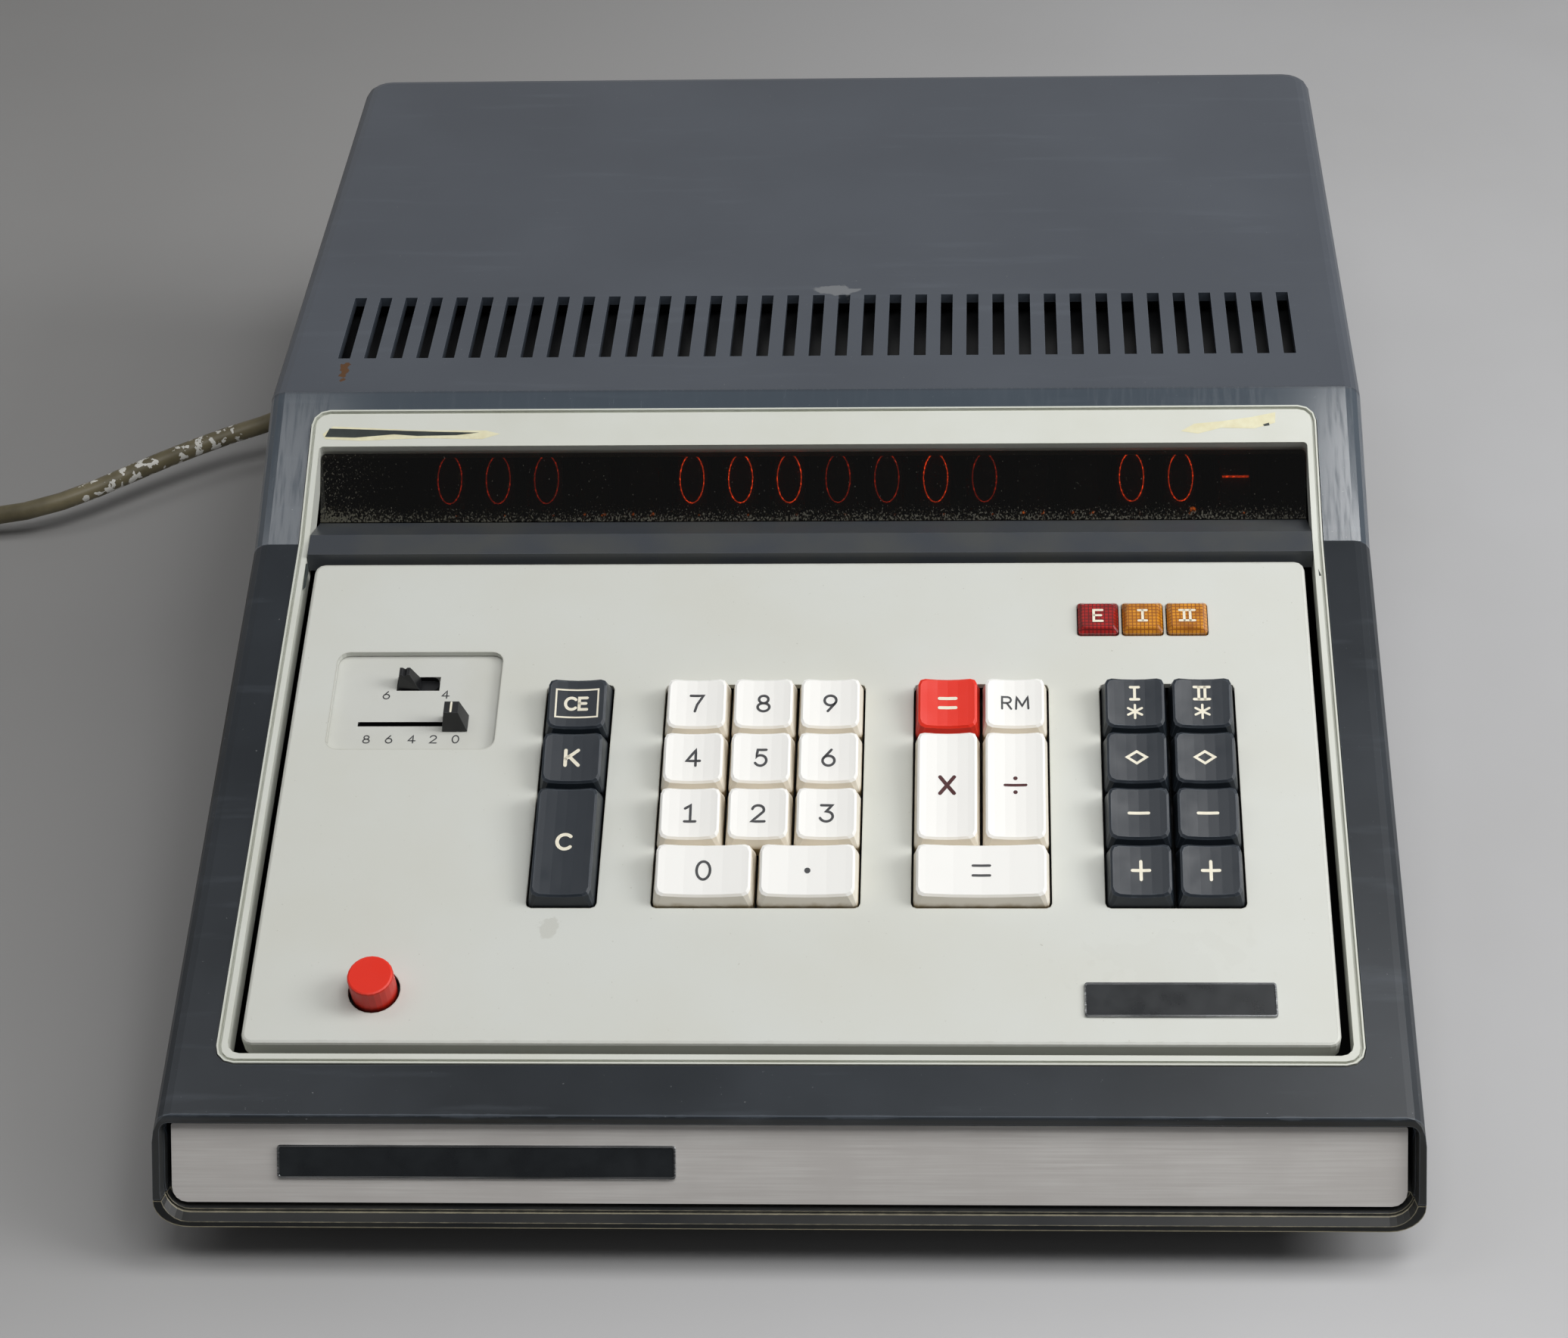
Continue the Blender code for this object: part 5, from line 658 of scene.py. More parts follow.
# Oxidised nickel sheet: dark brown and dull
ANODE = MouldedPlastic("dark_anode_metal", "#2c1b13", "#422a1a", roughness=0.5, blotch_size=3.0)
# Second-shot plastic and printing ink: flat tones, barely glossier than what they lie on
DARK_INK = MouldedPlastic("dark_grey_legend", "#37383b", "#454547", roughness=0.45, blotch_size=2.0)
WARM_INK = MouldedPlastic("maroon_legend", "#451a1c", "#572426", roughness=0.45, blotch_size=2.0)
CREAM_INK = MouldedPlastic("cream_legend", "#efe9d6", "#e0d8c0", blotch_size=2.0)
# Dried glue: yellowed, matt, ragged
RESIDUE = MouldedPlastic("cream_glue_residue", "#e3dfbf", "#cfc49a", roughness=0.6, blotch_size=3.0)
# Bare undercoat where the pale face has chipped: dark and smooth
BARE = MouldedPlastic("bare_dark_chip", "#2a302f", "#3c4440", roughness=0.35, blotch_size=4.0)
# Extruded PVC: olive, dirty and half matt
CORD = PvcCord("olive_pvc_sheath")
# Wood-pulp paper off a roll: grey and quite matt
PAPER = StudioPaper("grey_background_paper")


# Places


@dataclass(frozen=True)
class Plane:
    """A sloping face: local X to the right, local Y up the slope, local Z out of the face."""

    y: float
    z: float
    slope: float

    @property
    def angle(self) -> float:
        """The slope in radians."""
        return math.radians(self.slope)

    @property
    def matrix(self) -> Matrix:
        """The plane's frame in metres."""
        return Matrix.Translation((0, self.y * MM, self.z * MM)) @ Matrix.Rotation(self.angle, 4, "X")

    @property
    def normal(self) -> Vector:
        """The direction out of the face."""
        return self.matrix.to_3x3() @ Vector((0, 0, 1))

    def point(self, x: float, s: float, h: float = 0.0) -> Vector:
        """Return the point, in metres, at x, s up the slope and h off it, all in millimetres."""
        return self.matrix @ Vector((x * MM, s * MM, h * MM))


@dataclass(frozen=True)
class CaseOutline:
    """Side outline of the case, from the front crease back, which places everything on it."""

    chin_length: float = 30.0
    chin_slope: float = 55.7
    keyboard_length: float = 194.5
    keyboard_slope: float = 14.7
    facet_length: float = 53.5
    facet_slope: float = 25.3
    deck_length: float = 205.6
    foot_height: float = 15.0
    half_width: float = 167.0
    window_foot: tuple[float, float] = (13.2, -10.0)
    window_top: tuple[float, float] = (32.7, -2.2)

    def _step(self, length: float, slope: float) -> tuple[float, float]:
        """Return a face's run and rise."""
        return length * math.cos(math.radians(slope)), length * math.sin(math.radians(slope))

    @property
    def crease(self) -> tuple[float, float]:
        """Y and Z of the front crease."""
        chin = self._step(self.chin_length, self.chin_slope)
        keys = self._step(self.keyboard_length, self.keyboard_slope)
        facet = self._step(self.facet_length, self.facet_slope)
        depth = chin[0] + keys[0] + facet[0] + self.deck_length
        return chin[0] - depth / 2, self.foot_height + chin[1]

    @property
    def chin(self) -> Plane:
        """The front face, counted from the front crease and negative downwards."""
        return Plane(*self.crease, self.chin_slope)

    @property
    def keyboard(self) -> Plane:
        """The keyboard's slope, counted from the front crease."""
        return Plane(*self.crease, self.keyboard_slope)

    @property
    def facet(self) -> Plane:
        """The display's slope, counted from the lower bend."""
        run, rise = self._step(self.keyboard_length, self.keyboard_slope)
        return Plane(self.crease[0] + run, self.crease[1] + rise, self.facet_slope)

    @property
    def upper_bend(self) -> tuple[float, float]:
        """Y and Z of the bend between the display's slope and the deck."""
        run, rise = self._step(self.facet_length, self.facet_slope)
        return self.facet.y + run, self.facet.z + rise

    @property
    def deck_z(self) -> float:
        """Height of the deck."""
        return self.upper_bend[1]

    @property
    def window(self) -> Plane:
        """The window's front face, counted from its foot."""
        foot = self.facet.point(0, *self.window_foot) / MM
        top = self.facet.point(0, *self.window_top) / MM
        return Plane(foot.y, foot.z, math.degrees(math.atan2(top.z - foot.z, top.y - foot.y)))


# Height, in millimetres, from which a surface is probed: over all keys, under nothing
PROBE_HEIGHT = 30.0


class Surface:
    """A CAD node's surface, on which legends and patches are laid."""

    def __init__(self, node: Object, plane: Plane, lift: float = 0.05) -> None:
        """Read the node's faces.

        Args:
            node: The CAD node.
            plane: The face that the pieces are laid out on.
            lift: Height over the surface, in millimetres.
        """
        data = node.data
        self.plane = plane
        self.lift = lift
        self.tree = BVHTree.FromPolygons([v.co for v in data.vertices], [p.vertices for p in data.polygons])

    def drop(self, x: float, s: float) -> Vector:
        """Find the point of the surface over a place on the face.

        Args:
            x: The place's distance from the middle, in millimetres.
            s: Its distance up the slope, in millimetres.

        Returns:
            The point in metres, raised by the lift.
        """
        normal = self.plane.normal
        hit = self.tree.ray_cast(self.plane.point(x, s, PROBE_HEIGHT), -normal)[0]
        return (hit or self.plane.point(x, s)) + normal * self.lift * MM


# Mesh helpers

SHARP_ANGLE = math.radians(35)
CORNER_STEP = 22.5
# Millimetres between a stroke's points, and how far a mitre may reach, as the cosine of its half angle
STROKE_STEP = 1.2
MITRE_LIMIT = 0.55


def add_object(name: str, data: ID) -> Object:
    """Put a new object with that data in the scene and return it."""
    made = bpy.data.objects.new(name, data)
    bpy.context.scene.collection.objects.link(made)
    return made


def shape(name: str, mesh: BMesh, finish: Finish) -> Object:
    """Make an object of a mesh, with its edges sharp where they turn far.

    Args:
        name: The object's name.
        mesh: Its mesh, in metres, which is freed.
        finish: Its finish.

    Returns:
        The new object.
    """
    data = bpy.data.meshes.new(name)
    mesh.to_mesh(data)
    mesh.free()
    data.shade_smooth()
    data.set_sharp_from_angle(angle=SHARP_ANGLE)
    data.materials.append(finish.material())
    return add_object(name, data)


def piece(name: str, mesh: BMesh, finish: Finish, body: str = "case") -> Object:
    """Make an object of a mesh in the row frame and let it ride on a body.

    Args:
        name: The piece's name.
        mesh: Its mesh, in metres, which is freed.
        finish: Its finish.
        body: The body that carries it.

    Returns:
        The new object.
    """
    made = shape(name, mesh, finish)
    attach(made, body)
    return made


def wires(name: str, lines: Sequence[Sequence[Vector]], radius: float, finish: Finish, closed: bool = False,
          roundness: int = 1) -> Object:
    """Bend round wires along lines and let them ride on the case.

    Args:
        name: The piece's name.
        lines: The wires' centre lines in the row frame.
        radius: The wire's radius in millimetres.
        finish: Its finish.
        closed: Whether each wire joins its own start.
        roundness: How finely the wire's section is rounded.

    Returns:
        The new object.
    """
    data = bpy.data.curves.new(name, "CURVE")
    data.dimensions = "3D"
    data.bevel_depth = radius * MM
    data.bevel_resolution = roundness
    data.use_fill_caps = roundness > 1
    for line in lines:
        spline = data.splines.new("POLY")
        spline.points.add(len(line) - 1)
        spline.use_cyclic_u = closed
        for point, place in zip(spline.points, line):
            point.co = (*place, 1.0)
    data.materials.append(finish.material())
    made = add_object(name, data)
    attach(made, "case")
    return made


def arc(x: float, y: float, rx: float, ry: float, start: float, end: float, step: float = 15.0) -> list:
    """Lay points on part of an ellipse.

    Args:
        x: The centre's first coordinate.
        y: Its second coordinate.
        rx: The half axis along the first coordinate.
        ry: The other half axis.
        start: The first point's angle in degrees.
        end: The last point's angle.
        step: The angle wanted between points.

    Returns:
        The points, ends included.
    """
    count = max(2, round(abs(end - start) / step))
    angles = [math.radians(start + (end - start) * index / count) for index in range(count + 1)]
    return [(x + rx * math.cos(a), y + ry * math.sin(a)) for a in angles]


def resample(line: Line, step: float) -> list[Vector]:
    """Put more points on a line.

    Args:
        line: The line's points.
        step: The largest distance between the new ones.

    Returns:
        The old points with the new ones between them.
    """
    points = [Vector(p) for p in line]
    fine = [points[0]]
    for before, after in zip(points, points[1:]):
        count = max(1, math.ceil((after - before).length / step))
        fine.extend(before.lerp(after, index / count) for index in range(1, count + 1))
    return fine


def ribbon(mesh: BMesh, line: Line, width: float, drop: Drop,
           closed: bool = False) -> None:
    """Add a flat stroke with round ends, laid on a surface.

    Args:
        mesh: The mesh that takes it.
        line: Its centre line, in millimetres on the face.
        width: Its width in millimetres.
        drop: Gives the surface point over a place on the face.
        closed: Whether the line ends where it starts.
    """
    points = resample(line, STROKE_STEP)
    if closed and (points[0] - points[-1]).length < 0.001:
        points.pop()
    count = len(points)
    half = width / 2
    rails = []
    for index, point in enumerate(points):
        before = points[index - 1] if index or closed else point
        after = points[(index + 1) % count] if index + 1 < count or closed else point
        first = (point - before).normalized() if (point - before).length > 0 else None
        last = (after - point).normalized() if (after - point).length > 0 else None
        along = ((first or last) + (last or first)).normalized()
        side = Vector((-along.y, along.x))
        spread = half / max(MITRE_LIMIT, side.dot(Vector((-(last or first).y, (last or first).x))))
        rails.append((point + side * spread, point - side * spread, along))
    verts = [[mesh.verts.new(drop(*p)) for p in rail[:2]] for rail in rails]
    for index in range(count if closed else count - 1):
        a, b = verts[index], verts[(index + 1) % count]
        mesh.faces.new((a[1], b[1], b[0], a[0]))
    if closed:
        return
    for index, sign in ((0, -1), (count - 1, 1)):
        centre, along = points[index], rails[index][2] * sign
        side = Vector((-along.y, along.x))
        turn = [centre + side * half * math.cos(t) + along * half * math.sin(t)
                for t in (math.pi * k / 6 for k in range(1, 6))]
        cap = [mesh.verts.new(drop(*p)) for p in turn]
        left, right = (verts[index][0], verts[index][1]) if sign > 0 else (verts[index][1], verts[index][0])
        mesh.faces.new([left, *cap, right][::-1])


def polygon(mesh: BMesh, outline: Line, drop: Drop) -> None:
    """Add a flat patch with that outline, laid on a surface."""
    mesh.faces.new([mesh.verts.new(drop(x, s)) for x, s in outline])


def rounded(left: float, right: float, low: float, high: float, radius: float) -> list:
    """Draw a rectangle with round corners.

    Args:
        left: Its left edge.
        right: Its right edge.
        low: Its lower edge.
        high: Its upper edge.
        radius: The corners' radius.

    Returns:
        Its points, counter-clockwise.
    """
    corners = ((right - radius, low + radius, -90), (right - radius, high - radius, 0),
               (left + radius, high - radius, 90), (left + radius, low + radius, 180))
    points = []
    for x, y, start in corners:
        points += arc(x, y, radius, radius, start, start + 90, CORNER_STEP)
    return points


def loft(mesh: BMesh, rings: Sequence[Sequence[Vector]], cap_low: bool = True,
         cap_high: bool = True) -> None:
    """Join rings with faces.

    Args:
        mesh: The mesh that takes them.
        rings: Rings of as many points each, from the lowest up.
        cap_low: Whether the lowest ring is closed.
        cap_high: Whether the highest one is.
    """
    loops = [[mesh.verts.new(point) for point in ring] for ring in rings]
    for low, high in zip(loops, loops[1:]):
        for index in range(len(low)):
            after = (index + 1) % len(low)
            mesh.faces.new((low[index], low[after], high[after], high[index]))
    if cap_low:
        mesh.faces.new(loops[0][::-1])
    if cap_high:
        mesh.faces.new(loops[-1])


def turned(mesh: BMesh, place: Matrix, profile: Line, sides: int) -> None:
    """Turn a profile about a place's local Z.

    Args:
        mesh: The mesh that takes the turned body.
        place: Its frame in metres.
        profile: Radius and height of each ring in millimetres, from one end to the other.
        sides: How many sides each ring has.
    """
    rings = []
    for radius, height in profile:
        angles = [math.tau * index / sides for index in range(sides)]
        rings.append([place @ Vector((radius * math.cos(a) * MM, radius * math.sin(a) * MM, height * MM))
                      for a in angles])
    loft(mesh, rings)


# Legends


class Symbol(Enum):
    """Signs that aren't letters or numerals."""

    POINT = "point"
    EQUALS = "equals"
    TIMES = "times"
    DIVIDE = "divide"
    MINUS = "minus"
    PLUS = "plus"
    STAR = "star"
    DIAMOND = "diamond"
    ONE = "one"
    TWO = "two"


# The divide sign's half bar and the rise of its dots, as shares of its height, and the dots' radius
DIVIDE_BAR = 0.44
DIVIDE_RISE = 0.34
DIVIDE_DOT = 0.62
# Strokes in a box one high and one wide; each entry gives the width for a height of one, then the lines
GLYPHS: dict[str, tuple[float, tuple]] = {
    "0": (0.70, (arc(0.5, 0.5, 0.5, 0.5, 90, 450),)),
    "1": (0.66, ([(0.08, 0.80), (0.55, 1.0), (0.55, 0.0)], [(0.05, 0.0), (1.0, 0.0)])),
    "2": (0.74, (arc(0.49, 0.72, 0.45, 0.28, 170, -25) + [(0.0, 0.0), (1.0, 0.0)],)),
    "3": (0.76, ([(0.08, 1.0), (0.92, 1.0), (0.45, 0.62)] + arc(0.47, 0.31, 0.49, 0.31, 80, -160),)),
    "4": (0.76, ([(0.68, 0.0), (0.68, 1.0), (0.0, 0.30), (1.0, 0.30)],)),
    "5": (0.72, ([(0.92, 1.0), (0.24, 1.0), (0.12, 0.53)] + arc(0.46, 0.33, 0.48, 0.33, 130, -150),)),
    "6": (0.72, ([(0.72, 1.0), (0.14, 0.52)] + arc(0.5, 0.31, 0.48, 0.31, 140, -220),)),
    "7": (0.74, ([(0.0, 1.0), (1.0, 1.0), (0.52, 0.42), (0.36, 0.0)],)),
    "8": (0.72, (arc(0.5, 0.76, 0.38, 0.24, -90, 270), arc(0.5, 0.26, 0.48, 0.26, 90, 450))),
    "9": (0.72, (arc(0.5, 0.69, 0.48, 0.31, -40, 320) + [(0.86, 0.48), (0.30, 0.0)],)),
    "C": (0.86, (arc(0.55, 0.5, 0.55, 0.5, 45, 315),)),
    "E": (0.62, ([(1.0, 1.0), (0.0, 1.0), (0.0, 0.0), (1.0, 0.0)], [(0.0, 0.52), (0.85, 0.52)])),
    "K": (0.80, ([(0.0, 1.0), (0.0, 0.0)], [(0.95, 1.0), (0.0, 0.42)], [(0.30, 0.58), (1.0, 0.0)])),
    "M": (0.95, ([(0.0, 0.0), (0.05, 1.0), (0.5, 0.25), (0.95, 1.0), (1.0, 0.0)],)),
    "R": (0.70, ([(0.0, 0.0), (0.0, 1.0), (0.55, 1.0)] + arc(0.55, 0.75, 0.42, 0.25, 80, -90)
                 + [(0.0, 0.5)], [(0.5, 0.5), (1.0, 0.0)])),
    Symbol.EQUALS.value: (1.6, ([(0.0, 1.0), (1.0, 1.0)], [(0.0, 0.0), (1.0, 0.0)])),
    Symbol.TIMES.value: (0.74, ([(0.0, 0.0), (1.0, 1.0)], [(0.0, 1.0), (1.0, 0.0)])),
    Symbol.MINUS.value: (1.0, ([(0.0, 0.5), (1.0, 0.5)],)),
    Symbol.PLUS.value: (0.88, ([(0.0, 0.5), (1.0, 0.5)], [(0.5, 0.0), (0.5, 1.0)])),
    Symbol.STAR.value: (0.95, ([(0.5, 0.0), (0.5, 1.0)], [(0.0, 0.25), (1.0, 0.75)],
                               [(0.0, 0.75), (1.0, 0.25)])),
    Symbol.DIAMOND.value: (1.5, ([(0.0, 0.5), (0.5, 0.0), (1.0, 0.5), (0.5, 1.0), (0.0, 0.5)],)),
    Symbol.ONE.value: (0.62, ([(0.5, 0.0), (0.5, 1.0)], [(0.0, 1.0), (1.0, 1.0)], [(0.0, 0.0), (1.0, 0.0)])),
    Symbol.TWO.value: (1.15, ([(0.30, 0.0), (0.30, 1.0)], [(0.70, 0.0), (0.70, 1.0)],
                              [(0.0, 1.0), (1.0, 1.0)], [(0.0, 0.0), (1.0, 0.0)])),
}


@dataclass(frozen=True)
class Mark:
    """One sign of a legend: what, where on the key, and how large, in millimetres."""

    sign: str
    x: float = 0.0
    y: float = 0.0
    height: float = 5.4
    stroke: float = 0.74

    def draw(self, mesh: BMesh, centre: tuple[float, float],
             drop: Drop) -> None:
        """Add the sign's strokes.

        Args:
            mesh: The mesh that takes them.
            centre: The legend's centre on the face.
            drop: Gives the surface point over a place on the face.
        """
        x, y = centre[0] + self.x, centre[1] + self.y
        if self.sign == Symbol.POINT.value:
            polygon(mesh, arc(x, y, self.height / 2, self.height / 2, 0, 345), drop)
            return
        if self.sign == Symbol.DIVIDE.value:
            reach = self.height * DIVIDE_BAR
            ribbon(mesh, [(x - reach, y), (x + reach, y)], self.stroke, drop)
            for sign in (-1, 1):
                dot = arc(x, y + sign * self.height * DIVIDE_RISE, DIVIDE_DOT, DIVIDE_DOT, 0, 330, 30)
                polygon(mesh, dot, drop)
            return
        share, lines = GLYPHS[self.sign]
        width = self.height * share
        for line in lines:
            placed = [(x + (px - 0.5) * width, y + (py - 0.5) * self.height) for px, py in line]
            closed = math.dist(placed[0], placed[-1]) < 0.01
            ribbon(mesh, placed, self.stroke, drop, closed)


# Sub-assemblies


@dataclass
class Assembly:
    """A sub-assembly: the CAD nodes that it dresses, and the outline that places its pieces."""

    nodes: dict[str, Object]
    outline: CaseOutline = field(default_factory=CaseOutline)

    def dress(self, finishes: dict[str, Finish]) -> None:
        """Give nodes their finishes, each in every material slot.

        Args:
            finishes: The finishes by the nodes' names.
        """
        for name, finish in finishes.items():
            node = self.nodes[name]
            if not node.material_slots:
                node.data.materials.append(None)
            for entry in node.material_slots:
                entry.material = finish.material()


@dataclass
class Housing(Assembly):
    """Cover, pan, front strip, inner frame, feet, bare plates, wear patches and screws."""

    strip_face: float = -2.4
    panel_face: float = 0.2
    front_plate: tuple[float, float, float, float] = (-134.2, -28.7, -17.3, -8.4)
    panel_plate: tuple[float, float, float, float] = (79.0, 130.3, 30.0, 40.65)
    plate_height: float = 0.8
    plate_bevel: float = 0.15
    enamel_depth: float = 0.25
    # Inset and corner radius of the rim's outer edge, its lip, its inner edge and the enamel's edge
    plate_insets: Line = ((0.0, 0.9), (0.12, 0.8), (0.45, 0.6), (0.6, 0.5))
    patch_lift: float = 0.04
    chip_lift: float = 0.07
    # Outlines on the display's slope
    glue_spots: tuple = (
        ((-149.0, 38.2), (-146.0, 40.9), (-120.0, 39.4), (-99.0, 39.2), (-94.5, 38.0), (-100.0, 36.2),
         (-118.0, 36.6), (-137.0, 35.8), (-148.0, 36.4)),
        ((111.8, 37.8), (116.0, 40.4), (124.0, 41.2), (133.0, 42.6), (140.5, 44.3), (140.3, 40.6), (134.0, 38.6),
         (124.0, 38.9), (117.0, 36.9)))
    glue_chips: tuple = (
        ((-148.2, 37.2), (-147.0, 40.2), (-132.0, 39.6), (-115.0, 38.9), (-101.0, 38.5), (-108.0, 37.6),
         (-120.0, 37.4), (-127.0, 38.0), (-139.0, 36.9)),
        ((136.6, 40.0), (138.4, 40.6), (138.6, 39.7), (137.0, 39.4)))
    # Outlines on the keyboard's slope
    side_chips: tuple = (
        ((-149.6, 186.6), (-149.0, 187.4), (-148.4, 184.0), (-148.6, 178.0), (-149.3, 176.8)),
        ((150.6, 183.4), (151.4, 183.9), (151.3, 181.0), (150.7, 180.8)))
    screw_inset: float = 14.0
    screw_rows: tuple[float, float] = (-205.0, 215.0)
    screw_head: Line = ((3.4, 0.1), (3.4, -0.9), (3.0, -1.5), (1.6, -1.9))
    screw_slot: Triple = (1.5, 0.25, -1.95)
    screw_sides: int = 18

    def plate(self, name: str, plane: Plane, box: tuple[float, float, float, float], seat: float) -> None:
        """Add a bare plate: an enamelled field inside a thin bright rim.

        Args:
            name: The plate's name.
            plane: The face that carries it.
            box: Its left, right, lower and upper edges.
            seat: Height of its rear over the face.
        """
        left, right, low, high = box
        top = seat + self.plate_height
        enamel_top = top - self.enamel_depth
        outer, lip, inner, enamel = (rounded(left + inset, right - inset, low + inset, high - inset, radius)
                                     for inset, radius in self.plate_insets)
        mesh = bmesh.new()
        rings = (outer, seat), (outer, top - self.plate_bevel), (lip, top), (inner, top), (enamel, enamel_top)
        loft(mesh, [[plane.point(x, s, h) for x, s in ring] for ring, h in rings], cap_high=False)
        piece(name + "_rim", mesh, CHROME)
        mesh = bmesh.new()
        polygon(mesh, enamel, lambda x, s: plane.point(x, s, enamel_top - 0.01))
        piece(name + "_field", mesh, PLATE)

    def patches(self) -> None:
        """Lay the glue residue and the bare chips on the frame's upper band."""
        frame, facet, keyboard = self.nodes["inner_frame"], self.outline.facet, self.outline.keyboard
        glue_bed = Surface(frame, facet, self.patch_lift)
        chip_bed = Surface(frame, facet, self.chip_lift)
        side_bed = Surface(frame, keyboard, self.patch_lift)
        for name, finish, beds in (
                ("glue_residue", RESIDUE, ((self.glue_spots, glue_bed),)),
                ("bare_chips", BARE, ((self.glue_chips, chip_bed), (self.side_chips, side_bed)))):
            mesh = bmesh.new()
            for outlines, bed in beds:
                for outline in outlines:
                    polygon(mesh, outline, bed.drop)
            piece(name, mesh, finish)

    def screws(self) -> None:
        """Add the pan's fixing screws under the case, with a slot across each head."""
        mesh = bmesh.new()
        half = self.outline.half_width - self.screw_inset
        long, wide, depth = self.screw_slot
        for x in (-half, 0.0, half):
            for y in self.screw_rows:
                place = Matrix.Translation((x * MM, y * MM, self.outline.foot_height * MM))
                turned(mesh, place, self.screw_head, self.screw_sides)
                bar = ((-long, -wide), (long, -wide), (long, wide), (-long, wide))
                polygon(mesh, bar, lambda px, py: place @ Vector((px * MM, py * MM, depth * MM)))
        bmesh.ops.recalc_face_normals(mesh, faces=mesh.faces)
        piece("pan_screws", mesh, ZINC)

    def build(self) -> None:
        """Dress the housing and add its small pieces."""
        self.dress({"upper_cover": COVER, "lower_pan": PAN, "front_strip": STRIP, "inner_frame": FRAME,
                    "foot_front_left": RUBBER, "foot_front_right": RUBBER, "foot_rear_left": RUBBER,
                    "foot_rear_right": RUBBER})
        self.plate("front_plate", self.outline.chin, self.front_plate, self.strip_face)
        self.plate("panel_plate", self.outline.keyboard, self.panel_plate, self.panel_face)
        self.patches()
        self.screws()
        LOG.info("housing: dressed, with two bare plates, wear patches and screws")


class KeyTone(Enum):
    """The three colours of key cap."""

    WHITE = "white"
    NAVY = "navy"
    RED = "red"


@dataclass(frozen=True)
class Key:
    """One key: its node, tone and legend."""

    node: str
    tone: KeyTone
    marks: tuple[Mark, ...]
    ink: Finish


def numeral(digit: str) -> tuple[Mark, ...]:
    """Return the legend of a digit key."""
    return (Mark(digit, height=4.85 if digit != "0" else 5.3),)


def memory_marks(sign: Symbol) -> tuple[Mark, ...]:
    """Return the legend of a total key: the register's sign over a star."""
    return (Mark(sign.value, y=3.0, height=3.8, stroke=0.8),
            Mark(Symbol.STAR.value, y=-2.7, height=4.1, stroke=0.68))


KEYS: tuple[Key, ...] = (
    Key("key_clear_entry", KeyTone.NAVY, (Mark("C", -1.75, height=3.6, stroke=0.86),
                                          Mark("E", 1.75, height=3.6, stroke=0.86)), CREAM_INK),
    Key("key_constant", KeyTone.NAVY, (Mark("K", height=4.6, stroke=1.0),), CREAM_INK),
    Key("key_clear", KeyTone.NAVY, (Mark("C", height=4.6, stroke=1.0),), CREAM_INK),
    *(Key("key_" + d, KeyTone.WHITE, numeral(d), DARK_INK) for d in "7894561230"),
    Key("key_point", KeyTone.WHITE, (Mark(Symbol.POINT.value, height=1.7),), DARK_INK),
    Key("key_minus_equals", KeyTone.RED, (Mark(Symbol.EQUALS.value, height=2.9, stroke=0.95),), CREAM_INK),
    Key("key_recall", KeyTone.WHITE, (Mark("R", -2.3, height=3.7, stroke=0.58),
                                      Mark("M", 2.1, height=3.7, stroke=0.58)), DARK_INK),
    Key("key_multiply", KeyTone.WHITE, (Mark(Symbol.TIMES.value, height=5.3, stroke=1.1),), WARM_INK),
    Key("key_divide", KeyTone.WHITE, (Mark(Symbol.DIVIDE.value, height=6.6, stroke=0.85),), WARM_INK),
    Key("key_equals", KeyTone.WHITE, (Mark(Symbol.EQUALS.value, height=2.9, stroke=0.72),), DARK_INK),
    Key("key_total_1", KeyTone.NAVY, memory_marks(Symbol.ONE), CREAM_INK),
    Key("key_total_2", KeyTone.NAVY, memory_marks(Symbol.TWO), CREAM_INK),
    *(Key("key_subtotal_%d" % n, KeyTone.NAVY, (Mark(Symbol.DIAMOND.value, height=3.6, stroke=0.75),), CREAM_INK)
      for n in (1, 2)),
    *(Key("key_minus_%d" % n, KeyTone.NAVY, (Mark(Symbol.MINUS.value, height=5.4, stroke=0.85),), CREAM_INK)
      for n in (1, 2)),
    *(Key("key_plus_%d" % n, KeyTone.NAVY, (Mark(Symbol.PLUS.value, height=5.3, stroke=0.9),), CREAM_INK)
      for n in (1, 2)),
)


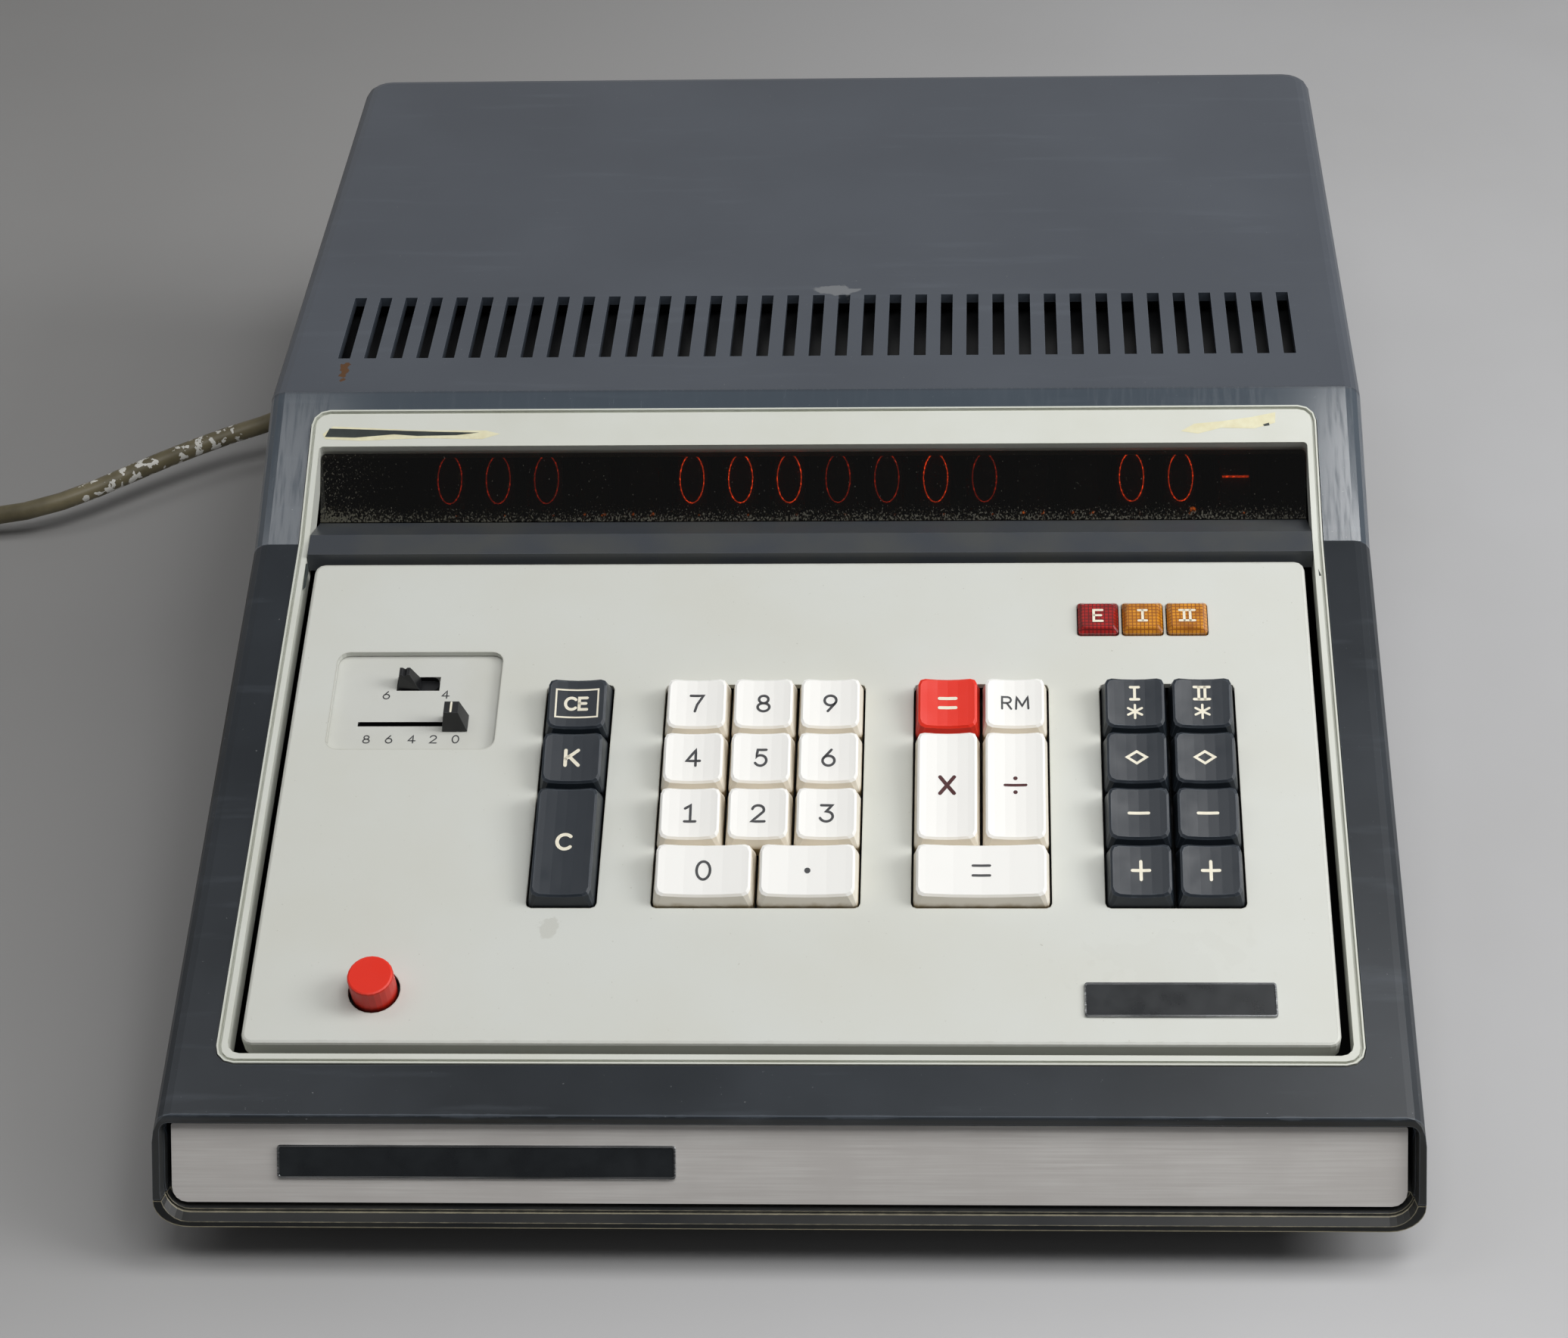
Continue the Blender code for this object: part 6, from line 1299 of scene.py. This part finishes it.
@dataclass
class Keyboard(Assembly):
    """Keyboard panel, key caps with their legends, and the mechanism under them."""

    cap_front_inset: float = 1.1
    cap_rear_inset: float = 2.2
    entry_box: tuple[float, float] = (12.0, 8.6)
    entry_stroke: float = 0.5

    def face_centre(self, node: str) -> tuple[float, float]:
        """Find the middle of a key's dished top.

        Args:
            node: The key's name.

        Returns:
            Its place across and up the keyboard's slope, in millimetres.
        """
        low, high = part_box(node)
        inverse = self.outline.keyboard.matrix.inverted()
        corners = [inverse @ v.co for v in self.nodes[node].data.vertices]
        s_low = min(c.y for c in corners) / MM
        s_high = max(c.y for c in corners) / MM
        shift = (self.cap_front_inset - self.cap_rear_inset) / 2
        return (low.x + high.x) / 2 / MM, (s_low + s_high) / 2 + shift

    def legend(self, key: Key) -> None:
        """Print a key's legend on its cap.

        Args:
            key: The key.
        """
        surface = Surface(self.nodes[key.node], self.outline.keyboard)
        centre = self.face_centre(key.node)
        mesh = bmesh.new()
        for mark in key.marks:
            mark.draw(mesh, centre, surface.drop)
        if key.node == "key_clear_entry":
            x, s = centre
            wide, tall = (size / 2 for size in self.entry_box)
            corners = [(x - wide, s - tall), (x + wide, s - tall), (x + wide, s + tall), (x - wide, s + tall)]
            ribbon(mesh, [*corners, corners[0]], self.entry_stroke, surface.drop, closed=True)
        piece("legend_" + key.node[4:], mesh, key.ink, key.node)

    def build(self) -> None:
        """Dress the keyboard and print its legends."""
        self.dress({"keyboard_panel": PANEL, "key_frame": BLACK, "key_switch_board": BOARD})
        finishes = {KeyTone.WHITE: WHITE_KEY, KeyTone.NAVY: NAVY_KEY, KeyTone.RED: RED_KEY}
        for key in KEYS:
            self.dress({key.node: finishes[key.tone]})
            self.legend(key)
        LOG.info("keyboard: %d keys dressed and marked", len(KEYS))


@dataclass
class Controls(Assembly):
    """Slide switches with their printed scale, the round push button and the signal lamps."""

    scale_marks: tuple = (("8", -124.5, 123.5), ("6", -118.0, 123.5), ("4", -111.4, 123.5), ("2", -105.2, 123.5),
                          ("0", -98.8, 123.5), ("6", -120.4, 139.3), ("4", -103.2, 139.5))
    scale_height: float = 2.6
    scale_stroke: float = 0.36
    index_line: Line = ((-99.8, 128.2), (-99.8, 131.4))
    index_stroke: float = 0.6
    lamp_middle: float = 164.7
    plate_top: float = -1.9
    # Left, right, lower and upper edge of each slot and the height of its floor
    slots: tuple = ((-127.6, -97.1, 128.05, 129.65, -9.25), (-117.7, -105.2, 140.9, 145.9, -3.85))
    liner_inset: float = 0.07
    liner_rise: float = 0.06
    liner_sink: float = 0.03

    def slot_liners(self) -> None:
        """Line the switch plate's slots with black fibre, just off their walls."""
        mesh = bmesh.new()
        for left, right, low, high, floor in self.slots:
            inset = self.liner_inset
            ring = rounded(left + inset, right - inset, low + inset, high - inset, (high - low) / 2 - 0.1)
            loft(mesh, [[self.outline.keyboard.point(x, s, h) for x, s in ring]
                        for h in (floor + self.liner_rise, self.plate_top - self.liner_sink)], cap_high=False)
        piece("slot_liners", mesh, BLACK)

    def lamp_marks(self) -> None:
        """Mark each signal lamp."""
        inverse = self.outline.keyboard.matrix.inverted()
        for node, mark in (("lamp_lens_red", Mark("E", height=4.0, stroke=0.75)),
                           ("lamp_lens_amber_1", Mark(Symbol.ONE.value, height=3.8, stroke=0.75)),
                           ("lamp_lens_amber_2", Mark(Symbol.TWO.value, height=3.8, stroke=0.75))):
            low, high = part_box(node)
            middle = inverse @ ((low + high) / 2)
            mesh = bmesh.new()
            mark.draw(mesh, (middle.x / MM, self.lamp_middle), Surface(self.nodes[node], self.outline.keyboard).drop)
            piece("legend_" + node, mesh, CREAM_INK)

    def build(self) -> None:
        """Dress the controls, print their scale and mark the lamps."""
        plane = self.outline.keyboard
        self.dress({
            "switch_plate": SWITCH_PANEL, "push_switch_body": BLACK, "lamp_holder": BLACK,
            "long_slider_knob": BLACK, "short_slider_knob": BLACK, "red_button": RED_KEY,
            "lamp_lens_red": RED_LENS, "lamp_lens_amber_1": AMBER_LENS, "lamp_lens_amber_2": AMBER_LENS})
        self.slot_liners()
        plate = Surface(self.nodes["switch_plate"], plane)
        mesh = bmesh.new()
        for sign, x, s in self.scale_marks:
            Mark(sign, height=self.scale_height, stroke=self.scale_stroke).draw(mesh, (x, s), plate.drop)
        piece("switch_scale", mesh, DARK_INK)
        mesh = bmesh.new()
        ribbon(mesh, self.index_line, self.index_stroke, Surface(self.nodes["long_slider_knob"], plane).drop)
        piece("slider_index", mesh, CREAM_INK, "long_slider_knob")
        self.lamp_marks()
        LOG.info("controls: switches, button and lamps dressed and marked")


@dataclass
class NumberDisplay(Assembly):
    """Smoked window, sill, and the glowing number tubes behind them."""

    tube_count: int = 16
    first_x: float = -111.8
    tube_pitch: float = 14.947
    sign_x: float = 129.1
    tube_radius: float = 6.3
    tube_length: float = 36.0
    tube_foot: float = 9.0
    tube_setback: float = 12.3
    tube_sides: int = 20
    bright: tuple[int, ...] = (5, 6, 7, 10, 14, 15)
    faint: tuple[int, ...] = (0, 1, 2, 8, 9, 11)
    blank: tuple[int, ...] = (3, 4, 12, 13)
    point_tube: int = 15
    digit_width: float = 7.4
    digit_height: float = 15.0
    digit_rise: float = 23.6
    digit_wire: float = 0.17
    sign_half: float = 4.0
    sign_wire: float = 0.3
    board_half: float = 138.9
    board_depth: tuple[float, float] = (-8.3, 18.3)
    board_thickness: float = 1.6
    base_profile: Line = ((5.6, 0.1), (5.6, 5.0), (4.6, 6.4))
    # Left, right, foot, top and corner radius of each tube's rear plate, and its front and rear
    rear_plate: tuple = (-4.6, 4.6, 8.0, 30.5, 1.2)
    rear_plate_depth: tuple[float, float] = (1.6, 2.6)
    # Place beside a tube's middle, height and radius of the spots of light at its foot
    point_spot: Triple = (3.6, 13.4, 0.9)
    blank_spots: tuple[Triple, ...] = ((-3.0, 12.6, 0.42), (3.2, 12.6, 0.42))
    foot_spot: Triple = (2.4, 12.2, 0.26)
    spot_setback: float = -1.2

    def row(self) -> Matrix:
        """Return the tubes' frame: local Z up the tubes, local Y away from the window."""
        shift = Matrix.Translation((0, -self.tube_foot * MM, -self.tube_setback * MM))
        return self.outline.window.matrix @ shift @ Matrix.Rotation(-math.pi / 2, 4, "X")

    def at(self, x: float, y: float, z: float) -> Vector:
        """Return the point, in metres, at x, y and z in the tubes' frame, in millimetres."""
        return self.row() @ Vector((x * MM, y * MM, z * MM))

    def centres(self) -> list[float]:
        """Return the tubes' X places, the sign tube last."""
        return [self.first_x + index * self.tube_pitch for index in range(self.tube_count)] + [self.sign_x]

    def envelopes(self) -> None:
        """Blow the glass envelopes, which stand for the plain tubes of the CAD model."""
        mesh = bmesh.new()
        radius, length = self.tube_radius, self.tube_length
        profile = ((radius - 0.3, 0.4), (radius, 1.6), (radius, length - 6.0), (radius * 0.94, length - 3.6),
                   (radius * 0.78, length - 1.9), (radius * 0.5, length - 0.8), (radius * 0.16, length - 0.4),
                   (0.5, length))
        for x in self.centres():
            turned(mesh, self.row() @ Matrix.Translation((x * MM, 0, 0)), profile, self.tube_sides)
        bmesh.ops.recalc_face_normals(mesh, faces=mesh.faces)
        made = piece("tube_envelopes", mesh, GLASS)
        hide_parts("display_tubes")

    def board(self) -> None:
        """Lay the circuit board under the tubes, with each tube's base and rear plate."""
        mesh = bmesh.new()
        half = self.board_half
        front, rear = self.board_depth
        ring = ((-half, front), (half, front), (half, rear), (-half, rear))
        loft(mesh, [[self.at(x, y, z) for x, y in ring] for z in (-self.board_thickness, 0.0)])
        piece("display_board", mesh, BOARD)
        mesh = bmesh.new()
        plate = rounded(*self.rear_plate)
        for x in self.centres():
            turned(mesh, self.row() @ Matrix.Translation((x * MM, 0, 0)), self.base_profile, 16)
            loft(mesh, [[self.at(x + px, y, pz) for px, pz in plate] for y in self.rear_plate_depth])
        bmesh.ops.recalc_face_normals(mesh, faces=mesh.faces)
        piece("tube_bases", mesh, ANODE)

    def digits(self) -> None:
        """Bend the glowing noughts and the sign's bar."""
        centres = self.centres()
        for name, tubes, finish in (("bright_noughts", self.bright, GLOW), ("faint_noughts", self.faint, FAINT_GLOW)):
            noughts = []
            for index in tubes:
                oval = arc(centres[index], self.digit_rise, self.digit_width / 2, self.digit_height / 2, 0, 345)
                noughts.append([self.at(x, 0, z) for x, z in oval])
            wires(name, noughts, self.digit_wire, finish, closed=True)
        bar = [self.at(self.sign_x + x, 0, self.digit_rise) for x in (-self.sign_half, self.sign_half)]
        wires("glowing_sign", [bar], self.sign_wire, GLOW)

    def embers(self) -> None:
        """Light the point and the idle glow at the tubes' feet."""
        centres = self.centres()
        spots = [(centres[self.point_tube], self.point_spot)]
        spots += [(centres[index], spot) for index in self.blank for spot in self.blank_spots]
        spots += [(x, self.foot_spot) for x in centres]
        mesh = bmesh.new()
        for x, (shift, z, radius) in spots:
            place = Matrix.Translation(self.at(x + shift, self.spot_setback, z))
            bmesh.ops.create_icosphere(mesh, subdivisions=2, radius=radius * MM, matrix=place)
        piece("idle_glow", mesh, EMBER)

    def build(self) -> None:
        """Dress the window and the sill and make the tubes."""
        self.dress({"display_window": WINDOW, "display_sill": SILL})
        self.envelopes()
        self.board()
        self.digits()
        self.embers()
        LOG.info("display: %d tubes, %d of them lit", len(self.centres()), len(self.bright) + len(self.faint))


@dataclass
class Interior(Assembly):
    """The steel, boards and transformer inside the case, seen only through the slots and gaps."""

    def build(self) -> None:
        """Dress the inner nodes."""
        self.dress({"chassis_left": ZINC, "chassis_right": ZINC, "vent_screen": BLACK,
                    "logic_cards": BOARD, "power_supply": BOARD, "power_transformer": IRON})
        LOG.info("interior: dressed")


@dataclass
class MainsLead(Assembly):
    """Strain relief, the lead's free stretch, the stored coil and the plug."""

    diameter: float = 6.2
    roundness: int = 4
    relief_tip: Triple = (-188.08, 150.3, 22.84)
    outward: Triple = (-0.9563, 0.0, -0.2924)
    gap: float = 0.3
    end_share: float = 0.6
    step_share: float = 2.0
    # Centre line in metres, read from the photo as far as it shows the lead
    route: tuple = (
        (-0.1970, 0.1494, 0.0200), (-0.2025, 0.1481, 0.0182), (-0.2105, 0.1461, 0.0166),
        (-0.2183, 0.1428, 0.0156), (-0.2256, 0.1385, 0.0150), (-0.2325, 0.1340, 0.0146),
        (-0.2390, 0.1294, 0.0142), (-0.2453, 0.1247, 0.0138), (-0.2521, 0.1194, 0.0134),
        (-0.2589, 0.1144, 0.0129), (-0.2659, 0.1106, 0.0122), (-0.2731, 0.1073, 0.0114),
        (-0.2815, 0.1054, 0.0104), (-0.2895, 0.1048, 0.0093), (-0.2978, 0.1049, 0.0081),
        (-0.3090, 0.1043, 0.0065), (-0.3210, 0.1029, 0.0050), (-0.3330, 0.1006, 0.0039),
    )
    coil_centre: tuple[float, float] = (-344.0, 47.0)
    coil_inner: float = 24.3
    coil_pitch: float = 6.9
    coil_layer: float = 6.7
    coil_bed: float = 3.2
    turns_per_layer: float = 3.34
    start_angle: float = 100.0
    points_per_turn: int = 24

    def coil_point(self, angle: float) -> Vector:
        """Follow the coil's centre line.

        Args:
            angle: The angle in radians, counted from the middle of the coil's climb.

        Returns:
            The point at that angle, in metres.
        """
        climb = math.pi / 2
        spread = abs(angle)
        if spread < climb:
            radius = self.coil_inner + self.coil_pitch / math.tau * (angle ** 2 / math.pi + math.pi / 4)
            share = (angle + climb) / (climb * 2)
            layer = share * share * (3 - 2 * share)
        else:
            radius = self.coil_inner + self.coil_pitch / math.tau * spread
            layer = 0.0 if angle < 0 else 1.0
        turn = math.radians(self.start_angle) + climb + self.turns_per_layer * math.tau + angle
        x, y = self.coil_centre
        return Vector((x + radius * math.cos(turn), y + radius * math.sin(turn),
                       self.coil_bed + self.coil_layer * layer)) * MM

    def coil(self) -> list[Vector]:
        """Return the coil's points: in along the lower layer, up, and out along the upper one."""
        reach = math.pi / 2 + self.turns_per_layer * math.tau
        count = round(reach * 2 / math.tau * self.points_per_turn)
        winding = [self.coil_point(-reach + reach * 2 * index / count) for index in range(count + 1)]
        lead_in = winding[0] + (winding[0] - winding[1]).normalized() * self.diameter * MM
        lead_out = winding[-1] + (winding[-1] - winding[-2]).normalized() * self.diameter * MM
        return [lead_in, *winding, lead_out]

    def free_stretch(self, coil: Sequence[Vector]) -> list[Vector]:
        """Lead the cord from the relief's tip to the coil.

        Args:
            coil: The coil's points.

        Returns:
            The stretch's points, in metres.
        """
        outward = Vector(self.outward)
        inward = (coil[1] - coil[0]).normalized()
        reach = self.diameter * self.end_share * MM
        first = Vector(self.relief_tip) * MM + outward * self.gap * MM
        last = coil[0] - inward * self.gap * MM
        through = [first + outward * reach, *(Vector(p) for p in self.route), last - inward * reach]
        return [first, *smooth_route(through, self.diameter * self.step_share * MM), last]

    def build(self) -> None:
        """Lay the lead as one cord from the relief to the plug."""
        coil = self.coil()
        points = self.free_stretch(coil) + coil
        lead = wires("mains_lead", [points], self.diameter / 2, CORD, roundness=self.roundness)
        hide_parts("cord_run", "cord_coil")
        self.dress({"strain_relief": RUBBER, "mains_plug": RUBBER})


# Steps between two given points before the curve is spaced evenly
ROUTE_PARTS = 16


def smooth_route(points: Sequence[Vector], step: float) -> list[Vector]:
    """Return evenly spaced points on a Catmull-Rom curve through the given ones.

    Args:
        points: The points that the curve passes.
        step: The distance wanted between the new points, in metres.

    Returns:
        The new points, ends included.
    """
    padded = [points[0] * 2 - points[1], *points, points[-1] * 2 - points[-2]]
    fine = []
    for index in range(1, len(padded) - 2):
        a, b, c, d = padded[index - 1:index + 3]
        for part in range(ROUTE_PARTS):
            t = part / ROUTE_PARTS
            fine.append(0.5 * ((2 * b) + (c - a) * t + (2 * a - 5 * b + 4 * c - d) * t ** 2
                               + (3 * b - a - 3 * c + d) * t ** 3))
    fine.append(points[-1])
    lengths = [0.0]
    for before, after in zip(fine, fine[1:]):
        lengths.append(lengths[-1] + (after - before).length)
    count = max(2, round(lengths[-1] / step))
    route = []
    cursor = 0
    for index in range(count + 1):
        target = lengths[-1] * index / count
        while cursor < len(lengths) - 2 and lengths[cursor + 1] < target:
            cursor += 1
        span = lengths[cursor + 1] - lengths[cursor]
        share = (target - lengths[cursor]) / span if span else 0.0
        route.append(fine[cursor].lerp(fine[cursor + 1], share))
    return route


@dataclass
class Studio:
    """Background paper, soft boxes at the right, in front and over both sides, an even world and the camera."""

    camera_place: Triple = (52.93, -810.51, 653.10)
    pitch: float = 37.64
    yaw: float = -2.786
    roll: float = -1.833
    focal_pixels: float = 4295.4
    centre: tuple[float, float] = (1137.4, 867.7)
    image: tuple[float, float] = (2072.0, 1768.0)
    sensor: float = 36.0
    world_light: float = 0.12
    backdrop_light: float = 0.4
    paper_reach: float = 6.0
    near_clip: float = 0.05
    # Each soft box: name, place and aim in metres, width and height in metres, and power in watts
    lamps: tuple = (("lamp_key", (1.2, -0.2, 0.85), (0.0, 0.0, 0.05), (0.6, 0.6), 10.2),
                    ("lamp_front", (0.15, -0.5, 1.3), (0.0, 0.0, 0.05), (0.9, 0.35), 6.0),
                    ("lamp_right", (0.72, -0.05, 1.25), (0.72, -0.05, 0.0), (0.9, 0.4), 6.1),
                    ("lamp_left", (-0.82, -0.05, 1.25), (-0.82, -0.05, 0.0), (0.9, 0.4), 1.8))

    def camera(self) -> None:
        """Set the camera where the photograph was taken from."""
        pitch, yaw, roll = (math.radians(a) for a in (self.pitch, self.yaw, self.roll))
        forward = Vector((math.sin(yaw) * math.cos(pitch), math.cos(yaw) * math.cos(pitch), -math.sin(pitch)))
        right = Vector((math.cos(yaw), -math.sin(yaw), 0))
        up = right.cross(forward)
        side = right * math.cos(roll) + up * math.sin(roll)
        top = up * math.cos(roll) - right * math.sin(roll)
        data = bpy.data.cameras.new("camera")
        wide, tall = self.image
        data.lens = self.focal_pixels / wide * self.sensor
        data.sensor_width = self.sensor
        data.shift_x = (wide / 2 - self.centre[0]) / wide
        data.shift_y = (self.centre[1] - tall / 2) / wide
        data.clip_start = self.near_clip
        made = add_object("camera", data)
        turn = Matrix((side, top, -forward)).transposed().to_4x4()
        made.matrix_world = Matrix.Translation(Vector(self.camera_place) * MM) @ turn
        bpy.context.scene.camera = made

    def paper(self) -> None:
        """Lay the background paper flat under the case."""
        mesh = bmesh.new()
        reach = self.paper_reach
        corners = ((-reach, -reach), (reach, -reach), (reach, reach), (-reach, reach))
        polygon(mesh, corners, lambda x, y: Vector((x, y, 0.0)))
        paper = shape("background_paper", mesh, PAPER)

    def lamp(self, name: str, place: Triple, aim: Triple,
             size: tuple[float, float], power: float) -> None:
        """Hang a soft box.

        Args:
            name: The lamp's name.
            place: Its place in metres.
            aim: The point that it faces.
            size: Its width and height in metres.
            power: Its power in watts.
        """
        data = bpy.data.lights.new(name, "AREA")
        data.shape = "RECTANGLE"
        data.size, data.size_y = size
        data.energy = power
        made = add_object(name, data)
        made.location = place
        made.rotation_mode = "QUATERNION"
        made.rotation_quaternion = (Vector(aim) - Vector(place)).to_track_quat("-Z", "Y")

    def world(self) -> None:
        """Fill the room with an even light, with a paler backdrop that only the eye and reflections meet."""
        world = bpy.data.worlds.new("studio")
        bpy.context.scene.world = world
        world.use_nodes = True
        tree = world.node_tree
        add = partial(add_node, tree)
        seen, glossy, through = (add("LightPath", out=ray) for ray in (0, 3, 6))
        behind = add("SeparateXYZ", {0: add("TexCoord")}, out=1)
        behind = add("MapRange", {0: behind, 1: 0.1, 2: 0.6})
        met = add("Math", {0: glossy, 1: through}, operation="MAXIMUM")
        met = add("Math", {0: met, 1: behind}, operation="MULTIPLY")
        met = add("Math", {0: met, 1: seen}, operation="MAXIMUM")
        strength = add("MapRange", {0: met, 3: self.world_light, 4: self.backdrop_light})
        feed(tree, tree.nodes["Background"], {"Color": linear("#ffffff"), "Strength": strength})

    def build(self) -> None:
        """Set the camera, the paper and the lamps."""
        bpy.context.scene.view_settings.view_transform = "Standard"
        self.camera()
        self.paper()
        for row in self.lamps:
            self.lamp(*row)
        self.world()
        LOG.info("studio: camera, paper and lamps set")


def main() -> None:
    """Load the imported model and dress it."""
    logging.basicConfig(level=logging.INFO, format="%(name)s: %(message)s")
    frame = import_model()
    nodes = frame["nodes"]
    Studio().build()
    MainsLead(nodes).build()
    Housing(nodes).build()
    Keyboard(nodes).build()
    Controls(nodes).build()
    NumberDisplay(nodes).build()
    Interior(nodes).build()


if __name__ == "__main__":
    main()
